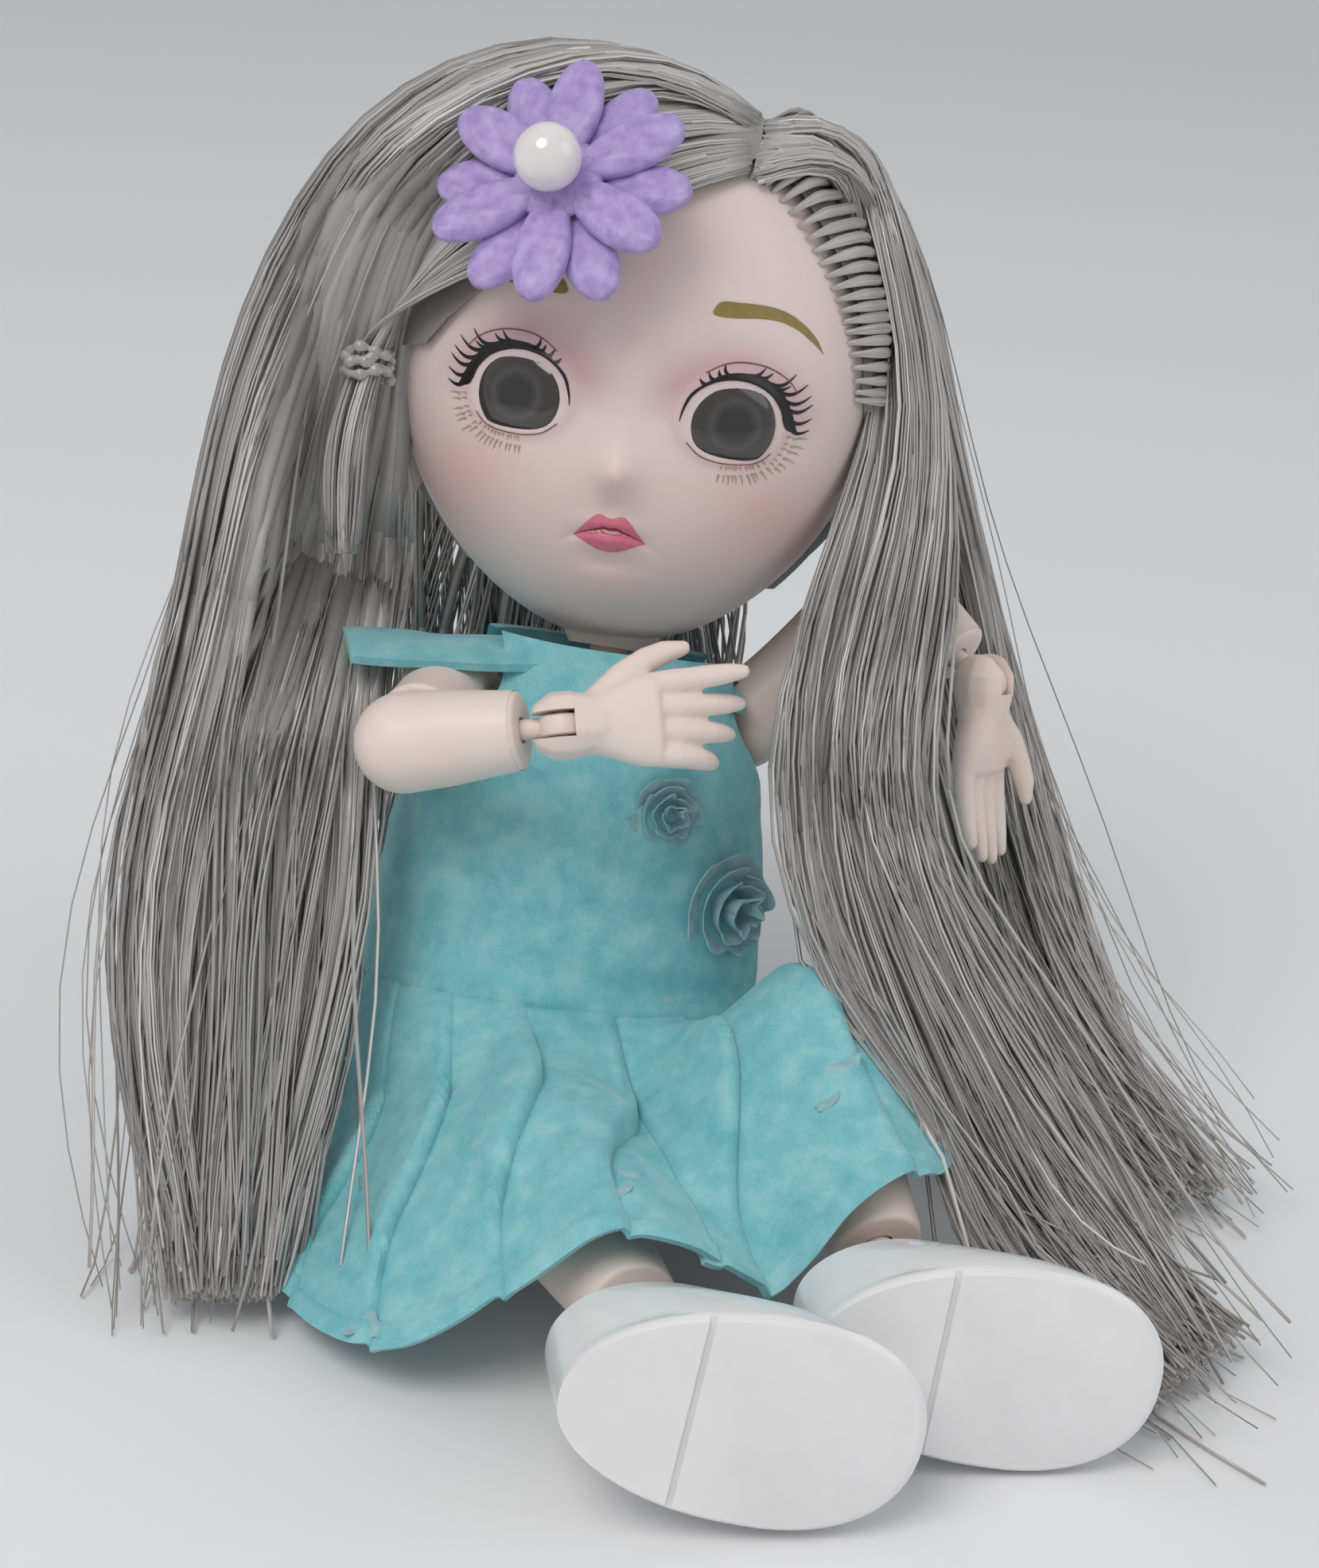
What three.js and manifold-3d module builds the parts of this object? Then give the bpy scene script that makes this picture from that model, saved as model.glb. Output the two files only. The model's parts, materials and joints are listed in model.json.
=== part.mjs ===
// A small ball-jointed toy doll, seated, with long rooted hair, a velour dress, a flower hair clip
// and moulded shoes. Millimetres, +Z up. The doll faces -Y and its left side is +X. The origin is
// on the floor plane, in the flat that the doll sits on.
import * as THREE from "three";
import { mergeVertices } from "three/addons/utils/BufferGeometryUtils.js";
import Module from "manifold-3d";

const wasm = await Module();
wasm.setup();
const { Manifold, Mesh } = wasm;

// Clearances
const runningGap = 0.3; // round a peg, a ball or a seated piece
const limbEndGap = 0.5; // between a limb's end and the round top of the next limb
const thighClearance = 1; // round the thigh's ball, in the body
const seamGap = 0.3; // between two halves or panels
const floorGap = 0.6; // under cloth that lies on the floor
const hairFloorGap = 1.4; // under the ends of the hair, which spring up a little
const beyond = 200; // past every piece, for blocks that cut a whole side away

// Facets round a ball, a bar and a pin
const ballSides = 12;
const barSides = 10;
const pinSides = 6;
const soleSides = 14;
const ruffleSides = 13;
const headSides = 19;
const hairSides = 16;

// Body
const hipHeight = 9.5;
const hipHalfSpacing = 9;
const shoulderHalfSpacing = 14.5;
const shoulderHeight = 36;
const neckHeight = 44.5;
const neckCollarDrop = 4.1; // from the neck's joint down to the body's top
const collarDrop = 2.9; // from the neck's joint down to the dress's neckline
const sleeveLift = 5; // of the sleeves over the shoulders' joints
const neckOpeningLow = 7; // half width of the dress's neck opening, at its foot
const neckOpeningHigh = 8.5;
const bodyWall = 1.6;
const pelvisFillHeight = 4;
const crotchFrontHalf = 1.2;
const crotchBackHalf = 1.9;
const seatedRelief = 16; // degrees past level that a thigh can rise
const seatHeight = 0;

// Limbs, from joint centre to joint centre
const upperArmLength = 19;
const forearmLength = 14.5;
const thighLength = 26.5;
const shinLength = 24;
const ankleHeight = 13;

// Round tops of the limbs
const armTopRadius = 4.4;
const elbowRadius = 4.5;
const wristRadius = 3.2;
const thighTopRadius = 5.8;
const kneeRadius = 5.2;
const ankleCupRadius = 4.5;

// Limb radii along their length
const upperArmRadius = 3.9;
const forearmRadius = 4.2;
const wristEndRadius = 3.5;
const thighRadius = 5.3;
const thighEndRadius = 5.0;
const shinRadius = 5.0;
const calfRadius = 5.1;
const ankleEndRadius = 4.1;

// Pegs: each has a stem that turns in one limb and a tenon or ball that the next limb swings on
const shoulderPeg = {
  tenonRadius: 3, tenonHalf: 1.3, pinRadius: 0.9, pinHalf: 3,
  stemRadius: 1.3, stemLength: 8.2, flangeRadius: 2.6, flangeThick: 0.7,
};
const elbowPeg = {
  tenonRadius: 3, tenonHalf: 1.3, pinRadius: 0.9, pinHalf: 3,
  stemRadius: 1.3, stemLength: 9.6, flangeRadius: 2.2, flangeThick: 0.8,
};
const wristPeg = {
  tenonRadius: 2.1, tenonHalf: 0.9, pinRadius: 0.6, pinHalf: 2.1,
  stemRadius: 0.9, stemLength: 7.4, flangeRadius: 1.7, flangeThick: 0.7,
};
const hipPeg = {
  tenonRadius: 3.8, tenonHalf: 1.7, pinRadius: 1.1, pinHalf: 4,
  stemRadius: 1.6, stemLength: 8.5, flangeRadius: 2.8, flangeThick: 0.7,
};
const kneePeg = {
  tenonRadius: 3.4, tenonHalf: 1.5, pinRadius: 1, pinHalf: 3.6,
  stemRadius: 1.5, stemLength: 11.2, flangeRadius: 2.8, flangeThick: 0.9,
};
const anklePeg = {
  ballRadius: 3.4, stemRadius: 1.3, stemLength: 10.2, flangeRadius: 2.3, flangeThick: 0.8,
};
const neckPeg = {
  ballRadius: 3.4, stemRadius: 1.8, stemLength: 8.2, flangeRadius: 3.3, flangeThick: 0.8,
};
const cupOpening = 62; // half angle of the foot's cup, degrees
const neckRingRadius = 4.9;
const neckRingOpening = 52;
const neckHoleOpening = 60;

// Head
const headHalfWidth = 22.6;
const headHalfDepth = 22.3;
const headHalfHeight = 25.6;
const headAbovePivot = 23.3;
const headForwardOfPivot = 1;
const headWall = 2;
const jawTaper = 0.1;
const noseHeight = 1.7;
const noseRadius = 2.5;
const noseDrop = 11.4;
const earHalfHeight = 4.6;
const earDrop = 9.6;
const earOut = 21.3;
const earBack = 1.5;
const eyeHalfSpacing = 9.7;
const eyeDrop = 5.7;
const eyeTurn = 24; // outward turn of each eye's axis
const eyeTilt = 9; // downward
const eyeHoleRadius = 4.35;
const irisRadius = 3.65;
const eyeRecess = 0.9;
const eyeFlange = 1.2;
const eyeFlangeDepth = 1.6; // behind the shell's inner side

// Hair
const hairThickness = 2.5;
const partingOffset = 9.5;
const hairNapeDrop = 19;
const templeDepth = 9; // the face's opening ends so far in front of the head's middle
const elasticRadius = 2.4;
const elasticThickness = 0.55;

// Hair clip
const clipLength = 14;
const clipWidth = 3;
const clipSheet = 0.3;
const padRadius = 5.4;
const padThickness = 1.2;
const clipPinRadius = 0.3;
const clipEarMargin = 0.6; // of the lower jaw's ears round the pin
const clipEarThickness = 0.4;
const petalReach = 11.2;
const petalLength = 6.9;
const petalHubRadius = 5;
const petalHalfWidth = 2.6;
const petalThickness = 1.2;
const petalsPerLayer = 6;
const pearlRadius = 2.9;
const flowerDirection = new THREE.Vector3(-0.239, -0.893, 0.38).normalize(); // from the head's middle

// Shoes and feet
const shoeHeel = 9.5; // behind the ankle axis
const shoeToe = 20; // in front of it
const shoeHeelHalfWidth = 7.3;
const shoeToeHalfWidth = 10;
const shoeWall = 1.3;
const solePower = 0.9; // how square the sole's outline is, 1 being round
const soleThickness = 1.6;
const collarHeight = 9.5; // of the shoe's edge over the sole
const heelBreast = 1; // groove across the sole, in front of the ankle axis
const soleBottom = -ankleHeight;
const footBottom = soleBottom + soleThickness + runningGap;

// Dress
const clothThickness = 0.8;
const dressPower = 0.8; // how square the dress's cross section is, 1 being round
const waistHeight = 8.6; // of the waist seam, over the hips
const waistHalfWidth = 18.4;
const chestHalfWidth = 16.2;
const waistFront = 12.2;
const waistBack = 11;
const hemHalfWidth = 31;
const hemReach = 38; // from the skirt's sides to its front edge
const hemSideX = 1.5;
const hemSideY = -8;
const backReach = 33;
const pleatDepth = 0.9;
const pleatCount = 13;
const armholeRadius = 6.6;
const rightSleeveReach = 24;
const leftSleeveReach = 11.5;
const largeRosetteRadius = 4.3;
const smallRosetteRadius = 2.8;
const closureWidth = 5;
const closureLength = 24;
const closureThickness = 0.6;

// Pose at rest, in degrees
const pose = {
  leanBack: 12, leanSide: 9,
  neckTurn: -17.6, headNod: -5.2, headTilt: -3.5,
  right: {
    shoulderSwing: -77, shoulderSpread: 21.7, elbowTwist: 68, elbowBend: -88,
    wristTurn: -158, wristBend: 20,
    hipSwing: -78.5, hipSpread: -10.6, kneeTurn: 0, kneeBend: 0,
    ankleTurn: 91.5, ankleFlex: 17, ankleSide: 5,
    fingerCurl: [0.1, 0.55, 0.75, 0.9],
  },
  left: {
    shoulderSwing: -173, shoulderSpread: -35, elbowTwist: 133, elbowBend: -91,
    wristTurn: -24, wristBend: -53,
    hipSwing: -106.2, hipSpread: -22.7, kneeTurn: 9.6, kneeBend: 49.4,
    ankleTurn: 62.6, ankleFlex: 13.5, ankleSide: 26.5,
    fingerCurl: [0.15, 0.2, 0.25, 0.3],
  },
};

// Looks
const looks = {
  skin: { color: 0xf3ddd6, roughness: 0.55 },
  eyeWhite: { color: 0xf4f2ef, roughness: 0.3 },
  iris: { color: 0x2b2624, roughness: 0.08 },
  hair: { color: 0x9c9893, roughness: 0.35 },
  velour: { color: 0x74cdd0, roughness: 0.6 },
  chiffon: { color: 0x9adfe0, roughness: 0.8 },
  satin: { color: 0xb592e0, roughness: 0.4 },
  pearl: { color: 0xf1ebe8, roughness: 0.15 },
  felt: { color: 0xb9a2dc, roughness: 0.95 },
  steel: { color: 0xb8b9bb, roughness: 0.3, metalness: 1 },
  clear: { color: 0xdcdcd8, roughness: 0.2 },
  shoe: { color: 0xf4f3f3, roughness: 0.15 },
  tape: { color: 0xe9f2f2, roughness: 0.9 },
};

const degrees = THREE.MathUtils.degToRad;
// A power that keeps the sign: below 1 it draws a round outline out towards a rounded rectangle.
const squared = (value, power) => Math.sign(value) * Math.abs(value) ** power;
const up = new THREE.Vector3(0, 0, 1);
const identity = new THREE.Matrix4();

// Solids

function solid(geometry, matrix = identity) {
  const source = geometry.index ? geometry.toNonIndexed() : geometry;
  const plain = new THREE.BufferGeometry();
  plain.setAttribute("position", source.getAttribute("position").clone());
  plain.applyMatrix4(matrix);
  const merged = mergeVertices(plain, 1e-4);
  const corners = [];
  for (let i = 0; i < merged.index.count; i += 3) {
    const [a, b, c] = [0, 1, 2].map((k) => merged.index.getX(i + k));
    if (a !== b && b !== c && c !== a) corners.push(a, b, c);
  }
  return new Manifold(
    new Mesh({
      numProp: 3,
      vertProperties: new Float32Array(merged.attributes.position.array),
      triVerts: new Uint32Array(corners),
    }),
  );
}

const join = (...parts) => parts.reduce((whole, part) => whole.add(part));
const cut = (body, ...tools) => tools.reduce((left, tool) => left.subtract(tool), body);

function signedVolume(geometry) {
  const p = geometry.getAttribute("position");
  const [a, b, c] = [0, 1, 2].map(() => new THREE.Vector3());
  let sum = 0;
  for (let i = 0; i < geometry.index.count; i += 3) {
    a.fromBufferAttribute(p, geometry.index.getX(i));
    b.fromBufferAttribute(p, geometry.index.getX(i + 1));
    c.fromBufferAttribute(p, geometry.index.getX(i + 2));
    sum += a.dot(b.cross(c)) / 6;
  }
  return sum;
}

// A closed skin through rings of points, each ring with as many points, ends closed by fans.
function loftGeometry(rings, closeEnds = true) {
  const count = rings[0].length;
  const points = rings.flat();
  const faces = [];
  for (let r = 0; r + 1 < rings.length; r++) {
    for (let k = 0; k < count; k++) {
      const a = r * count + k;
      const b = r * count + ((k + 1) % count);
      faces.push(a, b, b + count, a, b + count, a + count);
    }
  }
  if (closeEnds) {
    for (const [ring, turn] of [[0, 1], [rings.length - 1, 0]]) {
      const centre = points.length;
      const middle = new THREE.Vector3();
      rings[ring].forEach((p) => middle.addScaledVector(p, 1 / count));
      points.push(middle);
      for (let k = 0; k < count; k++) {
        const a = ring * count + k;
        const b = ring * count + ((k + 1) % count);
        faces.push(centre, turn ? b : a, turn ? a : b);
      }
    }
  }
  const geometry = new THREE.BufferGeometry().setFromPoints(points).setIndex(faces);
  if (signedVolume(geometry) < 0) {
    for (let i = 0; i < faces.length; i += 3) {
      [faces[i + 1], faces[i + 2]] = [faces[i + 2], faces[i + 1]];
    }
    geometry.setIndex(faces);
  }
  return geometry;
}

const loft = (rings, matrix) => solid(loftGeometry(rings), matrix);

function ball(radius, centre = [0, 0, 0], sides = ballSides) {
  const matrix = new THREE.Matrix4().makeTranslation(...centre);
  return solid(new THREE.SphereGeometry(radius, sides, sides / 2), matrix);
}

function block(low, high) {
  const size = high.map((h, i) => h - low[i]);
  const centre = high.map((h, i) => (h + low[i]) / 2);
  return solid(new THREE.BoxGeometry(...size), new THREE.Matrix4().makeTranslation(...centre));
}

// A round bar between two points, with a radius at each.
function taper(fromRadius, toRadius, from, to, sides = barSides) {
  const a = new THREE.Vector3(...from);
  const b = new THREE.Vector3(...to);
  const along = b.clone().sub(a);
  const turn = new THREE.Quaternion().setFromUnitVectors(
    new THREE.Vector3(0, 1, 0), along.clone().normalize(),
  );
  const middle = a.clone().add(b).multiplyScalar(0.5);
  const matrix = new THREE.Matrix4().compose(middle, turn, new THREE.Vector3(1, 1, 1));
  const bar = new THREE.CylinderGeometry(toRadius, fromRadius, along.length(), sides);
  return solid(bar, matrix);
}

const rod = (radius, from, to, sides) => taper(radius, radius, from, to, sides);

function capsule(from, to, radius) {
  const a = from.toArray();
  const b = to.toArray();
  return join(rod(radius, a, b, 10), ball(radius, a, 10), ball(radius, b, 10));
}

// A round body about Z through [height, radius] pairs.
function turned(profile, sides = barSides) {
  const rings = profile.map(([z, radius]) => ringAt(z, radius, radius, 0, sides));
  return loft(rings);
}

function ringAt(z, halfWidth, halfDepth, centreY = 0, sides = 28, squareness = 2) {
  return Array.from({ length: sides }, (_, k) => {
    const angle = (2 * Math.PI * k) / sides;
    const x = squared(Math.cos(angle), 2 / squareness) * halfWidth;
    const y = squared(Math.sin(angle), 2 / squareness) * halfDepth;
    return new THREE.Vector3(x, centreY + y, z);
  });
}

// A round strand along points, flattened across where thickness differs from width.
function strand(points, widths, thicknesses, wideAxis, sides = 10) {
  const rings = points.map((point, i) => {
    const before = points[Math.max(i - 1, 0)];
    const after = points[Math.min(i + 1, points.length - 1)];
    const along = after.clone().sub(before).normalize();
    const across = wideAxis.clone().addScaledVector(along, -wideAxis.dot(along)).normalize();
    const depth = along.clone().cross(across);
    return Array.from({ length: sides }, (_, k) => {
      const angle = (2 * Math.PI * k) / sides;
      return point.clone()
        .addScaledVector(across, Math.cos(angle) * widths[i])
        .addScaledVector(depth, Math.sin(angle) * thicknesses[i]);
    });
  });
  return loft(rings);
}

// Cloth with a top surface through a grid of points and an even thickness under it.
function sheet(rows, above, below) {
  const columns = rows[0].length;
  const normalAt = (r, c) => {
    const down = rows[Math.min(r + 1, rows.length - 1)][c].clone()
      .sub(rows[Math.max(r - 1, 0)][c]);
    const across = rows[r][Math.min(c + 1, columns - 1)].clone().sub(rows[r][Math.max(c - 1, 0)]);
    return across.cross(down).normalize();
  };
  const rings = rows.map((row, r) => {
    const top = row.map((p, c) => p.clone().addScaledVector(normalAt(r, c), above));
    const under = row.map((p, c) => p.clone().addScaledVector(normalAt(r, c), -below));
    return [...top, ...under.reverse()];
  });
  const geometry = loftGeometry(rings, false);
  const points = Array.from({ length: geometry.getAttribute("position").count }, (_, i) =>
    new THREE.Vector3().fromBufferAttribute(geometry.getAttribute("position"), i));
  const faces = [...geometry.index.array];
  const ringSize = 2 * columns;
  const firstFace = faces.slice(0, 3).join();
  const forward = firstFace === [0, 1, 1 + ringSize].join();
  for (const ring of [0, rows.length - 1]) {
    const start = ring * ringSize;
    for (let c = 0; c + 1 < columns; c++) {
      const a = start + c;
      const b = start + c + 1;
      const under = start + ringSize - 1 - c;
      const quad = [a, b, under - 1, a, under - 1, under];
      const flip = (ring === 0) === forward;
      for (let i = 0; i < 6; i += 3) {
        const [p, q, s] = quad.slice(i, i + 3);
        faces.push(p, flip ? s : q, flip ? q : s);
      }
    }
  }
  return solid(new THREE.BufferGeometry().setFromPoints(points).setIndex(faces));
}

// Groups: one for each joint, so that a limb's pieces are placed in the limb's own frame

const root = new THREE.Group();

function groupIn(parent, place, turn = [0, 0, 0], order = "XYZ") {
  const group = new THREE.Group();
  group.position.set(...place);
  group.rotation.set(...turn.map(degrees), order);
  parent.add(group);
  return group;
}

const torso = groupIn(root, [0, 0, hipHeight], [-pose.leanBack, pose.leanSide, 0]);
const neck = groupIn(torso, [0, 0, neckHeight], [0, 0, pose.neckTurn]);
const neckRingGroup = groupIn(neck, [0, 0, 0], [pose.headNod, 0, 0]);
const headPivot = groupIn(neckRingGroup, [0, 0, 0], [0, pose.headTilt, 0]);
const head = groupIn(headPivot, [0, -headForwardOfPivot, headAbovePivot]);

function armGroups(side, turns) {
  const shoulder = groupIn(
    torso, [side * shoulderHalfSpacing, 0, shoulderHeight], [turns.shoulderSwing, 0, 0],
  );
  const upperArm = groupIn(shoulder, [0, 0, 0], [0, turns.shoulderSpread, 0]);
  const elbow = groupIn(upperArm, [0, 0, -upperArmLength], [0, 0, turns.elbowTwist]);
  const forearm = groupIn(elbow, [0, 0, 0], [turns.elbowBend, 0, 0]);
  const wrist = groupIn(forearm, [0, 0, -forearmLength], [0, 0, turns.wristTurn]);
  const hand = groupIn(wrist, [0, 0, 0], [turns.wristBend, 0, 0]);
  return { shoulder, upperArm, elbow, forearm, wrist, hand };
}

function legGroups(side, turns) {
  const hip = groupIn(torso, [side * hipHalfSpacing, 0, 0], [turns.hipSwing, 0, 0]);
  const thigh = groupIn(hip, [0, 0, 0], [0, turns.hipSpread, 0]);
  const knee = groupIn(thigh, [0, 0, -thighLength], [0, 0, turns.kneeTurn]);
  const shin = groupIn(knee, [0, 0, 0], [turns.kneeBend, 0, 0]);
  const ankle = groupIn(shin, [0, 0, -shinLength], [0, 0, turns.ankleTurn]);
  const foot = groupIn(ankle, [0, 0, 0], [turns.ankleFlex, turns.ankleSide, 0]);
  return { hip, thigh, knee, shin, ankle, foot };
}

const limbs = {
  right: { side: -1, ...armGroups(-1, pose.right), ...legGroups(-1, pose.right) },
  left: { side: 1, ...armGroups(1, pose.left), ...legGroups(1, pose.left) },
};
root.updateMatrixWorld(true);

const placeOf = (group) => new THREE.Vector3().setFromMatrixPosition(group.matrixWorld);
const intoTorso = torso.matrixWorld.clone().invert();

function piece(group, name, body, look) {
  const made = body.getMesh();
  const geometry = new THREE.BufferGeometry();
  const positions = new Float32Array(made.numVert * 3);
  for (let i = 0; i < made.numVert; i++) {
    for (let k = 0; k < 3; k++) {
      positions[3 * i + k] = made.vertProperties[i * made.numProp + k];
    }
  }
  geometry.setAttribute("position", new THREE.BufferAttribute(positions, 3));
  geometry.setIndex(new THREE.BufferAttribute(new Uint32Array(made.triVerts), 1));
  geometry.computeVertexNormals();
  const mesh = new THREE.Mesh(geometry, new THREE.MeshStandardMaterial(look));
  mesh.name = name;
  group.add(mesh);
  return mesh;
}

// Pegs and the spaces they work in. A peg's own frame has its pin along X and its stem along +Z.

function peg(size) {
  const { tenonRadius, tenonHalf, pinRadius, pinHalf, stemRadius, stemLength } = size;
  return join(
    rod(tenonRadius, [-tenonHalf, 0, 0], [tenonHalf, 0, 0], barSides),
    rod(pinRadius, [-pinHalf, 0, 0], [pinHalf, 0, 0], pinSides),
    rod(stemRadius, [0, 0, 0], [0, 0, stemLength], pinSides),
    rod(size.flangeRadius, [0, 0, stemLength - size.flangeThick], [0, 0, stemLength], barSides),
  );
}

function ballPeg(size) {
  const { ballRadius, stemRadius, stemLength, flangeRadius, flangeThick } = size;
  return join(
    ball(ballRadius),
    rod(stemRadius, [0, 0, 0], [0, 0, stemLength], pinSides),
    rod(flangeRadius, [0, 0, stemLength - flangeThick], [0, 0, stemLength], barSides),
  );
}

function pegBore(size) {
  const { stemRadius, stemLength, flangeRadius, flangeThick } = size;
  const pocketStart = stemLength - flangeThick - runningGap;
  return join(
    rod(stemRadius + runningGap, [0, 0, 0], [0, 0, stemLength], pinSides),
    rod(flangeRadius + runningGap, [0, 0, pocketStart], [0, 0, stemLength + runningGap], barSides),
  );
}

// The slot in a round limb top that clears the tenon and the stem, from one bend to another.
// The bend is counted from +Z towards -Y.
function forkSlot(size, fromBend, toBend, reach) {
  const halfWidth = size.tenonHalf + runningGap;
  const clear = size.stemRadius + runningGap;
  const direction = (bend) => new THREE.Vector2(-Math.sin(degrees(bend)), Math.cos(degrees(bend)));
  const aside = (bend) => new THREE.Vector2(Math.cos(degrees(bend)), Math.sin(degrees(bend)));
  const outline = [
    aside(fromBend).multiplyScalar(clear),
    aside(fromBend).multiplyScalar(clear).addScaledVector(direction(fromBend), reach),
  ];
  const steps = 4;
  for (let k = 1; k < steps; k++) {
    outline.push(direction(fromBend + ((toBend - fromBend) * k) / steps).multiplyScalar(1.4 * reach));
  }
  outline.push(
    aside(toBend).multiplyScalar(-clear).addScaledVector(direction(toBend), reach),
    aside(toBend).multiplyScalar(-clear),
  );
  const sector = new THREE.ExtrudeGeometry(new THREE.Shape(outline), {
    depth: 2 * halfWidth, bevelEnabled: false,
  });
  sector.translate(0, 0, -halfWidth);
  const acrossX = new THREE.Matrix4().makeBasis(
    new THREE.Vector3(0, 1, 0), new THREE.Vector3(0, 0, 1), new THREE.Vector3(1, 0, 0),
  );
  const pinReach = size.pinHalf + runningGap;
  return join(
    solid(sector, acrossX),
    rod(size.tenonRadius + runningGap, [-halfWidth, 0, 0], [halfWidth, 0, 0], barSides),
    rod(size.pinRadius + runningGap, [-pinReach, 0, 0], [pinReach, 0, 0], pinSides),
  );
}

// The frame of a peg whose stem lies along a side joint's axis, towards the body's middle
function sidewaysPegFrame(side) {
  const stem = new THREE.Vector3(-side, 0, 0);
  const back = new THREE.Vector3(0, 0, -1);
  return new THREE.Matrix4().makeBasis(back.clone().cross(stem), back, stem);
}

const moved = (body, matrix) => body.transform(matrix.elements);
const lowered = (distance) => new THREE.Matrix4().makeTranslation(0, 0, -distance);
const aboutZ = (angle) => new THREE.Matrix4().makeRotationZ(degrees(angle));

// Body shell, in halves

const bodySections = [
  // height, half width, half depth, middle of the depth
  [-10.6, 9.5, 7.6, 1.8],
  [-6, 12, 9.2, 1.8],
  [0, 12.5, 9.3, 1.2],
  [7, 11, 8.2, 0.4],
  [14, 9, 7, 0],
  [24, 9.3, 7.3, 0],
  [33, 9, 7.2, 0],
  [shoulderHeight + 1.5, 8, 6, 0],
  [neckHeight - neckCollarDrop - 1.2, 4.6, 4.4, 0],
  [neckHeight - neckCollarDrop, 4.2, 4.2, 0],
];

const sectionRing = ([z, width, depth, middle], inset = 0) =>
  ringAt(z, width - inset, depth - inset, middle, 16, 2.3);

function bodyCavity() {
  const highest = shoulderHeight + 2;
  const within = bodySections.filter(([z]) => z > pelvisFillHeight && z < highest);
  const [firstZ, ...firstRest] = within[0];
  const top = within[within.length - 1];
  const rings = [
    sectionRing([pelvisFillHeight, ...firstRest], bodyWall),
    ...within.filter(([z]) => z > firstZ).map((section) => sectionRing(section, bodyWall)),
    sectionRing([top[0] + 0.6, top[1] - 0.6, top[2] - 0.6, top[3]], bodyWall),
  ];
  return loft(rings);
}

// A block on one side of the body, between two distances from its middle
function sideBlock(side, inner, outer, [lowY, lowZ], [highY, highZ]) {
  const [low, high] = side < 0 ? [-outer, -inner] : [inner, outer];
  return block([low, lowY, lowZ], [high, highY, highZ]);
}

function thighSpace(side) {
  const radius = thighTopRadius + thighClearance;
  const outer = hipHalfSpacing + 2 * radius;
  const far = -3 * radius;
  const seatedTurn = new THREE.Matrix4().makeRotationX(degrees(-seatedRelief));
  return join(
    ball(radius, [side * hipHalfSpacing, 0, 0]),
    rod(radius, [side * hipHalfSpacing, 0, 0], [side * outer, 0, 0], ballSides),
    sideBlock(side, crotchFrontHalf, outer, [far, far], [0, 0]),
    sideBlock(side, crotchBackHalf, outer, [-seamGap, far], [radius * 0.9, 0]),
    moved(sideBlock(side, crotchFrontHalf, outer, [far, far], [0, radius * 0.9]), seatedTurn),
  );
}

function bodyShell() {
  const below = block([-beyond, -beyond, -beyond], [beyond, beyond, seatHeight]);
  const tools = [bodyCavity(), moved(below, intoTorso)];
  for (const { side } of Object.values(limbs)) {
    const frame = sidewaysPegFrame(side);
    const atShoulder = new THREE.Matrix4()
      .makeTranslation(side * shoulderHalfSpacing, 0, shoulderHeight).multiply(frame);
    const atHip = new THREE.Matrix4().makeTranslation(side * hipHalfSpacing, 0, 0).multiply(frame);
    tools.push(thighSpace(side));
    tools.push(moved(pegBore(shoulderPeg), atShoulder));
    tools.push(moved(pegBore(hipPeg), atHip));
  }
  const atNeck = new THREE.Matrix4().makeTranslation(0, 0, neckHeight)
    .multiply(new THREE.Matrix4().makeRotationX(Math.PI));
  tools.push(moved(pegBore(neckPeg), atNeck));
  return cut(loft(bodySections.map((section) => sectionRing(section))), ...tools);
}

const shell = bodyShell();
const halfSeam = seamGap / 2;
const frontSide = block([-beyond, -beyond, -beyond], [beyond, -halfSeam, beyond]);
const backSide = block([-beyond, halfSeam, -beyond], [beyond, beyond, beyond]);
piece(torso, "torso_front", shell.intersect(frontSide), looks.skin);
piece(torso, "torso_back", shell.intersect(backSide), looks.skin);

// Neck peg and the ring that snaps over its ball

const downward = new THREE.Matrix4().makeRotationX(Math.PI);
piece(neck, "neck_peg", moved(ballPeg(neckPeg), downward), looks.skin);

function openingCone(halfAngle, length, tip = 0) {
  const radius = Math.tan(degrees(halfAngle)) * (length + tip);
  return taper(0.01, radius, [0, 0, tip], [0, 0, -length]);
}

function neckRing() {
  return cut(
    ball(neckRingRadius),
    ball(neckPeg.ballRadius + runningGap),
    openingCone(neckRingOpening, 2 * neckRingRadius),
  );
}
piece(neckRingGroup, "neck_socket", neckRing(), looks.skin);

// Head shell

// A point on the head in a unit direction, grown outward by a distance.
function headPoint(direction, grow = 0, withNose = true) {
  const { x, y, z } = direction;
  const low = Math.max(-z, 0);
  const width = headHalfWidth * (1 - jawTaper * low * low);
  const point = new THREE.Vector3(x * width, y * headHalfDepth, z * headHalfHeight);
  const outward = new THREE.Vector3(
    x / headHalfWidth, y / headHalfDepth, z / headHalfHeight,
  ).normalize();
  if (withNose && y < 0) {
    const away = (point.x ** 2 + (point.z + noseDrop) ** 2) / noseRadius ** 2;
    point.y -= noseHeight * Math.exp(-away);
  }
  return point.addScaledVector(outward, grow);
}

function headForm(grow, sides, withNose = true) {
  const geometry = new THREE.SphereGeometry(1, sides, Math.round(sides * 0.65));
  geometry.rotateX(Math.PI / 2);
  const position = geometry.getAttribute("position");
  for (let i = 0; i < position.count; i++) {
    const direction = new THREE.Vector3().fromBufferAttribute(position, i).normalize();
    position.setXYZ(i, ...headPoint(direction, grow, withNose).toArray());
  }
  return solid(geometry);
}

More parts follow.
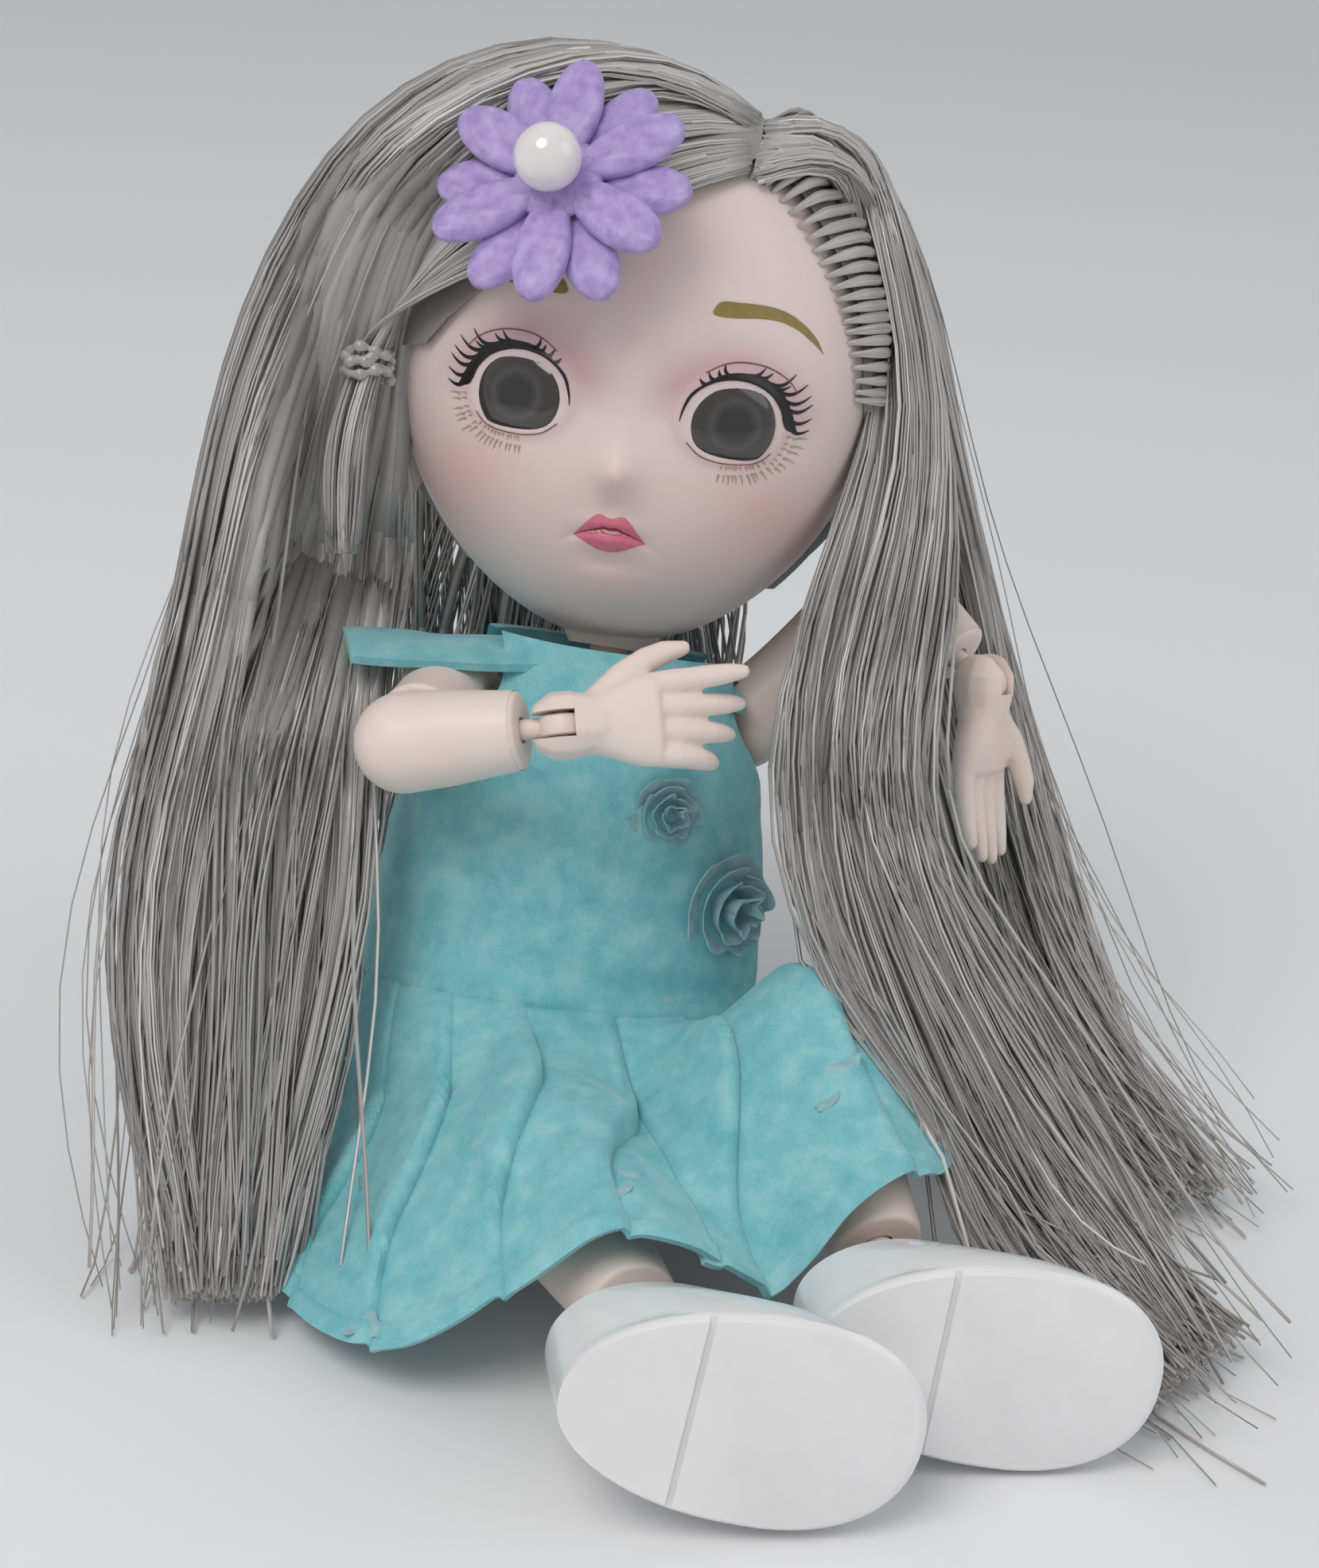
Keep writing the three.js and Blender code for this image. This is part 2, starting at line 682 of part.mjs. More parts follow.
function ear(side, grow = 0) {
  const lobe = new THREE.SphereGeometry(1, 8, 6);
  const place = new THREE.Matrix4().compose(
    new THREE.Vector3(side * earOut, earBack, -earDrop),
    new THREE.Quaternion().setFromEuler(new THREE.Euler(degrees(12), 0, degrees(side * -24))),
    new THREE.Vector3(2 + grow, 3.4 + grow, earHalfHeight + grow),
  );
  return solid(lobe, place);
}

const eyePlace = (side) => {
  const direction = new THREE.Vector3(side * eyeHalfSpacing / headHalfWidth, 0, -eyeDrop / headHalfHeight);
  direction.y = -Math.sqrt(1 - direction.lengthSq());
  const surface = headPoint(direction, 0, false);
  return new THREE.Matrix4().makeTranslation(...surface.toArray())
    .multiply(aboutZ(side * eyeTurn))
    .multiply(new THREE.Matrix4().makeRotationX(degrees(90 + eyeTilt)));
};

// In an eye's own frame +Z points out of the face.
const eyeHole = (side) => moved(
  rod(eyeHoleRadius, [0, 0, -8], [0, 0, 8], ballSides), eyePlace(side),
);

function eyeWhite() {
  const plug = eyeHoleRadius - runningGap;
  const flangeTop = -(headWall + eyeFlangeDepth);
  return turned([
    [-eyeRecess, plug], [flangeTop, plug], [flangeTop, plug + eyeFlange],
    [flangeTop - 0.8, plug + eyeFlange],
  ], ballSides);
}

function eyeIris() {
  const base = -eyeRecess + runningGap;
  return turned([
    [base, irisRadius], [base + 0.3, irisRadius], [base + 0.65, irisRadius * 0.8],
    [base + 0.9, irisRadius * 0.4],
  ], ballSides);
}

function neckHole() {
  const pivot = new THREE.Matrix4().makeTranslation(0, headForwardOfPivot, -headAbovePivot);
  const space = join(
    ball(neckRingRadius + runningGap),
    openingCone(neckHoleOpening, 2 * neckRingRadius),
  );
  return moved(space, pivot);
}

function headShell() {
  const outside = join(headForm(0, headSides), ear(-1), ear(1));
  const seatRadius = neckRingRadius + runningGap + headWall;
  const seat = ball(seatRadius, [0, headForwardOfPivot, -headAbovePivot])
    .intersect(headForm(-0.1, 14, false));
  const hollow = headForm(-headWall, 14, false);
  return cut(join(cut(outside, hollow), seat), eyeHole(-1), eyeHole(1), neckHole());
}
piece(head, "head_shell", headShell(), looks.skin);

for (const [name, { side }] of Object.entries(limbs)) {
  piece(head, `eye_white_${name}`, moved(eyeWhite(), eyePlace(side)), looks.eyeWhite);
  piece(head, `eye_iris_${name}`, moved(eyeIris(), eyePlace(side)), looks.iris);
}

// Rooted hair: a cap in two halves either side of the parting, and the lengths that fall from it

// The outline of the bare face, seen from the front, as x and z on the head.
const faceOutline = [
  [9.5, 18.4], [12.5, 17], [16, 12.7], [19.2, 7.6], [21, 3], [24, -1], [40, -1], [40, -40],
  [-40, -40], [-40, -3.4], [-21, -3.4], [-16.7, 1.2], [-11.3, 6.2], [-6, 10.4], [-0.9, 13.4],
  [5.7, 16.8],
];

// Seen from the side, as y and z: behind the temple and the ear down to the nape
const earOutline = [
  [-40, -1], [-9, -1], [-4, -6], [0, -11], [4.5, -15.5], [6, -40], [-40, -40],
];

function faceWindow() {
  const extruded = (outline, depth) => new THREE.ExtrudeGeometry(
    new THREE.Shape(outline.map(([a, b]) => new THREE.Vector2(a, b))), { depth, bevelEnabled: false },
  );
  const front = extruded(faceOutline, 40);
  front.translate(0, 0, templeDepth);
  const sides = extruded(earOutline, 80);
  sides.translate(0, 0, -40);
  const upright = new THREE.Matrix4().makeRotationX(Math.PI / 2);
  const acrossX = new THREE.Matrix4().makeBasis(
    new THREE.Vector3(0, 1, 0), new THREE.Vector3(0, 0, 1), new THREE.Vector3(1, 0, 0),
  );
  return join(solid(front, upright), solid(sides, acrossX));
}

function hairCap() {
  const outer = headForm(runningGap + hairThickness, hairSides, false);
  const inner = headForm(runningGap, headSides, true);
  const below = block([-beyond, -beyond, -beyond], [beyond, beyond, -hairNapeDrop]);
  return cut(
    outer, inner, faceWindow(), below, ear(-1, runningGap), ear(1, runningGap),
  );
}

const cap = hairCap();
const partingLow = partingOffset - halfSeam;
const partingHigh = partingOffset + halfSeam;
const sweptSide = block([-beyond, -beyond, -beyond], [partingLow, beyond, beyond]);
const combedSide = block([partingHigh, -beyond, -beyond], [beyond, beyond, beyond]);
piece(head, "hair_swept", cap.intersect(sweptSide), looks.hair);
piece(head, "hair_combed", cap.intersect(combedSide), looks.hair);

const vectors = (list) => list.map((p) => new THREE.Vector3(...p));

// Spaces that hair and cloth keep clear of, on the floor plane's frame
const capSpace = moved(
  headForm(2 * runningGap + hairThickness, hairSides, false), head.matrixWorld,
);

function limbSpace(limb, grow) {
  const [shoulder, elbow, wrist] = [limb.upperArm, limb.forearm, limb.hand].map(placeOf);
  const fingers = new THREE.Vector3(0, 0, -9).applyMatrix4(limb.hand.matrixWorld);
  return join(
    capsule(shoulder, elbow, armTopRadius + grow),
    capsule(elbow, wrist, elbowRadius + grow),
    capsule(wrist, fingers, elbowRadius + grow),
  );
}

function legSpace(limb, grow) {
  const [hip, knee, ankle] = [limb.thigh, limb.shin, limb.foot].map(placeOf);
  const overShoe = shoeForm(-grow, soleBottom - grow, soleBottom + collarHeight + grow);
  return join(
    capsule(hip, knee, thighTopRadius + grow),
    capsule(knee, ankle, kneeRadius + grow),
    moved(overShoe, limb.foot.matrixWorld),
  );
}
const legSpaces = Object.values(limbs).map((limb) => legSpace(limb, 2 * runningGap));

const hairFallSpace = (points, widths, thicknesses, wideAxis, grow = seamGap) => strand(
  vectors(points), widths.map((w) => w + grow), thicknesses.map((t) => t + grow),
  new THREE.Vector3(...wideAxis), 10,
);

function hairFall(points, widths, thicknesses, wideAxis, ...spaces) {
  const body = hairFallSpace(points, widths, thicknesses, wideAxis, 0);
  const floor = block([-beyond, -beyond, -beyond], [beyond, beyond, hairFloorGap]);
  const left = cut(body, capSpace, floor, ...spaces).decompose();
  return left.sort((a, b) => b.volume() - a.volume())[0];
}

// The form of the bodice, in the body's frame, and the space it takes

function bodiceRing(z, width, front, back) {
  return Array.from({ length: 20 }, (_, k) => {
    const angle = (2 * Math.PI * k) / 20;
    const c = Math.cos(angle);
    const depth = c > 0 ? front : back;
    return new THREE.Vector3(
      squared(Math.sin(angle), dressPower) * width, -squared(c, dressPower) * depth, z,
    );
  });
}

const bodiceSections = [
  // height, half width, front, back
  [waistHeight, waistHalfWidth, waistFront, waistBack],
  [14, waistHalfWidth - 0.3, waistFront + 0.1, waistBack - 0.5],
  [22, waistHalfWidth - 1, waistFront - 0.4, waistBack - 1.3],
  [29, chestHalfWidth, waistFront - 1.4, waistBack - 2],
  [shoulderHeight, chestHalfWidth - 2.4, waistFront - 3, waistBack - 2.8],
  [neckHeight - collarDrop, chestHalfWidth - 5.6, waistFront - 4, waistBack - 3.2],
];

const bodiceSpace = moved(
  loft(bodiceSections.map(([z, width, front, back], i) =>
    bodiceRing(i === 0 ? z - runningGap : z, width + 1, front + 1, back + 2.6))),
  torso.matrixWorld,
);

// Skirt panels lie on the legs and fall to the floor beside them

const legBars = Object.values(limbs).flatMap(({ thigh, shin, ankle }) => [
  { from: placeOf(thigh), to: placeOf(shin), radius: thighTopRadius },
  { from: placeOf(shin), to: placeOf(ankle), radius: calfRadius },
]);

const drapeSlope = 0.85;
const drapeLift = 2.2;
const drapeCrown = 0.7; // share of a leg's half width that the cloth rests on before it falls away

function restingHeight(x, y, lowest) {
  const sharpness = 0.9;
  let sum = Math.exp(sharpness * lowest);
  for (const { from, to, radius } of legBars) {
    const along = new THREE.Vector2(to.x - from.x, to.y - from.y);
    const offset = new THREE.Vector2(x - from.x, y - from.y);
    const share = THREE.MathUtils.clamp(offset.dot(along) / along.lengthSq(), 0, 1);
    const aside = offset.addScaledVector(along, -share).length();
    const middle = THREE.MathUtils.lerp(from.z, to.z, share);
    const reach = radius + drapeLift;
    const crown = reach * drapeCrown;
    const height = aside < crown
      ? Math.sqrt(reach ** 2 - aside ** 2)
      : Math.sqrt(reach ** 2 - crown ** 2) - (aside - crown) * drapeSlope;
    sum += Math.exp(sharpness * (middle + height));
  }
  return Math.log(sum) / sharpness;
}

function waistPoint(angle, drop, outset = 0) {
  const c = Math.cos(angle);
  const x = squared(Math.sin(angle), dressPower) * (waistHalfWidth + outset);
  const depth = c > 0 ? waistFront : waistBack;
  const y = -squared(c, dressPower) * (depth + outset);
  return new THREE.Vector3(x, y, waistHeight - drop).applyMatrix4(torso.matrixWorld);
}

function hemPoint(angle) {
  const c = Math.cos(angle);
  const reach = c > 0 ? -hemReach : backReach;
  return new THREE.Vector2(
    hemSideX + hemHalfWidth * Math.sin(angle), hemSideY + reach * Math.sqrt(Math.abs(c)),
  );
}

// Angles run from the doll's right side (-90) over its front (0) to its left side (90).
function skirtRows(fromAngle, toAngle, columns, rows) {
  const lowest = floorGap + clothThickness;
  return Array.from({ length: rows }, (_, r) => {
    const share = r / (rows - 1);
    return Array.from({ length: columns }, (_, k) => {
      const angle = degrees(fromAngle + ((toAngle - fromAngle) * k) / (columns - 1));
      const start = waistPoint(angle, seamGap);
      const hem = hemPoint(angle);
      const x = THREE.MathUtils.lerp(start.x, hem.x, share);
      const y = THREE.MathUtils.lerp(start.y, hem.y, share);
      const settle = THREE.MathUtils.smoothstep(share, 0, Math.cos(angle) > 0 ? 0.3 : 0.8);
      const pleat = pleatDepth * Math.sin(pleatCount * angle) * settle;
      const rest = restingHeight(x, y, lowest + 0.4);
      const z = THREE.MathUtils.lerp(start.z, rest, settle) + pleat;
      return new THREE.Vector3(x, y, Math.max(z, lowest));
    });
  });
}

const centrePleat = 4; // degrees round the waist, where the two front panels meet
const sideSeam = 95;
const seamAngle = 0.7; // left free on each side of a seam
const seamWidth = 0.6;
const seamRun = 5; // of a seam's space past the waist and the hem

// The space along a seam, which is straight when seen from above
function seamSpace(angle) {
  const start = waistPoint(degrees(angle), 0);
  const along = hemPoint(degrees(angle)).sub(new THREE.Vector2(start.x, start.y));
  const wall = block(
    [-seamRun, -seamWidth / 2, -beyond], [along.length() + seamRun, seamWidth / 2, beyond],
  );
  const turn = aboutZ(THREE.MathUtils.radToDeg(along.angle())).setPosition(start.x, start.y, 0);
  return moved(wall, turn);
}

const skirtPanels = {
  skirt_right: skirtRows(-sideSeam + seamAngle, centrePleat - seamAngle, 15, 8),
  skirt_left: skirtRows(centrePleat + seamAngle, sideSeam - seamAngle, 15, 8),
  skirt_back: skirtRows(sideSeam + seamAngle, 360 - sideSeam - seamAngle, 17, 6),
};
const seamSpaces = [-sideSeam, centrePleat, sideSeam].map(seamSpace);
for (const [name, rows] of Object.entries(skirtPanels)) {
  const panel = sheet(rows, 0, clothThickness);
  piece(root, name, cut(panel, bodiceSpace, ...legSpaces, ...seamSpaces), looks.velour);
}
// The space that the skirt takes, and the layer of air under it
const skirtLayer = clothThickness + 3;
const skirtSpace = Object.values(skirtPanels).flatMap((rows) => [
  ...[0, -skirtLayer].map((drop) =>
    sheet(rows, runningGap + 0.1, skirtLayer).translate([0, 0, drop])),
  ...[-runningGap, runningGap].map((aside) => sheet(rows, 0, clothThickness).translate([aside, 0, 0])),
]);

// Bodice, in the body's frame

function bodice() {
  const layer = (inset) => loft(bodiceSections.map(([z, width, front, back], i) => {
    const last = i === bodiceSections.length - 1;
    const height = i === 0 && inset ? z - 1 : last && inset ? z + 1 : z;
    return bodiceRing(height, width - inset, front - inset, back - inset);
  }));
  const tools = [layer(clothThickness)];
  for (const limb of Object.values(limbs)) {
    const x = limb.side * shoulderHalfSpacing;
    tools.push(rod(armholeRadius, [x - 5, 0, shoulderHeight], [x + 5, 0, shoulderHeight], ballSides));
  }
  return cut(layer(0), ...tools);
}

// A cap sleeve that lies over the shoulder, out to a reach from the body's middle
function capSleeve(reach, side, above = clothThickness, below = 0) {
  const inner = chestHalfWidth - 8;
  const sleeveFall = 1.6;
  const rows = Array.from({ length: 4 }, (_, r) => {
    const share = r / 3;
    const x = side * THREE.MathUtils.lerp(inner, reach, share);
    return Array.from({ length: 5 }, (_, k) => {
      const across = -1 + k / 2;
      const y = across * (waistFront - 4.6 + above - clothThickness);
      const z = shoulderHeight + sleeveLift - sleeveFall * share - sleeveFall * across ** 2;
      return new THREE.Vector3(x, y, z);
    });
  });
  return sheet(side < 0 ? rows : rows.map((row) => [...row].reverse()), above, below);
}

const rightSleeve = capSleeve(rightSleeveReach, -1);
const leftSleeve = capSleeve(leftSleeveReach, 1);
const armSpaces = Object.values(limbs).map((limb) =>
  moved(limbSpace(limb, 2 * runningGap), intoTorso));
const neckSpace = turned([
  [neckHeight - neckOpeningLow + 0.5, neckOpeningLow], [neckHeight + 3.5, neckOpeningHigh],
], ballSides);
const chinSpace = moved(
  moved(headForm(runningGap, hairSides, false), head.matrixWorld), intoTorso,
);
piece(
  torso, "dress_bodice",
  cut(join(bodice(), rightSleeve, leftSleeve), neckSpace, chinSpace, ...armSpaces), looks.velour,
);

// Ruffled chiffon rosettes on the bodice's front

function rosette(radius) {
  const ruffle = (height, reach, waves) => Array.from({ length: ruffleSides }, (_, k) => {
    const angle = (2 * Math.PI * k) / ruffleSides;
    const swing = reach * (1 + 0.12 * Math.cos(waves * angle));
    return new THREE.Vector3(swing * Math.cos(angle), swing * Math.sin(angle), height);
  });
  return loft([
    ruffle(0, radius * 0.7, 6), ruffle(0.8, radius, 6), ruffle(1.6, radius * 0.8, 6),
    ruffle(2.2, radius * 0.55, 4), ruffle(2.6, radius * 0.25, 4),
  ]);
}

function onBodice(x, z) {
  const above = bodiceSections.findIndex(([height]) => height > z);
  const [low, high] = [bodiceSections[above - 1], bodiceSections[above]];
  const share = (z - low[0]) / (high[0] - low[0]);
  const width = THREE.MathUtils.lerp(low[1], high[1], share);
  const front = THREE.MathUtils.lerp(low[2], high[2], share);
  const surface = (at) => -front * (1 - Math.abs(at / width) ** (2 / dressPower)) ** (dressPower / 2);
  const slope = (surface(x + 0.5) - surface(x - 0.5));
  const outward = new THREE.Vector3(slope, -1, 0).normalize();
  const place = new THREE.Vector3(x, surface(x), z).addScaledVector(outward, 2 * runningGap);
  const across = new THREE.Vector3(0, 0, 1).cross(outward).normalize();
  return new THREE.Matrix4()
    .makeBasis(across, outward.clone().cross(across), outward).setPosition(place);
}

piece(
  torso, "rosette_large", moved(rosette(largeRosetteRadius), onBodice(12.2, 19.7)), looks.chiffon,
);
piece(
  torso, "rosette_small", moved(rosette(smallRosetteRadius), onBodice(5, 28)), looks.chiffon,
);

// Hook and loop strips of the back closure

const closureBase = waistBack + runningGap;
const closureBottom = waistHeight + 1;
for (const [layer, name] of ["closure_loops", "closure_hooks"].entries()) {
  const near = closureBase + layer * (closureThickness + runningGap);
  piece(
    torso, name,
    block(
      [-closureWidth / 2, near, closureBottom + layer],
      [closureWidth / 2, near + closureThickness, closureBottom + closureLength - layer],
    ),
    looks.tape,
  );
}

// A side lock gathered by a wrapped clear elastic

const gather = new THREE.Vector3(-24.2, -10.4, -3.2);
const tuftPath = vectors([
  [0.6, 0, 3.2], [0, 0, 0], [-0.8, -0.8, -5], [-1, -1.4, -11], [-0.6, -1, -17],
]).map((p) => p.add(gather));
const tuftStrand = (grow) => strand(
  tuftPath, [1.7, 1.5, 2.6, 3.2, 2.4].map((w) => w + grow),
  [1.5, 1.4, 1.8, 2, 1.4].map((t) => t + grow), new THREE.Vector3(0, 1, 0),
);
piece(
  head, "hair_tuft",
  cut(tuftStrand(0), headForm(2 * runningGap + hairThickness, hairSides, false)), looks.hair,
);
const tuftSpace = moved(
  join(tuftStrand(2 * runningGap), ball(elasticRadius + 2 * runningGap + 0.6, gather.toArray())),
  head.matrixWorld,
);

function elasticBand() {
  const section = 6;
  const sides = 10;
  const rings = Array.from({ length: sides }, (_, k) => {
    const angle = (2 * Math.PI * k) / sides;
    const out = new THREE.Vector3(Math.cos(angle), Math.sin(angle), 0);
    return Array.from({ length: section }, (_, j) => {
      const turn = (2 * Math.PI * j) / section;
      return out.clone()
        .multiplyScalar(elasticRadius + elasticThickness * Math.cos(turn))
        .addScaledVector(up, 1.6 * elasticThickness * Math.sin(turn));
    });
  });
  rings.push(rings[0].map((p) => p.clone()));
  return solid(loftGeometry(rings, false));
}
piece(
  head, "hair_elastic",
  cut(
    moved(elasticBand(), new THREE.Matrix4().makeTranslation(...gather.toArray())),
    headForm(runningGap + hairThickness + 0.2, hairSides, false),
  ),
  looks.clear,
);

// Flower clip: a sprung steel clip, a felt pad, two layers of padded petals and a pearl

const flowerGroup = groupIn(head, [0, 0, 0]);
{
  const seat = headPoint(flowerDirection, 2 * runningGap + hairThickness, false);
  const outward = new THREE.Vector3(
    flowerDirection.x / headHalfWidth, flowerDirection.y / headHalfDepth,
    flowerDirection.z / headHalfHeight,
  ).normalize();
  const across = new THREE.Vector3(0, 0, 1).cross(outward).normalize();
  const frame = new THREE.Matrix4()
    .makeBasis(across, outward.clone().cross(across), outward).setPosition(seat);
  frame.decompose(flowerGroup.position, flowerGroup.quaternion, flowerGroup.scale);
  flowerGroup.updateWorldMatrix(true, false);
}

const pinAt = clipLength / 2;
const jawLow = clipSheet + runningGap;
const curlRadius = clipPinRadius + runningGap + clipSheet;
const pinHeight = clipSheet + runningGap + curlRadius;

function lowerJaw() {
  const outer = (clipWidth + clipEarThickness) / 2;
  const inner = outer - clipEarThickness;
  const ears = [[-outer, -inner], [inner, outer]].map(([low, high]) => block(
    [pinAt - clipEarMargin, low, 0], [pinAt + clipEarMargin, high, pinHeight + clipEarMargin],
  ));
  return join(
    block([-pinAt, -outer, 0], [pinAt + clipEarMargin, outer, clipSheet]),
    rod(clipPinRadius, [pinAt, -inner - 0.2, pinHeight], [pinAt, inner + 0.2, pinHeight], pinSides),
    ...ears,
  );
}

function upperJaw() {
  const half = (clipWidth - clipEarThickness) / 2 - runningGap;
  const bore = clipPinRadius + runningGap;
  const curl = cut(
    rod(curlRadius, [pinAt, -half, pinHeight], [pinAt, half, pinHeight], barSides),
    rod(bore, [pinAt, -clipWidth, pinHeight], [pinAt, clipWidth, pinHeight], pinSides),
  );
  return join(block([-pinAt, -half, jawLow], [pinAt - clipPinRadius, half, jawLow + clipSheet]), curl);
}

const padLow = jawLow + clipSheet + runningGap;
const petalLow = padLow + padThickness + runningGap;
const petalHigh = petalLow + petalThickness + runningGap;
const pearlFlat = pearlRadius * 0.1; // ground off where the pearl is glued on
const pearlHeight = petalHigh + petalThickness + runningGap + pearlRadius - pearlFlat;

function petals(turn, low) {
  const petal = new THREE.SphereGeometry(1, 7, 4);
  const middle = low + petalThickness / 2;
  const leaves = Array.from({ length: petalsPerLayer }, (_, k) => {
    const angle = turn + (360 * k) / petalsPerLayer;
    const place = aboutZ(angle)
      .multiply(new THREE.Matrix4().makeTranslation(petalReach - petalLength / 2, 0, middle))
      .multiply(new THREE.Matrix4().makeScale(petalLength / 2, petalHalfWidth, petalThickness / 2));
    return solid(petal, place);
  });
  const hub = rod(petalHubRadius, [0, 0, low + 0.1], [0, 0, low + petalThickness - 0.1], barSides);
  return join(hub, ...leaves);
}

piece(flowerGroup, "clip_lower_jaw", lowerJaw(), looks.steel);
piece(flowerGroup, "clip_upper_jaw", upperJaw(), looks.steel);
piece(
  flowerGroup, "clip_pad", rod(padRadius, [0, 0, padLow], [0, 0, padLow + padThickness], ballSides),
  looks.felt,
);
piece(flowerGroup, "petals_lower", petals(0, petalLow), looks.satin);
piece(flowerGroup, "petals_upper", petals(180 / petalsPerLayer, petalHigh), looks.satin);
piece(flowerGroup, "clip_pearl", cut(
  ball(pearlRadius, [0, 0, pearlHeight]),
  block([-beyond, -beyond, -beyond], [beyond, beyond, petalHigh + petalThickness + runningGap]),
), looks.pearl);

// Hair lengths

const armSpace = limbSpace(limbs.left, 3 * runningGap);
const flowerSpace = moved(
  rod(petalReach + 3 * runningGap, [0, 0, -headWall], [0, 0, pearlHeight + pearlRadius], headSides),
  flowerGroup.matrixWorld,
);
// Each: its route, its half widths and half thicknesses there, and the direction of the width
const falls = {
  hair_fall_right: [
    [[-10.9, 12, 97], [-16.4, 12, 90], [-20, 11, 79], [-22.6, 9, 67], [-25.4, 5, 54], [-28.4, -1, 40],
      [-30.6, -9, 26], [-32.6, -19, 11], [-33.4, -26, 3.4]],
    [5.5, 7.5, 8, 9, 10.2, 11, 11, 8.3, 4.5], [9, 10, 10, 9.5, 7.5, 6.5, 5.5, 4.5, 3], [1, 0, 0],
  ],
  hair_fall_left_front: [
    [[29, 9, 90], [32.5, 4.5, 79], [32.5, -1, 68], [27.5, -8, 56], [23, -14.5, 45], [25.5, -19, 35],
      [30.5, -26, 25], [36, -34, 14], [41, -42, 6], [46.5, -50, 3]],
    [3, 3.4, 5.5, 8.4, 8.5, 9, 10, 10.6, 10, 8.5], [5, 4.5, 4, 3.5, 3.4, 3.2, 3, 3, 2.8, 2.2], [1, 0, 0],
  ],
  hair_fall_left_back: [
    [[28, 20, 94], [35, 21, 84], [39.5, 21.5, 68], [43, 20.5, 51], [46, 14, 34], [49, 3, 18],
      [53, -10, 7], [56, -22, 3.2]],
    [5, 6, 7, 8.8, 10.2, 11.5, 11, 9], [9, 9, 8, 7, 6, 5, 3.8, 2.4], [1, 0, 0],
  ],
  hair_fall_back: [
    [[10, 30, 98], [10, 40, 86], [9, 43, 72], [8, 41, 56], [6, 36, 38], [5, 33, 20], [5, 35, 5]],
    [14, 17, 18, 19, 21, 22, 20], [5, 5, 4.5, 4.5, 4, 3.5, 3], [1, 0, 0],
  ],
};
const sleeveSpace = moved(
  capSleeve(rightSleeveReach + 2 * runningGap, -1, clothThickness + 2 * runningGap, 2 * armholeRadius),
  torso.matrixWorld,
);
const fallSpaces = [
  armSpace, flowerSpace, bodiceSpace, sleeveSpace, tuftSpace, ...skirtSpace, ...legSpaces,
];
// The left back lock ends in a part that lies on the floor and bears on it, a piece of its own
const lyingFrom = falls.hair_fall_left_back[0].at(-2)[1];
const hanging = block([-beyond, lyingFrom + halfSeam, -beyond], [beyond, beyond, beyond]);
const lying = block([-beyond, -beyond, -beyond], [beyond, lyingFrom - halfSeam, beyond]);

const taken = [];
for (const [name, route] of Object.entries(falls)) {
  const fall = hairFall(...route, ...fallSpaces, ...taken);
  if (name === "hair_fall_left_back") {
    piece(root, name, fall.intersect(hanging), looks.hair);
    piece(root, "hair_end_left_back", fall.intersect(lying), looks.hair);
  } else {
    piece(root, name, fall, looks.hair);
  }
  taken.push(hairFallSpace(...route));
}

// Arms

// A limb: a round top at the origin and a shaft through [height, radius] pairs below it
const limbBody = (topRadius, shaft) => join(ball(topRadius), turned(shaft, barSides + 2));

function upperArm(side) {
  const end = -(upperArmLength - elbowRadius - limbEndGap);
  const body = limbBody(
    armTopRadius, [[-1, armTopRadius - 0.2], [-6, upperArmRadius], [end, upperArmRadius]],
  );
  const slot = moved(
    forkSlot(shoulderPeg, -12, 115, 2 * armTopRadius), sidewaysPegFrame(side),
  );
  return cut(body, slot, moved(pegBore(elbowPeg), lowered(upperArmLength)));
}

function forearm() {
  const end = -(forearmLength - wristRadius - limbEndGap);
  const body = limbBody(
    elbowRadius, [[-1, elbowRadius - 0.2], [-4.5, forearmRadius], [end, wristEndRadius]],
  );
  return cut(
    body, forkSlot(elbowPeg, -4, 97, 2 * elbowRadius),
    moved(pegBore(wristPeg), lowered(forearmLength)),
  );
}

const fingerSpacing = 2;
const fingerLengths = [7.6, 8.2, 7.8, 6.4]; // from the index finger to the little finger
const palmLength = 8.6;
const palmHalfWidth = 4.2;
const fingerRadius = 1.15;
const knuckleOverlap = 1.6; // of a finger into the palm

// In a hand's frame the fingers point to -Z and the palm faces +Y.
function finger(x, length, curl, lean) {
  const points = [];
  const place = new THREE.Vector3(x, 0, -(palmLength - knuckleOverlap));
  const steps = 3;
  for (let k = 0; k <= steps; k++) {
    points.push(place.clone());
    const bend = curl * (k + 0.5) * 0.43;
    const onward = new THREE.Vector3(lean, Math.sin(bend), -Math.cos(bend));
    place.addScaledVector(onward, (length + knuckleOverlap) / steps);
  }
  const radii = [1, 1, 0.9, 0.55].map((share) => fingerRadius * share);
  return strand(points, radii, radii.map((r) => r * 0.92), new THREE.Vector3(1, 0, 0), 5);
}

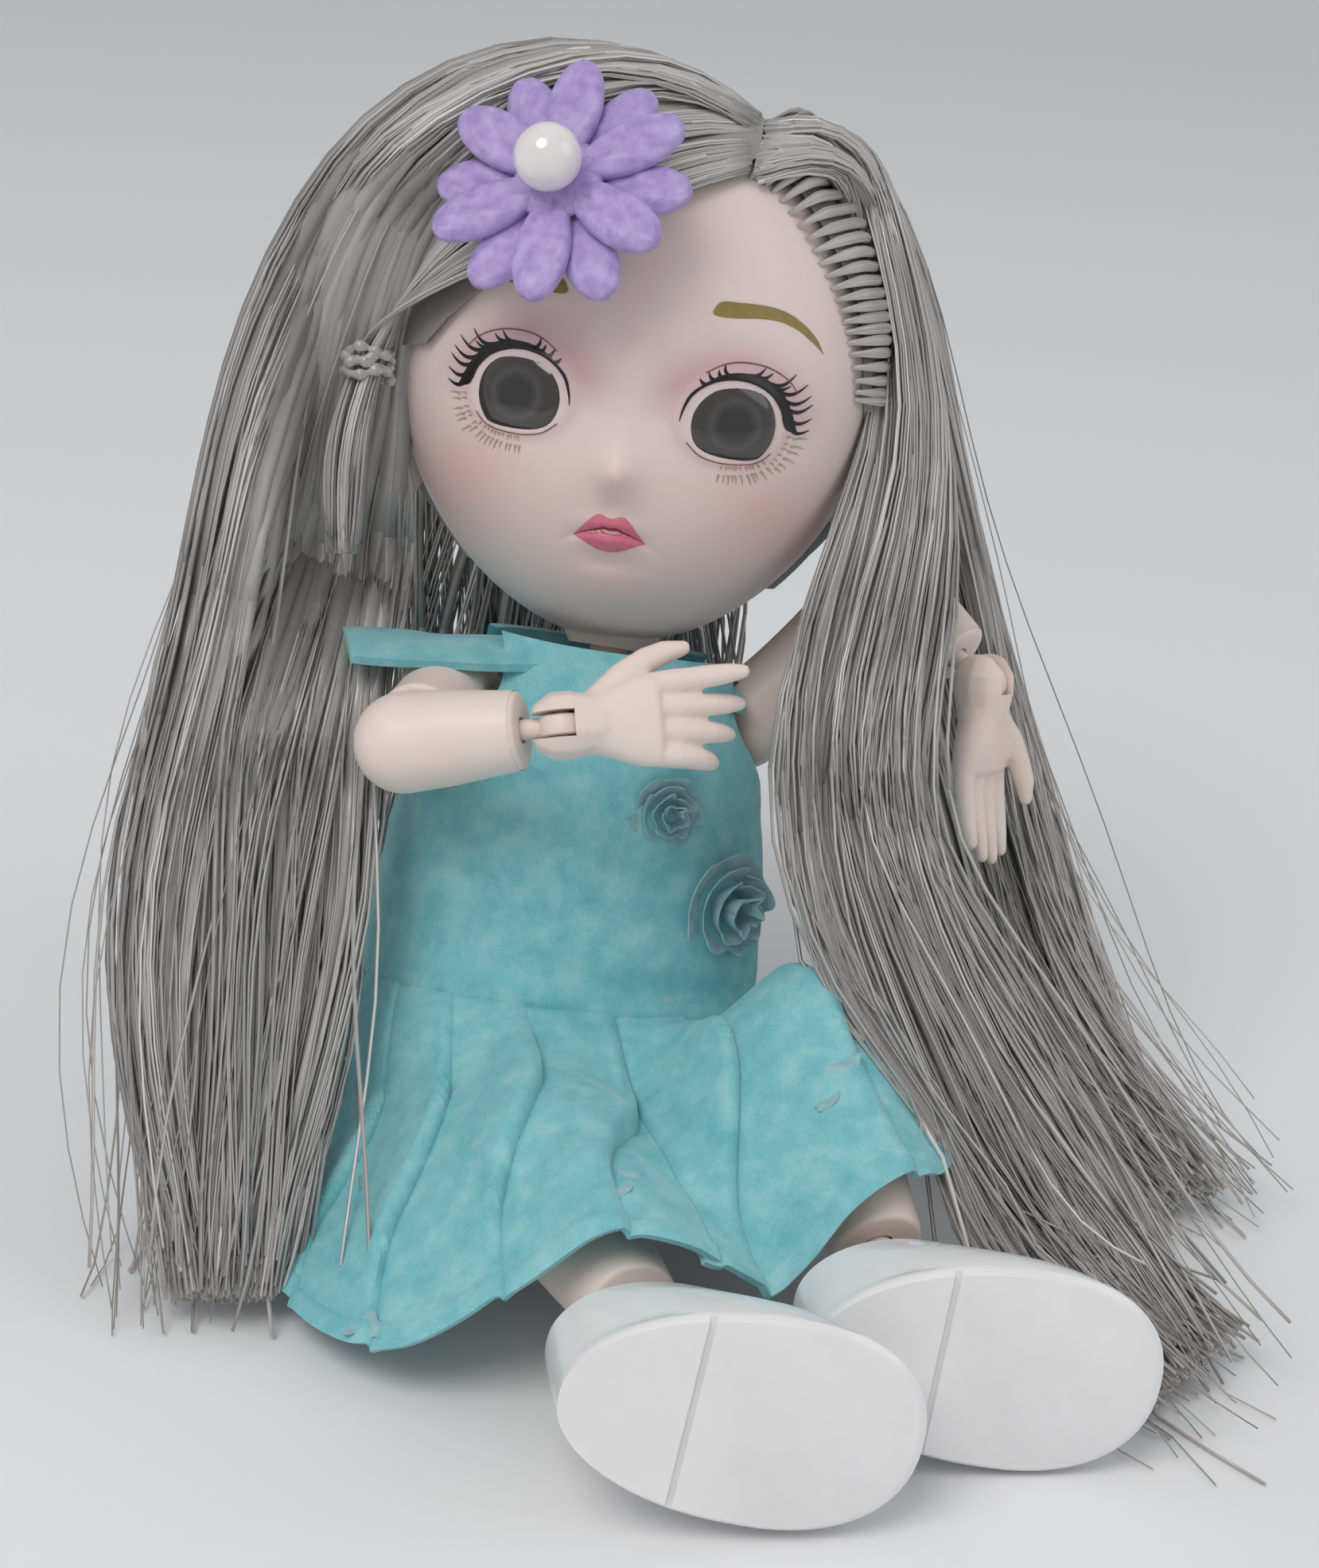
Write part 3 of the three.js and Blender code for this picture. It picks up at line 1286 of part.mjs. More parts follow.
function hand(side, curls) {
  const thumbSide = -side;
  const palm = loft([
    ringAt(-1.5, 2.5, 2.3, 0, 12), ringAt(-3.6, 3, 2.1, 0.1, 12),
    ringAt(-6, palmHalfWidth - 0.3, 1.9, 0.1, 12, 2.5), ringAt(-palmLength, palmHalfWidth, 1.5, 0, 12, 2.6),
  ]);
  const fingers = fingerLengths.map((length, i) => {
    const across = thumbSide * fingerSpacing * (1.5 - i);
    return finger(across, length, curls[i], thumbSide * 0.06 * (1.5 - i));
  });
  const thumb = strand(
    vectors([[1.6, 0.4, -3], [4, 1.1, -5.6], [5.8, 1.7, -8.6], [6.4, 2, -11.4]])
      .map((p) => p.multiply(new THREE.Vector3(thumbSide, 1, 1))),
    [1.6, 1.5, 1.25, 0.7], [1.5, 1.4, 1.15, 0.6], new THREE.Vector3(1, 0, 0), 6,
  );
  const body = join(ball(wristRadius, [0, 0, 0], barSides), palm, thumb, ...fingers);
  return cut(body, forkSlot(wristPeg, -82, 82, 2 * wristRadius));
}

// Legs

function thigh(side) {
  const end = -(thighLength - kneeRadius - limbEndGap);
  const body = limbBody(
    thighTopRadius, [[-1.5, thighTopRadius - 0.3], [-8, thighRadius], [end, thighEndRadius]],
  );
  const slot = moved(forkSlot(hipPeg, -16, 52, 2 * thighTopRadius), sidewaysPegFrame(side));
  return cut(body, slot, moved(pegBore(kneePeg), lowered(thighLength)));
}

function shin() {
  const end = -(shinLength - ankleCupRadius - limbEndGap);
  const body = limbBody(
    kneeRadius, [[-1.5, shinRadius], [-8, calfRadius], [end, ankleEndRadius]],
  );
  const backward = aboutZ(180);
  return cut(
    body, moved(forkSlot(kneePeg, -4, 98, 2 * kneeRadius), backward),
    moved(pegBore(anklePeg), lowered(shinLength)),
  );
}

// Outline of the sole: heel behind, toe in front, wider at the toe
function soleRing(height, inset, toe = shoeToe, narrow = 1) {
  return Array.from({ length: soleSides }, (_, k) => {
    const angle = (2 * Math.PI * k) / soleSides;
    const front = Math.cos(angle);
    const share = (1 + front) / 2;
    const halfWidth = THREE.MathUtils.lerp(shoeHeelHalfWidth, shoeToeHalfWidth, share ** 0.8);
    const length = (toe + shoeHeel) / 2 - inset;
    const middle = (shoeHeel - toe) / 2;
    return new THREE.Vector3(
      squared(Math.sin(angle), solePower) * (halfWidth * narrow - inset),
      middle - squared(front, solePower) * length,
      height,
    );
  });
}

// The shoe's outer form, or the foot in it, drawn in by an inset
function shoeForm(inset, bottom, top) {
  const levels = [
    // share of the collar height, toe in front of the ankle, narrowing
    [0, shoeToe - 0.5, 0.96], [0.06, shoeToe, 1], [0.36, shoeToe - 1.5, 0.98],
    [0.6, shoeToe - 6, 0.9], [1, shoeToe - 12.5, 0.74],
  ];
  return loft(levels.map(([share, toe, narrow]) =>
    soleRing(THREE.MathUtils.lerp(bottom, top, share), inset, toe, narrow)));
}

function foot() {
  const inset = shoeWall + runningGap;
  const instep = taper(ankleCupRadius - 0.4, ankleCupRadius + 0.2, [0, 0, -0.5], [0, -0.6, -6]);
  const openingUp = moved(openingCone(cupOpening, 2 * ankleCupRadius), downward);
  return cut(
    join(
      shoeForm(inset, footBottom, soleBottom + collarHeight - inset), instep,
      ball(ankleCupRadius),
    ),
    ball(anklePeg.ballRadius + runningGap), openingUp,
  );
}

function shoe() {
  const inside = shoeForm(shoeWall, soleBottom + soleThickness, soleBottom + collarHeight - shoeWall);
  const throat = taper(
    ankleCupRadius + 0.6, ankleCupRadius + 1.2, [0, 0, 2], [0, -0.6, soleBottom + 4], ballSides,
  );
  const groove = block([-12, -heelBreast - 0.3, soleBottom - 1], [12, -heelBreast + 0.3, soleBottom + 0.4]);
  return cut(shoeForm(0, soleBottom, soleBottom + collarHeight), inside, throat, groove);
}

for (const [name, limb] of Object.entries(limbs)) {
  const { side } = limb;
  const sideways = sidewaysPegFrame(side);
  piece(limb.shoulder, `shoulder_peg_${name}`, moved(peg(shoulderPeg), sideways), looks.skin);
  piece(limb.upperArm, `upper_arm_${name}`, upperArm(side), looks.skin);
  piece(limb.elbow, `elbow_peg_${name}`, peg(elbowPeg), looks.skin);
  piece(limb.forearm, `forearm_${name}`, forearm(), looks.skin);
  piece(limb.wrist, `wrist_peg_${name}`, peg(wristPeg), looks.skin);
  piece(limb.hand, `hand_${name}`, hand(side, pose[name].fingerCurl), looks.skin);
  piece(limb.hip, `hip_peg_${name}`, moved(peg(hipPeg), sideways), looks.skin);
  piece(limb.thigh, `thigh_${name}`, thigh(side), looks.skin);
  piece(limb.knee, `knee_peg_${name}`, peg(kneePeg), looks.skin);
  piece(limb.shin, `shin_${name}`, shin(), looks.skin);
  piece(limb.ankle, `ankle_peg_${name}`, ballPeg(anklePeg), looks.skin);
  piece(limb.foot, `foot_${name}`, foot(), looks.skin);
  piece(limb.foot, `shoe_${name}`, shoe(), looks.shoe);
}

export default root;
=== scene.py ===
import json
import math
import random

import bpy
import numpy as np
from mathutils import Matrix, Vector


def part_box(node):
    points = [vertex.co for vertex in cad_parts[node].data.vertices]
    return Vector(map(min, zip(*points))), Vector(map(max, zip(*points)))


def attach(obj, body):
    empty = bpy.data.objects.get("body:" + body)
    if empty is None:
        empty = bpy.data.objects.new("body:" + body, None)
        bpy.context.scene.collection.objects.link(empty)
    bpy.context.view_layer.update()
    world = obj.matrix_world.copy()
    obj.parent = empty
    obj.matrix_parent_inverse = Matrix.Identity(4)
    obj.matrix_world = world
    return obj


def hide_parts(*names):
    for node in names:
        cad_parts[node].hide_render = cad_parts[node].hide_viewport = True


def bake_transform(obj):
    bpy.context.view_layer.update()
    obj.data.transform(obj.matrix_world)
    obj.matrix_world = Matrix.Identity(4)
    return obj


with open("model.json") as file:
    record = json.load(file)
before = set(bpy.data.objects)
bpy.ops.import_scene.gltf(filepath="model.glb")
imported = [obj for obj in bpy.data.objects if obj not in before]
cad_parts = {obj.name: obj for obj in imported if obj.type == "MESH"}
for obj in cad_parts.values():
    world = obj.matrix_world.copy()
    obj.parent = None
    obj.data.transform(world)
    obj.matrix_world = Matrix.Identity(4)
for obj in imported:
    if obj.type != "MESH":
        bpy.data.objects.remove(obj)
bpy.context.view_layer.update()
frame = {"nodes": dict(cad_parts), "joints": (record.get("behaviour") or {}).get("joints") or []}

# The setting: a pale floor that runs up into a pale backdrop, and soft daylight from a large window
# in front of the doll's right side, with a weaker fill from its left. The camera looks down on the
# seated doll from a little over arm's length, held slightly askew.
photo_height_pixels, focal_pixels = 1971, 3600
camera_azimuth, camera_elevation, camera_roll = -16, 21, 4
camera_target = Vector((0.010, 0, 0.0388))
camera_distance = 0.270


def aim(azimuth, elevation, roll):
    """A turn that looks at the origin from that side, in degrees."""
    around, over = math.radians(azimuth), math.radians(elevation)
    back = Vector((math.sin(around) * math.cos(over), -math.cos(around) * math.cos(over), math.sin(over)))
    right = Vector((math.cos(around), math.sin(around), 0))
    upward = back.cross(right)
    c, s = math.cos(math.radians(roll)), math.sin(math.radians(roll))
    return Matrix((right * c + upward * s, upward * c - right * s, back)).transposed()


def put_up(name, kind, azimuth, elevation, distance, roll=0):
    """A camera or lamp that looks at the target from a distance."""
    holder = bpy.data.objects.new(name, kind)
    bpy.context.scene.collection.objects.link(holder)
    turn = aim(azimuth, elevation, roll)
    holder.matrix_world = turn.to_4x4()
    holder.location = camera_target + distance * turn.col[2]
    return holder


def add_camera():
    camera = bpy.data.cameras.new("camera")
    camera.sensor_width = 36
    camera.lens = camera.sensor_width * focal_pixels / photo_height_pixels
    camera.clip_start, camera.clip_end = 0.01, 20
    bpy.context.scene.camera = put_up(
        "camera", camera, camera_azimuth, camera_elevation, camera_distance, camera_roll,
    )


def add_lamp(name, azimuth, elevation, distance, size, power, colour):
    lamp = bpy.data.lights.new(name, "AREA")
    lamp.shape = "DISK"
    lamp.size = size
    lamp.energy = power
    lamp.color = colour
    put_up(name, lamp, azimuth, elevation, distance)


class Nodes:
    """A material's node tree, built line by line."""

    def __init__(self, name, roughness, metallic=0.0):
        self.material = bpy.data.materials.new(name)
        self.material.use_nodes = True
        self.tree = self.material.node_tree
        self.shader = self.tree.nodes["Principled BSDF"]
        self.set(roughness=roughness, metallic=metallic)

    def add(self, kind, **settings):
        node = self.tree.nodes.new(kind)
        for key, value in settings.items():
            if key in node.inputs:
                node.inputs[key].default_value = value
            else:
                setattr(node, key, value)
        return node

    def join(self, source, target, output=0):
        self.tree.links.new(source.outputs[output], target)

    def place(self, scale=(1000, 1000, 1000)):
        """The mesh's own coordinates, in millimetres."""
        where = self.add("ShaderNodeTexCoord")
        mapping = self.add("ShaderNodeMapping")
        mapping.inputs["Scale"].default_value = scale
        self.join(where, mapping.inputs["Vector"], "Object")
        return mapping

    def noise(self, at, scale, detail=2.0, roughness=0.5):
        node = self.add("ShaderNodeTexNoise", Scale=scale, Detail=detail, Roughness=roughness)
        self.join(at, node.inputs["Vector"])
        return node

    def ramp(self, source, stops, output=0):
        node = self.add("ShaderNodeValToRGB")
        points = node.color_ramp.elements
        while len(points) < len(stops):
            points.new(0.5)
        for point, (position, colour) in zip(points, stops):
            point.position = position
            point.color = (*colour, 1)
        self.join(source, node.inputs["Fac"], output)
        return node

    def colour(self, source, output=0):
        self.join(source, self.shader.inputs["Base Color"], output)

    def mottle(self, where, scale, detail, stops, roughness=0.5):
        """A colour that shifts softly from place to place; gives back the noise it follows."""
        cloud = self.noise(where, scale, detail, roughness)
        self.colour(self.ramp(cloud, stops))
        return cloud

    def set(self, **values):
        """Constants on the shader's own sockets, such as coat_weight=0.4."""
        for name, value in values.items():
            socket = name.replace("_", " ").title().replace("Ior", "IOR")
            self.shader.inputs[socket].default_value = value

    def span(self, source, low, high, target):
        """A grey pattern sets one of the shader's numbers between two values."""
        node = self.add("ShaderNodeMapRange")
        node.inputs["To Min"].default_value = low
        node.inputs["To Max"].default_value = high
        self.join(source, node.inputs["Value"])
        self.join(node, self.shader.inputs[target])

    def bump(self, source, strength, distance):
        node = self.add("ShaderNodeBump", Strength=strength, Distance=distance)
        self.join(source, node.inputs["Height"])
        self.join(node, self.shader.inputs["Normal"])


def add_stage():
    half, half_width, bend, height = 1.6, 2.4, 0.5, 1.8
    outline = [(-half, 0), (half - bend, 0)]
    steps = 12
    for k in range(1, steps + 1):
        turn = math.pi / 2 * k / steps
        outline.append((half - bend + bend * math.sin(turn), bend - bend * math.cos(turn)))
    outline.append((half, height))
    points = [(side * half_width, y, z) for y, z in outline for side in (-1, 1)]
    faces = [(2 * k, 2 * k + 1, 2 * k + 3, 2 * k + 2) for k in range(len(outline) - 1)]
    mesh = bpy.data.meshes.new("paper_sweep")
    mesh.from_pydata(points, [], faces)
    mesh.shade_smooth()
    sweep = bpy.data.objects.new("paper_sweep", mesh)
    bpy.context.scene.collection.objects.link(sweep)
    paper = Nodes("pale_paper", roughness=0.9)
    paper.set(base_color=(0.86, 0.86, 0.87, 1))
    mesh.materials.append(paper.material)


def add_world():
    world = bpy.data.worlds.new("daylight")
    bpy.context.scene.world = world
    world.use_nodes = True
    sky = world.node_tree.nodes["Background"]
    sky.inputs["Color"].default_value = (0.97, 0.985, 1, 1)
    sky.inputs["Strength"].default_value = 0.52


bpy.context.scene.view_settings.view_transform = "Standard"
add_camera()
add_stage()
add_world()
add_lamp("window", azimuth=-48, elevation=52, distance=0.85, size=0.5, power=2.7, colour=(1, 0.985, 0.96))
add_lamp("fill", azimuth=62, elevation=30, distance=1.1, size=0.7, power=1.0, colour=(0.96, 0.98, 1))

# The body: a hollow trunk of hard pale plastic, moulded in a front and a back half that are glued
# along the sides. Its sockets hold the pegs of the neck, the shoulders and the hips, and the bays
# under it leave room for the thighs. Everything is worked out in millimetres in the trunk's frame.
joint = {j["name"]: j for j in frame["joints"]}
millimetres = Matrix.Scale(0.001, 4)
both_sides = (("right", -1), ("left", 1))


def at(name):
    return Vector(joint[name]["pos_m"])


def centres(side_name, *kinds):
    """Where one side's joints are, in metres."""
    return [at(f"{kind}_{side_name}") for kind in kinds]


def axis(name):
    return Vector(joint[name]["axis"]).normalized()


def own_frame(origin, x=None, y=None, z=None):
    """A piece's own frame in millimetres, from its origin and two of its three axes."""
    if x is None:
        x = y.cross(z).normalized()
    if z is None:
        z = x.cross(y).normalized()
    y = z.cross(x).normalized()
    x = y.cross(z).normalized()
    turn = Matrix((x, y, z)).transposed().to_4x4()
    return Matrix.Translation(origin) @ turn @ Matrix.Scale(0.001, 4)


torso = own_frame(
    (at("hip_swing_right") + at("hip_swing_left")) / 2, x=axis("hip_swing_right"), z=axis("neck_turn"),
)


def fit(made, slot, body, *nodes):
    """The body that carries a piece and the plain solids it stands in for; what the piece is made of is not
    used.
    """
    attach(made, body)
    if nodes:
        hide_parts(*nodes)


def piece(name, points, faces, place, material, smooth=math.radians(35)):
    mesh = bpy.data.meshes.new(name)
    mesh.from_pydata([tuple(p) for p in points], [], [tuple(f) for f in faces])
    mesh.transform(place)
    if place.determinant() < 0:
        mesh.flip_normals()
    mesh.shade_smooth()
    made = bpy.data.objects.new(name, mesh)
    bpy.context.scene.collection.objects.link(made)
    if material:
        mesh.materials.append(material)
    made["smooth"] = smooth
    return made


def settle(made):
    """Works an object's modifiers into its mesh and shades it, with edges kept at sharp corners."""
    bpy.context.view_layer.update()
    evaluated = made.evaluated_get(bpy.context.evaluated_depsgraph_get())
    mesh = bpy.data.meshes.new_from_object(evaluated)
    made.modifiers.clear()
    made.data = mesh
    mesh.shade_smooth()
    if made["smooth"] < math.pi:
        mesh.set_sharp_from_angle(angle=made["smooth"])


def combine(made, operation, *tools):
    for tool in tools:
        step = made.modifiers.new("cut", "BOOLEAN")
        step.operation = operation
        step.solver = "EXACT"
        step.object = tool
    settle(made)
    for tool in tools:
        bpy.data.objects.remove(tool)
    return made


def ring(z, half_width, half_depth, middle=0.0, sides=48, power=2.0):
    points = []
    for k in range(sides):
        turn = 2 * math.pi * k / sides
        c, s = math.cos(turn), math.sin(turn)
        x = math.copysign(abs(c) ** (2 / power), c) * half_width
        y = math.copysign(abs(s) ** (2 / power), s) * half_depth
        points.append((x, middle + y, z))
    return points


def skinned(rings):
    """Points and faces of a closed skin through rings that run from one end to the other."""
    count = len(rings[0])
    points = [p for ring_points in rings for p in ring_points]
    faces = []
    for r in range(len(rings) - 1):
        for k in range(count):
            a, b = r * count + k, r * count + (k + 1) % count
            faces.append((a, b, b + count, a + count))
    faces.append(tuple(reversed(range(count))))
    faces.append(tuple(range((len(rings) - 1) * count, len(rings) * count)))
    return points, faces


def merge(shapes):
    """The points and faces of several shapes as those of one."""
    points, faces = [], []
    for more_points, more_faces in shapes:
        faces += [tuple(n + len(points) for n in face) for face in more_faces]
        points += list(more_points)
    return points, faces


def between(before, a, b, after, t):
    """A place on the smooth curve that runs from a to b, at a share t of the way."""
    return 0.5 * (
        2 * a + (b - before) * t + (2 * before - 5 * a + 4 * b - after) * t * t
        + (3 * a - before - 3 * b + after) * t ** 3
    )


def smooth_profile(profile, steps):
    """More rows between the given rows, on a smooth curve through them."""
    rows = np.array(profile, float)
    last = len(rows) - 1
    out = [
        between(rows[max(i - 1, 0)], rows[i], rows[i + 1], rows[min(i + 2, last)], k / steps)
        for i in range(last) for k in range(steps)
    ]
    return [tuple(row) for row in (*out, rows[-1])]


def skin_plastic():
    """Pale moulded plastic: an even tone with the faintest flush, a fine satin grain."""
    look = Nodes("limb_plastic", 0.42)
    where = look.place()
    look.mottle(where, 0.12, 2, [(0.35, (0.83, 0.725, 0.665)), (0.7, (0.8466, 0.6996, 0.6351))])
    grain = look.noise(where, 14, 3)
    look.span(grain, 0.36, 0.48, "Roughness")
    look.bump(grain, 0.04, 0.00004)
    look.set(
        subsurface_weight=0.12, subsurface_radius=(1, 0.35, 0.2), subsurface_scale=0.0012,
        specular_ior_level=0.42,
    )
    return look.material


limb_plastic = skin_plastic()

trunk_sections = [
    # height, half width, half depth, middle of the depth
    (-10.6, 9.5, 7.6, 1.8), (-6, 12, 9.2, 1.8), (0, 12.5, 9.3, 1.2), (7, 11, 8.2, 0.4), (14, 9, 7, 0),
    (24, 9.3, 7.3, 0), (33, 9, 7.2, 0), (37.5, 8, 6, 0), (39.2, 4.6, 4.4, 0), (40.4, 4.2, 4.2, 0),
]
trunk_seam = 0.3
hip_half_spacing = 9
thigh_bay_radius, thigh_bay_length = 6.8, 14
crotch_half, bay_front, bay_front_top, bay_back = 1.6, -4.5, 5.6, 6.1
far = 40  # past every side of the trunk


def box(low, high, place):
    points = [
        ((low, high)[i][0], (low, high)[j][1], (low, high)[k][2])
        for i in (0, 1) for j in (0, 1) for k in (0, 1)
    ]
    faces = [(0, 1, 3, 2), (4, 6, 7, 5), (0, 4, 5, 1), (2, 3, 7, 6), (0, 2, 6, 4), (1, 5, 7, 3)]
    return piece("tool", points, faces, place, None)


def bar(radius, start, end, place, sides=40, end_radius=None, name="tool"):
    """A round bar between two points in millimetres."""
    start, end = Vector(start), Vector(end)
    turn = (end - start).to_track_quat("Z", "Y").to_matrix().to_4x4()
    length = (end - start).length
    last = radius if end_radius is None else end_radius
    rows = [ring(0, radius, radius, sides=sides), ring(length, last, last, sides=sides)]
    return piece(name, *skinned(rows), place @ Matrix.Translation(start) @ turn, None)


def dome(radius, place, centre=(0, 0, 0)):
    rows, steps = [], 20
    for k in range(1, steps):
        turn = -math.pi / 2 + math.pi * k / steps
        wide = radius * math.cos(turn)
        rows.append(ring(radius * math.sin(turn), wide, wide, sides=2 * steps))
    return piece("tool", *skinned(rows), place @ Matrix.Translation(centre), None)


def trunk_half(name, low_y, high_y):
    rows = [
        ring(z, w, d, m, sides=56, power=2.3) for z, w, d, m in smooth_profile(trunk_sections, 4)
    ]
    half = piece(name, *skinned(rows), torso, limb_plastic)
    tools = [box((-far, -far, -far), (far, far, 0), millimetres)]
    for side in (-1, 1):
        x = side * hip_half_spacing
        tools.append(dome(thigh_bay_radius, torso, (x, 0, 0)))
        tools.append(bar(thigh_bay_radius, (x, 0, 0), (x + side * thigh_bay_length, 0, 0), torso))
        low_x, high_x = sorted((crotch_half * side, side * far))
        tools.append(box((low_x, -far, -far), (high_x, -0.2, 0), torso))
        tools.append(box((low_x, -far, -0.1), (high_x, bay_front, bay_front_top), torso))
        tools.append(box((low_x, -0.3, -far), (high_x, bay_back, 0), torso))
    half = combine(half, "DIFFERENCE", *tools)
    return combine(half, "INTERSECT", box((-far, low_y, -far), (far, high_y, 2 * far), torso))


for name, low_y, high_y in (("trunk_front", -far, -trunk_seam / 2), ("trunk_back", trunk_seam / 2, far)):
    fit(trunk_half(name, low_y, high_y), "skin", "torso", name.replace("trunk", "torso"))

# The limb pegs: hard plastic pins that join the limbs. Each has a tenon with a cross pin, which the
# next limb's fork snaps over and bends on, and a stem with a flange, which snaps into a bore and
# turns there. The ankle's and the neck's pegs end in a ball instead.
peg_sizes = {
    # tenon radius, tenon half width, pin radius, pin half length, stem radius, stem length,
    # flange radius, flange thickness
    "shoulder": (3, 1.3, 0.9, 3, 1.3, 8.2, 2.6, 0.7),
    "elbow": (3, 1.3, 0.9, 3, 1.3, 9.6, 2.2, 0.8),
    "wrist": (2.1, 0.9, 0.6, 2.1, 0.9, 7.4, 1.7, 0.7),
    "hip": (3.8, 1.7, 1.1, 4, 1.6, 8.5, 2.8, 0.7),
    "knee": (3.4, 1.5, 1, 3.6, 1.5, 11.2, 2.8, 0.9),
}
ball_peg_sizes = {
    # ball radius, stem radius, stem length, flange radius, flange thickness
    "ankle": (3.4, 1.3, 10.2, 2.3, 0.8),
    "neck": (3.4, 1.8, 8.2, 3.3, 0.8),
}
# How far each peg bends in the slot of the next limb, in degrees
slot_bends = {
    "shoulder": (-12, 115), "elbow": (-4, 97), "wrist": (-82, 82), "hip": (-16, 52), "knee": (-4, 98),
}
running_gap = 0.3
rounding = 0.25


def disc_rows(radius, low, high, rounded=rounding):
    """Rows of a round disc about Z with softened edges."""
    return [
        (low, radius - rounded), (low + rounded * 0.3, radius - rounded * 0.3), (low + rounded, radius),
        (high - rounded, radius), (high - rounded * 0.3, radius - rounded * 0.3), (high, radius - rounded),
    ]


def turned(name, rows, place, sides=40, material=None):
    rings = [ring(z, radius, radius, sides=sides) for z, radius in rows]
    return piece(name, *skinned(rings), place, material)


lay_along_x = Matrix.Rotation(math.pi / 2, 4, "Y")


def stem_and_flange(stem, length, flange, flange_thick, place):
    return (
        turned("tool", [(0, stem), (length - 0.1, stem)], place, 24),
        turned("tool", disc_rows(flange, length - flange_thick, length, 0.2), place),
    )


def add_peg(kind, side_name, place):
    tenon, tenon_half, pin, pin_half, *rest = peg_sizes[kind]
    node = f"{kind}_peg_{side_name}"
    lying = place @ lay_along_x
    made = turned(node + "_pin", disc_rows(tenon, -tenon_half, tenon_half), lying, material=limb_plastic)
    cross_pin = turned("tool", disc_rows(pin, -pin_half, pin_half, 0.15), lying, 24)
    fit(combine(made, "UNION", cross_pin, *stem_and_flange(*rest, place)), "skin", node, node)


def add_ball_peg(kind, place, body, node):
    ball, *rest = ball_peg_sizes[kind]
    made = dome(ball, place)
    made.name = node + "_ball"
    made.data.materials.append(limb_plastic)
    fit(combine(made, "UNION", *stem_and_flange(*rest, place)), "skin", body, node)


def slot_tools(kind, top_radius, place):
    """The space in a round limb top that a peg's tenon and stem take from one bend to another.
    The bend is counted from +Z towards -Y of the peg's own frame."""
    tenon, tenon_half, pin, pin_half, stem = peg_sizes[kind][:5]
    from_bend, to_bend = slot_bends[kind]
    reach = 2 * top_radius
    half = tenon_half + running_gap
    clear = stem + running_gap

    def direction(bend):
        return np.array((-math.sin(math.radians(bend)), math.cos(math.radians(bend))))

    def aside(bend):
        return np.array((math.cos(math.radians(bend)), math.sin(math.radians(bend))))

    outline = [aside(from_bend) * clear, aside(from_bend) * clear + direction(from_bend) * reach]
    steps = 10
    for k in range(1, steps):
        outline.append(direction(from_bend + (to_bend - from_bend) * k / steps) * reach * 1.3)
    outline.append(-aside(to_bend) * clear + direction(to_bend) * reach)
    outline.append(-aside(to_bend) * clear)
    sides = [[(x, y, z) for y, z in outline] for x in (-half, half)]
    return [
        piece("tool", *skinned(sides), place, None),
        bar(tenon + running_gap, (-half, 0, 0), (half, 0, 0), place),
        bar(pin + running_gap, (-pin_half - running_gap, 0, 0), (pin_half + running_gap, 0, 0), place, 24),
    ]


def bore_tools(kind, place):
    stem, length, flange, thick = (peg_sizes.get(kind) or ball_peg_sizes[kind])[-4:]
    return [
        bar(stem + running_gap, (0, 0, -9), (0, 0, length), place, 24),
        bar(flange + running_gap, (0, 0, length - thick - running_gap), (0, 0, length + running_gap), place),
    ]


# The limbs: rotation-moulded tubes of the same pale plastic, each with a round top that is slotted
# for its peg and a shaft that swells a little like a real limb. They are made in one piece, with a
# softened edge where the shaft stops short of the next joint.
limb_end_gap = 0.5
limb_edge = 0.55
upper_arm_length, forearm_length, thigh_length, shin_length = 19, 14.5, 26.5, 24
arm_top, elbow_top, wrist_top, thigh_top, knee_top, ankle_top = 4.4, 4.5, 3.2, 5.8, 5.2, 4.5
# Each limb: length, radius of its round top and of the next one's, radii down the shaft, end radius
limbs = {
    "upper_arm": (upper_arm_length, arm_top, elbow_top, [(-3, 4.15), (-6, 3.9), (-10, 3.8)], 3.9),
    "forearm": (forearm_length, elbow_top, wrist_top, [(-2.4, 4.35), (-4.5, 4.2), (-8, 3.8)], 3.5),
    "thigh": (thigh_length, thigh_top, knee_top, [(-4, 5.6), (-8, 5.3), (-14, 5.1)], 5.0),
    "shin": (shin_length, knee_top, ankle_top, [(-3, 5.0), (-8, 5.1), (-13, 4.7)], 4.1),
}


def limb_rows(top_radius, shaft, end):
    rows = []
    for k in range(1, 12):
        turn = math.pi / 2 * k / 12
        rows.append((top_radius * math.cos(turn), top_radius * math.sin(turn)))
    rows += smooth_profile([(0, top_radius)] + shaft, 5)[:-1]
    last = shaft[-1][1]
    for k in range(5):
        turn = math.pi / 2 * k / 4
        rows.append((end + limb_edge * (1 - math.sin(turn)), last - limb_edge * (1 - math.cos(turn))))
    return rows[::-1]


def add_limb(kind, side_name, place, peg_above, peg_turn, peg_below):
    name = f"{kind}_{side_name}"
    length, top_radius, next_top, shaft, end_radius = limbs[kind]
    end = -(length - next_top - limb_end_gap)
    made = turned(
        name + "_shell", limb_rows(top_radius, shaft + [(end, end_radius)], end), place, 56, limb_plastic,
    )
    slotted = slot_tools(peg_above, top_radius, place @ peg_turn)
    bored = bore_tools(peg_below, place @ Matrix.Translation((0, 0, -length)))
    fit(combine(made, "DIFFERENCE", *slotted, *bored), "skin", name, name)


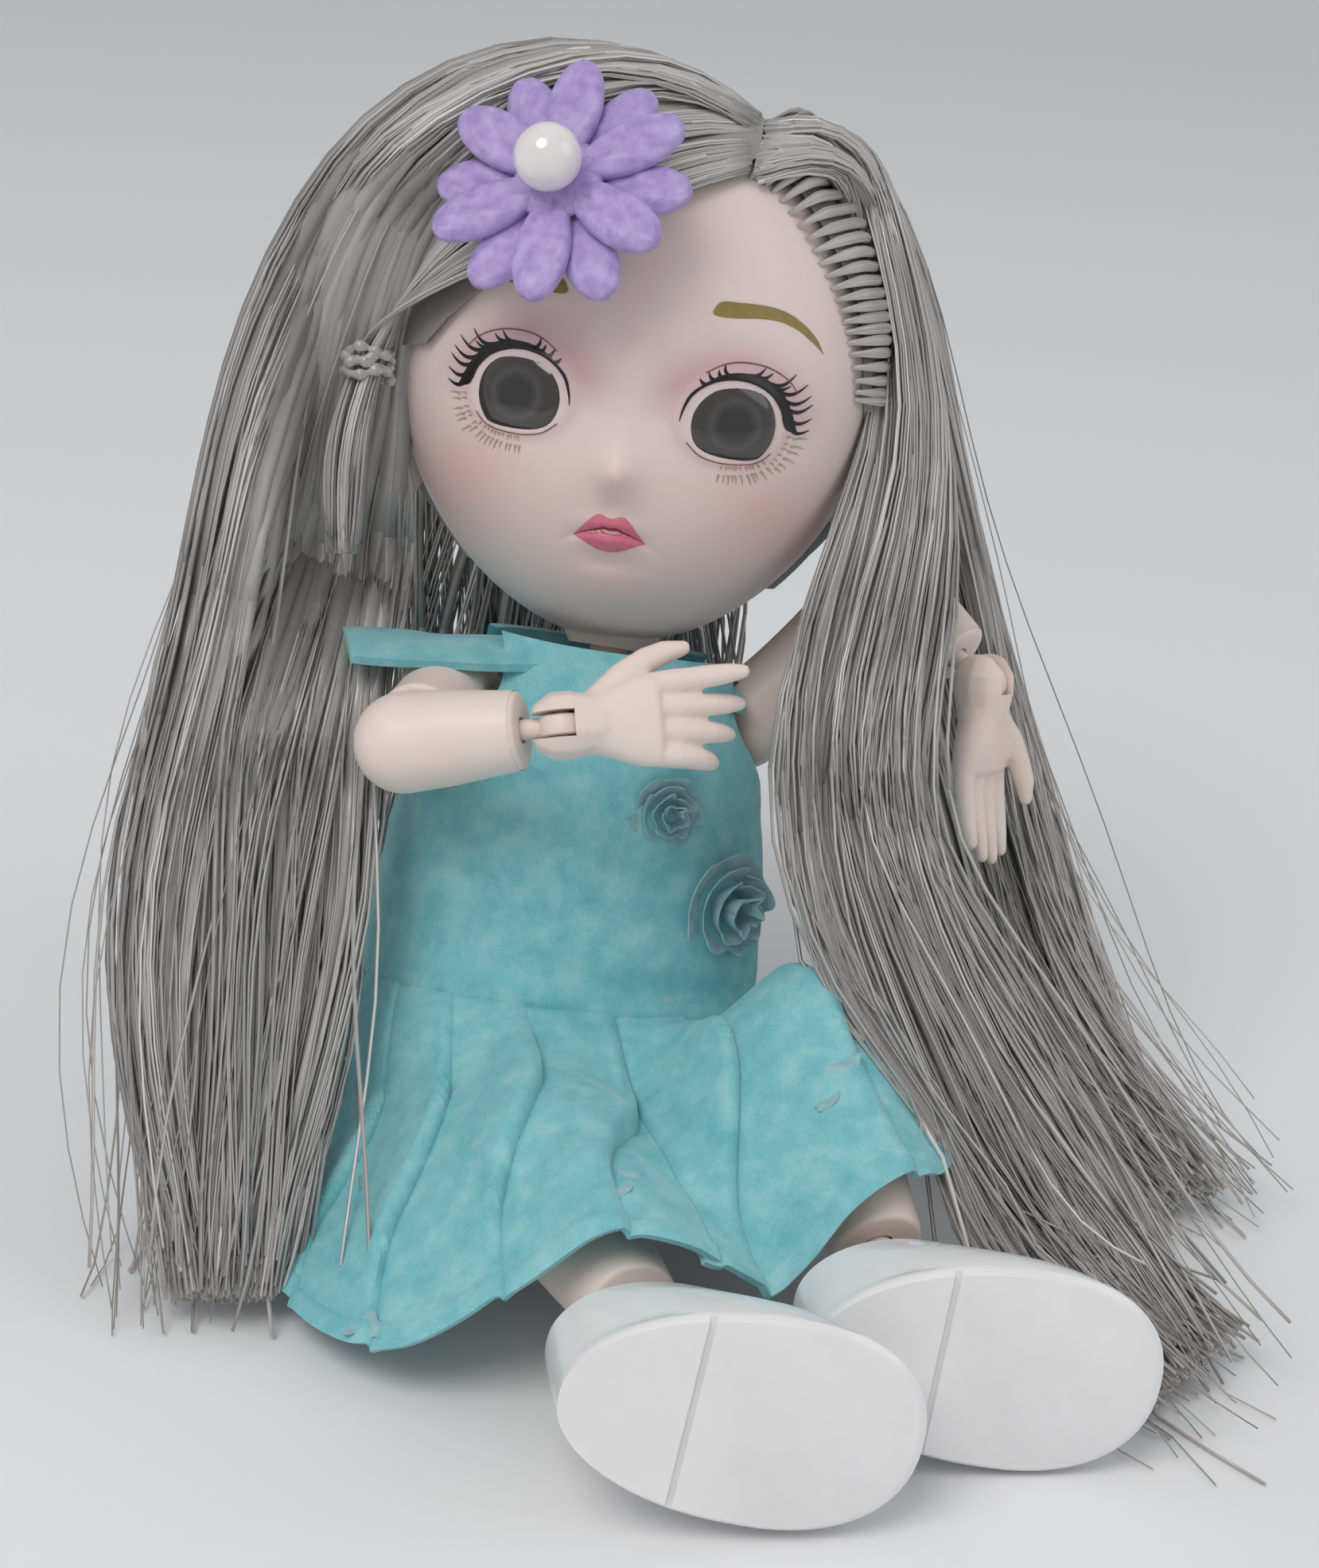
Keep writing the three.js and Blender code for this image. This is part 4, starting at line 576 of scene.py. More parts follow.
half_turn = Matrix.Rotation(math.pi, 4, "Z")
for side_name, side in both_sides:
    # The turn of a peg whose stem points to the body's middle
    across = Matrix(((0, 0, -side), (side, 0, 0), (0, -1, 0))).to_4x4()
    for limb, first, next_limb, second, turning, end_peg, bend_turn in (
        ("upper_arm", "shoulder", "forearm", "elbow", "elbow_twist_", "wrist", Matrix.Identity(4)),
        ("thigh", "hip", "shin", "knee", "knee_turn_", "ankle", half_turn),
    ):
        swing, spread = axis(f"{first}_swing_{side_name}"), axis(f"{first}_spread_{side_name}")
        twist, bend = axis(turning + side_name), axis(f"{second}_bend_{side_name}")
        turn = axis(f"{end_peg}_turn_{side_name}")
        top, middle = centres(side_name, first + "_swing", second + "_bend")
        add_peg(first, side_name, own_frame(top, x=side * spread, z=-side * swing))
        add_limb(limb, side_name, own_frame(top, y=spread, z=twist), first, across, second)
        add_peg(second, side_name, own_frame(middle, x=bend, z=twist))
        add_limb(next_limb, side_name, own_frame(middle, x=bend, z=turn), second, bend_turn, end_peg)
    ankle_peg = own_frame(at("ankle_flex_" + side_name), x=bend, z=turn)
    add_ball_peg("ankle", ankle_peg, "ankle_peg_" + side_name, "ankle_peg_" + side_name)

# The hands: cast in one piece with a palm, four fingers and a thumb, slotted at the wrist. On the
# right hand the index finger points and the others curl; the left one is open.
palm_length, palm_half_width = 8.6, 4.2
finger_lengths = (7.6, 8.2, 7.8, 6.4)
finger_spacing, finger_radius, knuckle_overlap = 2, 1.15, 1.6
finger_curl = {"right": (0.1, 0.55, 0.75, 0.9), "left": (0.15, 0.2, 0.25, 0.3)}
wrist_rest_bend = {"right": 20, "left": -53}
hand_grain = 0.22


def beads(path, radii, flat=0.92):
    """Overlapping balls along a path, close enough to melt into one rounded finger."""
    balls = []
    path, radii = np.array(path, float), np.array(radii, float)
    for i in range(len(path) - 1):
        length = np.linalg.norm(path[i + 1] - path[i])
        steps = max(2, int(length / (0.25 * radii[i])))
        for k in range(steps + (i == len(path) - 2)):
            t = k / steps
            centre = path[i] * (1 - t) + path[i + 1] * t
            radius = radii[i] * (1 - t) + radii[i + 1] * t
            ball = [
                [(x * radius + centre[0], y * radius * flat + centre[1], z * radius + centre[2])
                 for x, y, z in ring(math.sin(a), math.cos(a), math.cos(a), sides=10)]
                for a in np.linspace(-1.45, 1.45, 6)
            ]
            balls.append(skinned(ball))
    return merge(balls)


def add_hand(side_name, side):
    wrist = at("wrist_bend_" + side_name)
    bend, turn = axis("wrist_bend_" + side_name), axis("wrist_turn_" + side_name)
    add_peg("wrist", side_name, own_frame(wrist, x=bend, z=turn))
    tilt = Matrix.Rotation(math.radians(wrist_rest_bend[side_name]), 3, bend)
    place = own_frame(wrist, x=bend, z=tilt @ turn)
    thumb_side = -side
    palm_rows = [
        ring(-1.2, 2.5, 2.3), ring(-3.6, 3.0, 2.1, 0.1), ring(-6, 3.9, 1.9, 0.1, power=2.4),
        ring(-palm_length + 0.4, palm_half_width, 1.6, 0, power=2.5),
        ring(-palm_length, palm_half_width - 0.5, 1.2, 0, power=2.5),
    ]
    shapes = [skinned(palm_rows)]
    shapes.append(beads([(0, 0, 0), (0, 0.05, -2.5)], [wrist_top, 2.7], 0.95))
    shapes.append(beads([(thumb_side * 2.2, 0.9, -4.4), (thumb_side * 2.6, 0.7, -6.6)], [1.5, 1.3]))
    for i, length in enumerate(finger_lengths):
        x = thumb_side * finger_spacing * (1.5 - i)
        lean = thumb_side * 0.06 * (1.5 - i)
        point = np.array((x, 0, -(palm_length - knuckle_overlap)))
        path, steps = [point], 6
        for k in range(steps):
            bent = finger_curl[side_name][i] * (3 * (k + 0.5) / steps) * 0.43
            onward = np.array((lean, math.sin(bent), -math.cos(bent)))
            point = point + onward * (length + knuckle_overlap) / steps
            path.append(point)
        shares = (1, 1, 1.02, 0.96, 0.94, 0.84, 0.6)
        shapes.append(beads(path, [finger_radius * share for share in shares]))
    thumb = [(1.6, 0.4, -3), (4, 1.1, -5.6), (5.4, 1.5, -7.8), (6.1, 1.9, -9.6), (6.4, 2, -11.2)]
    shapes.append(beads([(thumb_side * x, y, z) for x, y, z in thumb], [1.6, 1.45, 1.25, 1.1, 0.75]))
    made = piece(f"hand_{side_name}_shell", *merge(shapes), place, limb_plastic, smooth=math.radians(50))
    melt = made.modifiers.new("melt", "REMESH")
    melt.mode = "VOXEL"
    melt.voxel_size = hand_grain / 1000
    soften = made.modifiers.new("soften", "SMOOTH")
    soften.factor = 0.5
    soften.iterations = 5
    settle(made)
    made = combine(made, "DIFFERENCE", *slot_tools("wrist", wrist_top, place))
    fit(made, "skin", "hand_" + side_name, "hand_" + side_name)


for side_name, side in both_sides:
    add_hand(side_name, side)

# The feet and shoes: each foot is plastic with a cup for the ankle's ball. The slip-on shoe is
# moulded in glossy white vinyl, with a low heel, a flat sole, a thin welt and a beaded edge.
sole_bottom, sole_thickness = -13, 1.6
shoe_heel, shoe_toe = 9.5, 20
shoe_heel_half, shoe_toe_half = 7.3, 10
shoe_wall, collar_height = 1.3, 9.5
throat_low, throat_high = ankle_top + 1.4, ankle_top + 0.7
bead_count, bead_radius, beading_radius = 26, 0.62, ankle_top + 1.3
cup_opening = 62
shoe_levels = [
    # share of the collar's height, toe in front of the ankle, narrowing
    (0, shoe_toe - 0.9, 0.94), (0.02, shoe_toe - 0.4, 0.97), (0.06, shoe_toe, 1), (0.12, shoe_toe, 1),
    (0.15, shoe_toe - 0.35, 0.97), (0.24, shoe_toe - 0.7, 0.975), (0.36, shoe_toe - 1.5, 0.965),
    (0.48, shoe_toe - 3.4, 0.94), (0.6, shoe_toe - 6, 0.9), (0.8, shoe_toe - 9.6, 0.82),
    (1, shoe_toe - 12.5, 0.74),
]


def sole_outline(inset, toe, narrow):
    """The shoe's outline at one level: heel behind, toe in front, wider at the toe."""
    points, sides = [], 64
    for k in range(sides):
        turn = 2 * math.pi * k / sides
        front, s = math.cos(turn), math.sin(turn)
        share = ((1 + front) / 2) ** 0.8
        half = shoe_heel_half + (shoe_toe_half - shoe_heel_half) * share
        length = (toe + shoe_heel) / 2 - inset
        x = math.copysign(abs(s) ** 0.9, s) * (half * narrow - inset)
        y = (shoe_heel - toe) / 2 - math.copysign(abs(front) ** 0.9, front) * length
        points.append((x, y))
    return points


def shoe_rings(inset, bottom, top):
    return [
        [(x, y, bottom + (top - bottom) * share) for x, y in sole_outline(inset, toe, narrow)]
        for share, toe, narrow in shoe_levels
    ]


def glossy_vinyl():
    look = Nodes("glossy_vinyl", 0.16)
    where = look.place()
    cloud = look.mottle(where, 0.25, 3, [(0.3, (0.83, 0.825, 0.83)), (0.75, (0.87, 0.865, 0.87))])
    scuff = look.noise(where, 2.2, 6, 0.65)
    look.span(scuff, 0.1, 0.24, "Roughness")
    look.bump(cloud, 0.08, 0.0003)
    look.set(
        coat_weight=0.35, coat_roughness=0.08, subsurface_weight=0.05, subsurface_radius=(1, 0.8, 0.8),
        subsurface_scale=0.001,
    )
    return look.material


shoe_vinyl = glossy_vinyl()


def cone(half_angle, length, place):
    """The space that opens from a ball's middle along Z, downwards with a negative length."""
    width = abs(length) * math.tan(math.radians(half_angle))
    return bar(0.02, (0, 0, 0), (0, 0, length), place, end_radius=width)


def flat_side(node):
    """The direction of a CAD piece's largest flat side, such as a sole."""
    areas = {}
    for face in frame["nodes"][node].data.polygons:
        key = tuple(round(n, 3) for n in face.normal)
        areas[key] = areas.get(key, 0) + face.area
    return Vector(max(areas, key=areas.get)).normalized()


def small_ball(centre, radius, sides=12):
    rows = []
    for a in np.linspace(-1.5, 1.5, sides // 2 + 1):
        wide = radius * math.cos(a)
        points = ring(radius * math.sin(a), wide, wide, sides=sides)
        rows.append([(x + centre[0], y + centre[1], z + centre[2]) for x, y, z in points])
    return skinned(rows)


def add_foot(side_name):
    body = "foot_" + side_name
    ankle = at("ankle_flex_" + side_name)
    place = own_frame(ankle, x=axis("ankle_flex_" + side_name), z=-flat_side("shoe_" + side_name))
    foot_frames[side_name] = place
    top = sole_bottom + collar_height
    shoe = piece(
        f"shoe_{side_name}_upper", *skinned(shoe_rings(0, sole_bottom, top)), place, shoe_vinyl,
    )
    throat = bar(throat_low, (0, -0.6, sole_bottom + 3.2), (0, 0, 2), place, end_radius=throat_high)
    inside = piece(
        "tool", *skinned(shoe_rings(shoe_wall, sole_bottom + sole_thickness, top - shoe_wall)), place, None,
    )
    groove = box((-12, -1.3, sole_bottom - 1), (12, -0.7, sole_bottom + 0.4), place)
    fit(combine(shoe, "DIFFERENCE", inside, throat, groove), "shoe", body, "shoe_" + side_name)
    beads_round = []
    for k in range(bead_count):
        turn = 2 * math.pi * k / bead_count
        x, y = beading_radius * math.sin(turn), -0.3 - beading_radius * math.cos(turn)
        beads_round.append(small_ball((x, y, top + 0.1), bead_radius))
    beading = piece(f"shoe_{side_name}_beading", *merge(beads_round), place, shoe_vinyl)
    fit(beading, "shoe", body)
    inset = shoe_wall + running_gap
    foot = piece(
        body + "_shell",
        *skinned(shoe_rings(inset, sole_bottom + sole_thickness + running_gap, top - inset)),
        place, limb_plastic,
    )
    instep = bar(ankle_top + 0.2, (0, -0.6, -6), (0, 0, -0.5), place, end_radius=ankle_top - 0.4)
    foot = combine(foot, "UNION", instep, dome(ankle_top, place))
    cup = dome(ball_peg_sizes["ankle"][0] + running_gap, place)
    foot = combine(foot, "DIFFERENCE", cup, cone(cup_opening, 9, place))
    fit(foot, "skin", body, body)


foot_frames = {}
for side_name, _ in both_sides:
    add_foot(side_name)

# The neck: a plastic peg turns in the trunk, and its ball sits in a plastic ring that plugs the
# head's neck hole. The ring nods on the ball and the head tilts on the ring.
neck_ring_radius, neck_ring_opening, neck_hole_opening = 4.9, 52, 60
ring_frame = own_frame(at("head_nod"), x=axis("head_nod"), y=axis("head_tilt"))


def add_neck():
    peg_frame = own_frame(at("neck_turn"), x=axis("head_nod"), z=-axis("neck_turn"))
    add_ball_peg("neck", peg_frame, "neck", "neck_peg")
    plug = dome(neck_ring_radius, ring_frame)
    plug.name = "neck_ring"
    plug.data.materials.append(limb_plastic)
    hollow = dome(ball_peg_sizes["neck"][0] + running_gap, ring_frame)
    opening = cone(neck_ring_opening, -2 * neck_ring_radius, ring_frame)
    fit(combine(plug, "DIFFERENCE", hollow, opening), "skin", "head_socket", "neck_socket")


add_neck()

# The head: a hollow shell of soft vinyl, cast in one piece with its ears, small nose, closed lips
# and full cheeks, with openings for the eyes and the neck. Cheeks and lids are sprayed with a flush.
head_half_width, head_half_depth, head_half_height = 22.6, 22.3, 25.6
head_wall, jaw_taper = 2, 0.1
head_back, head_rise, head_rest_tilt = 1, 23.3, -3.5
head = (
    ring_frame @ Matrix.Rotation(math.radians(head_rest_tilt), 4, "Y")
    @ Matrix.Translation((0, -head_back, head_rise))
)
face_roll, face_middle = 2.4, -8
face = (
    Matrix.Translation((0, 0, face_middle)) @ Matrix.Rotation(math.radians(face_roll), 4, "Y")
    @ Matrix.Translation((0, 0, -face_middle))
)
eye_half_spacing, eye_drop, eye_turn, eye_tilt = 9.65, 5.7, 24, 9
# The eye's opening, from its middle: away from the nose, and up
eye_opening = [
    (-4.9, 0), (-4.45, 1.5), (-3.5, 2.65), (-2.2, 3.45), (-0.5, 3.85), (1.3, 3.75), (3, 3.1), (4.2, 2),
    (4.8, 0.6), (4.7, -0.7), (4.2, -1.8), (3.4, -2.6), (2.3, -3.05), (0.8, -3.3), (-0.8, -3.35),
    (-2.5, -3.05), (-3.9, -2.15), (-4.7, -1),
]


def sizes_at(lowness):
    """The head's three half sizes, narrower towards the jaw."""
    wide = head_half_width * (1 - jaw_taper * lowness ** 2)
    return np.stack(
        (wide, np.full(wide.shape, head_half_depth), np.full(wide.shape, head_half_height)), -1,
    )


def head_points(directions, grow=0.0):
    """Points on the plain head in unit directions from its middle, moved out by a distance."""
    unit = np.asarray(directions, float)
    outward = unit / (head_half_width, head_half_depth, head_half_height)
    outward /= np.linalg.norm(outward, axis=-1, keepdims=True)
    return unit * sizes_at(np.maximum(-unit[..., 2], 0)) + outward * np.asarray(grow)[..., None]


def hump(x, z, at_x, at_z, half_x, half_z):
    return np.exp(-np.abs((x - at_x) / half_x) ** 2 - np.abs((z - at_z) / half_z) ** 2)


middle_relief = [
    # height, where across and up, half width, half height; dips have a negative height
    (1.5, 0, -11.6, 2.3, 2.4), (0.7, 0, -12, 1.3, 1.2), (0.35, 0, -7.2, 1.6, 4.2),  # nose and bridge
    (-0.2, 0, -14.4, 0.6, 1), (0.5, 0, -15.8, 2.5, 0.75), (0.75, 0, -17.25, 1.9, 0.75),  # lips
    (-0.35, 0, -19, 2.2, 0.7), (0.55, 0, -21.6, 4, 2.2),  # under the lips, chin
]
side_relief = [
    # the mouth's corner, the cheek, the brow
    (-0.12, 3.3, -16.9, 0.6, 0.6), (0.45, 11.5, -14.5, 5.5, 4), (-0.25, 9.5, 1.4, 6, 2.2),
]


def moulded(points):
    """The face's relief: plain points on the head's front are moved out to nose, lips and cheeks."""
    x, y, z = np.moveaxis(points, -1, 0)
    out = -0.5 * hump(x, z, 0, -16.3 - 0.07 * x * x, 3.2, 0.28)  # the line between the lips
    for height, *place in middle_relief:
        out = out + height * hump(x, z, *place)
    for side in (-1, 1):
        for height, at_x, *place in side_relief:
            out = out + height * hump(x, z, side * at_x, *place)
    front = np.clip(-y / 6, 0, 1)
    return points + np.stack((0 * x, -out * front, 0 * x), -1)


def in_frame(matrix, points):
    """Points carried by a frame's matrix."""
    turn = np.array(matrix)
    return np.asarray(points) @ turn[:3, :3].T + turn[:3, 3]


def sliding(points, along):
    """Places near the face moved along a direction onto the plain head's front."""
    points = in_frame(face, points)
    along = np.array(face)[:3, :3] @ np.asarray(along)
    for _ in range(12):
        sizes = sizes_at(np.maximum(-points[..., 2] / head_half_height, 0))
        level = ((points / sizes) ** 2).sum(-1) - 1
        slope = (2 * points / sizes ** 2 * along).sum(-1)
        points = points - (level / slope)[..., None] * along
    return in_frame(face.inverted(), points)


def eye_frame(side):
    """An eye's own frame on the face: X away from the nose, Y up, Z out of the face."""
    unit = np.array((side * eye_half_spacing / head_half_width, 0, -eye_drop / head_half_height))
    unit[1] = -math.sqrt(1 - unit @ unit)
    outward = Matrix.Rotation(math.radians(side * eye_turn), 4, "Z")
    tipped = Matrix.Rotation(math.radians(90 + eye_tilt), 4, "X")
    mirrored = Matrix.Diagonal((side, 1, 1, 1))
    turn = outward @ tipped @ mirrored
    middle = sliding(head_points(unit), np.array(turn)[:3, 2])
    return Matrix.Translation(Vector(middle)) @ turn


def smooth_loop(points, steps):
    """More points on a closed smooth curve through the given ones."""
    rows = np.array(points, float)
    return np.array([
        between(*(rows[(i + k) % len(rows)] for k in (-1, 0, 1, 2)), step / steps)
        for i in range(len(rows)) for step in range(steps)
    ])


opening_loop = smooth_loop(eye_opening, 4)


def opening_share(a, b):
    """How far out a place near an eye is: 1 on the edge of the opening."""
    turns = np.arctan2(opening_loop[:, 1], opening_loop[:, 0])
    order = np.argsort(turns)
    radii = np.hypot(*opening_loop.T)[order]
    edge = np.interp(np.arctan2(b, a), turns[order], radii, period=2 * math.pi)
    return np.hypot(a, b) / edge


def head_grid():
    """Unit directions in rings round the middle of the face, close together there."""
    polar = np.concatenate((np.linspace(0.004, 0.95, 62), np.linspace(0.97, math.pi - 0.01, 42)))
    around = np.linspace(0, 2 * math.pi, 176, endpoint=False)
    p, t = np.meshgrid(polar, around, indexing="ij")
    local = np.stack((np.sin(p) * np.cos(t), -np.cos(p), np.sin(p) * np.sin(t)), -1)
    dip = math.radians(-33)
    c, s = math.cos(dip), math.sin(dip)
    y = local[..., 1] * c + local[..., 2] * s
    z = -local[..., 1] * s + local[..., 2] * c
    return np.stack((local[..., 0], y, z), -1)


def grown_rim(points):
    """The lids' edges stand up a little round the eyes."""
    out = np.zeros(points.shape[:-1])
    for side in (-1, 1):
        local = in_frame(eye_frame(side).inverted(), points)
        share = opening_share(local[..., 0], local[..., 1])
        near = np.clip(1 - np.abs(local[..., 2]) / 6, 0, 1)
        out += 0.16 * np.exp(-((share - 1.03) / 0.09) ** 2) * near
    return points + out[..., None] * points / np.linalg.norm(points, axis=-1, keepdims=True)


def ear_shape(side):
    rows = []
    for a in np.linspace(-1.5, 1.5, 30):
        row = []
        for x, y, z in ring(math.sin(a), math.cos(a), math.cos(a), sides=44):
            outer = max(side * x, 0)
            bowl = math.exp(-((y + 0.1) / 0.5) ** 2 - ((z - 0.1) / 0.58) ** 2)
            lobe = 0.25 * math.exp(-((y - 0.1) / 0.4) ** 2 - ((z + 0.75) / 0.3) ** 2)
            x = x * (1 - 0.62 * bowl * min(1, 2 * outer) + lobe * outer)
            row.append((2 * x, 3.4 * y * (1 - 0.16 * max(-z, 0)), 4.6 * z))
        rows.append(row)
    place = (
        Matrix.Translation((side * 21.3, 1.5, -9.6)) @ Matrix.Rotation(math.radians(12), 4, "X")
        @ Matrix.Rotation(math.radians(side * -24), 4, "Z")
    )
    return piece("tool", *skinned(rows), head @ place, None)


def prism(outline, low, high, place):
    rows = [[(x, y, z) for x, y in outline] for z in (low, high)]
    return piece("tool", *skinned(rows), place, None)


def face_vinyl():
    """Matte pale vinyl; the flush and the lid colour were weighed out on the mesh itself."""
    look = Nodes("face_vinyl", 0.5)
    where = look.place()
    soft = look.noise(where, 0.1, 2)
    tone = look.ramp(soft, [(0.3, (0.775, 0.665, 0.625)), (0.75, (0.79, 0.655, 0.625))])
    output = 0
    for weight, colour in (("flush", (0.76, 0.43, 0.42)), ("lid", (0.56, 0.29, 0.34))):
        amount = look.add("ShaderNodeAttribute", attribute_name=weight)
        mix = look.add("ShaderNodeMix", data_type="RGBA")
        under, over = (socket for socket in mix.inputs if socket.type == "RGBA")
        over.default_value = (*colour, 1)
        look.join(amount, mix.inputs["Factor"], "Fac")
        look.join(tone, under, output)
        tone, output = mix, 2
    look.colour(tone, output)
    grain = look.noise(where, 12, 3)
    look.span(grain, 0.46, 0.56, "Roughness")
    look.bump(grain, 0.05, 0.00004)
    look.set(
        subsurface_weight=0.15, subsurface_radius=(1, 0.4, 0.25), subsurface_scale=0.0015,
        specular_ior_level=0.35,
    )
    return look.material


def places_of(made, place):
    """A piece's points in a frame."""
    points = np.empty(len(made.data.vertices) * 3)
    made.data.vertices.foreach_get("co", points)
    return in_frame(place.inverted(), points.reshape(-1, 3))


def weigh(made, name, values):
    """Stores a number at each point of a piece, for its material."""
    store = made.data.attributes.new(name, "FLOAT", "POINT")
    store.data.foreach_set("value", np.ascontiguousarray(values, float))


def spray(made):
    """Stores how strongly each point of the head is flushed, and coloured as an eyelid."""
    local = places_of(made, head @ face)
    x, y, z = local.T
    flush = 0.3 * hump(x, z, 0, -12.4, 2.6, 1.6) + 0.25 * hump(x, z, 0, -21.5, 5, 2.6)
    flush += 0.35 * hump(x, z, 0, -16.6, 5, 2.6)
    lid = np.zeros(len(x))
    for side in (-1, 1):
        flush += 0.55 * hump(x, z, side * 13.5, -12.8, 6, 4.2)
        near = in_frame(eye_frame(side).inverted(), local)
        share = opening_share(near[:, 0], near[:, 1])
        upper = np.clip((near[:, 1] + 1.5) / 3.5, 0, 1)
        wide = np.exp(-((share - 1.3) / 0.34) ** 2)
        lid += (0.62 * wide + 0.2 * np.exp(-((share - 1.75) / 0.35) ** 2)) * upper
        lid += 0.25 * np.exp(-((share - 1.1) / 0.16) ** 2) * (1 - upper)
    front = np.clip(-y / 5, 0, 1)
    for name, values in (("flush", flush), ("lid", lid)):
        weigh(made, name, np.clip(values * front, 0, 0.9))


def cast(name, grid, material):
    """A closed skin round the head's middle through rows of points."""
    made = piece(name, *skinned([list(map(tuple, row)) for row in grid]), head, material)
    if made.data.polygons[0].normal.dot(Vector(made.data.vertices[0].co) - head.translation) < 0:
        made.data.flip_normals()
    return made


def add_head():
    directions = head_grid()
    plain = in_frame(face.inverted(), head_points(directions))
    shell = cast("head_cast", in_frame(face, grown_rim(moulded(plain))), face_vinyl())
    coarse = directions[::3, ::4]
    hollow = cast("tool", head_points(coarse, np.full(coarse.shape[:2], -head_wall)), None)
    pivot = (0, head_back, -head_rise)
    hollow = combine(hollow, "DIFFERENCE", dome(neck_ring_radius + running_gap + head_wall, head, pivot))
    shell = combine(shell, "UNION", ear_shape(-1), ear_shape(1))
    shell = combine(shell, "DIFFERENCE", hollow)
    neck_space = head @ Matrix.Translation(pivot)
    tools = [dome(neck_ring_radius + running_gap, neck_space)]
    tools.append(cone(neck_hole_opening, -2 * neck_ring_radius, neck_space))
    for side in (-1, 1):
        tools.append(prism(opening_loop, -7, 6, head @ face @ eye_frame(side)))
    shell = combine(shell, "DIFFERENCE", *tools)
    spray(shell)
    fit(shell, "skin", "head", "head_shell")


add_head()

# The eyes: each is a white plastic cup set into the opening from inside, and a dark glossy dome on
# it, printed with a pupil and a soft ring. The lower lid cuts the dome's edge.
iris_width, iris_height = 4.2, 3.9
cup_foot, cup_flange, cup_lip, cup_crown, cup_bulge = -4.4, -3.7, -3.6, -1, 0.45
dome_foot, dome_edge, dome_rise, eye_gap = -0.8, -0.55, 0.95, 0.16


def eye_white_plastic():
    look = Nodes("eye_white_plastic", 0.22)
    where = look.place()
    look.mottle(where, 0.6, 2, [(0.3, (0.66, 0.65, 0.64)), (0.8, (0.72, 0.7, 0.69))])
    look.set(coat_weight=0.4)
    return look.material


def iris_plastic():
    """A clear dome over a print: the print's rings follow each point's distance from the middle."""
    look = Nodes("iris_plastic", 0.12)
    out = look.add("ShaderNodeAttribute", attribute_name="out")
    where = look.place((1400, 1400, 1400))
    streaks = look.noise(where, 1.1, 4, 0.6)
    shift = look.add("ShaderNodeMath", operation="MULTIPLY_ADD")
    shift.inputs[1].default_value = 0.14
    look.join(streaks, shift.inputs[0])
    look.join(out, shift.inputs[2], "Fac")
    look.colour(look.ramp(shift, [
        (0.36, (0.008, 0.007, 0.008)), (0.46, (0.03, 0.028, 0.03)), (0.55, (0.05, 0.045, 0.043)),
        (0.68, (0.024, 0.02, 0.018)), (0.9, (0.03, 0.022, 0.019)), (0.98, (0.004, 0.003, 0.003)),
    ]))
    look.set(coat_weight=1, coat_roughness=0.04)
    return look.material


def eye_ring(shares, inset, height):
    """A ring in an eye's frame that follows a share of the iris or, with none, the opening."""
    points, sides = [], 72
    for k in range(sides):
        turn = 2 * math.pi * k / sides
        c, s = math.cos(turn), math.sin(turn)
        radius = 1 / opening_share(c, s) - inset
        if shares:
            radius = min(radius, 1 / math.hypot(c / iris_width, s / iris_height)) * shares
        points.append((radius * c, radius * s, height))
    return points


def add_eyes():
    white, dark = eye_white_plastic(), iris_plastic()
    for side_name, side in both_sides:
        place = head @ face @ eye_frame(side)
        rows = [eye_ring(0, -0.9, cup_foot), eye_ring(0, -0.9, cup_flange)]
        rows += [eye_ring(0, 0.12, cup_lip), eye_ring(0, 0.12, cup_crown)]
        for k in range(1, 9):
            height = cup_crown + cup_bulge * math.sin(k / 9 * math.pi / 2)
            rows.append([(x * (1 - k / 9), y * (1 - k / 9), height) for x, y, _ in eye_ring(0, 0.12, 0)])
        cup = piece(f"eye_cup_{side_name}", *skinned(rows), place, white)
        fit(cup, "eye_white", "head", "eye_white_" + side_name)
        rows = [eye_ring(1, eye_gap, dome_foot), eye_ring(1, eye_gap, dome_edge)]
        steps = 16
        for k in range(steps):
            turn = k / steps * math.pi / 2
            rows.append(eye_ring(math.cos(turn), eye_gap, dome_edge + dome_rise * math.sin(turn) ** 0.9))
        iris = piece(f"eye_dome_{side_name}", *skinned(rows), place, dark)
        x, y, _ = places_of(iris, place).T
        weigh(iris, "out", np.hypot(x / iris_width, y / iris_height) - 0.07)
        fit(iris, "iris", "head", "eye_iris_" + side_name)


add_eyes()

# The painted face: a black upper lash line with curled lashes, a thin crease line, fine pale lower
# lashes, soft golden brows, and pink lips. Each is a film of paint on the vinyl.
paint_lift = 0.045
lash_line_above = [
    (-5.05, -0.5), (-5, 0.6), (-4.55, 1.95), (-3.45, 3.05), (-2.2, 3.95), (-0.6, 4.5), (1.2, 4.6),
    (2.9, 4.25), (4.4, 3.35), (5.5, 2.15), (6.25, 0.95), (6.75, 0.2),
]
lash_line_below = [
    (-4.98, -0.6), (-4.8, 0.5), (-4.35, 1.72), (-3.45, 2.7), (-2.2, 3.43), (-0.5, 3.83), (1.3, 3.73),
    (3, 3.1), (4.22, 2), (4.78, 0.95), (5.35, 0.4), (6.75, 0.15),
]
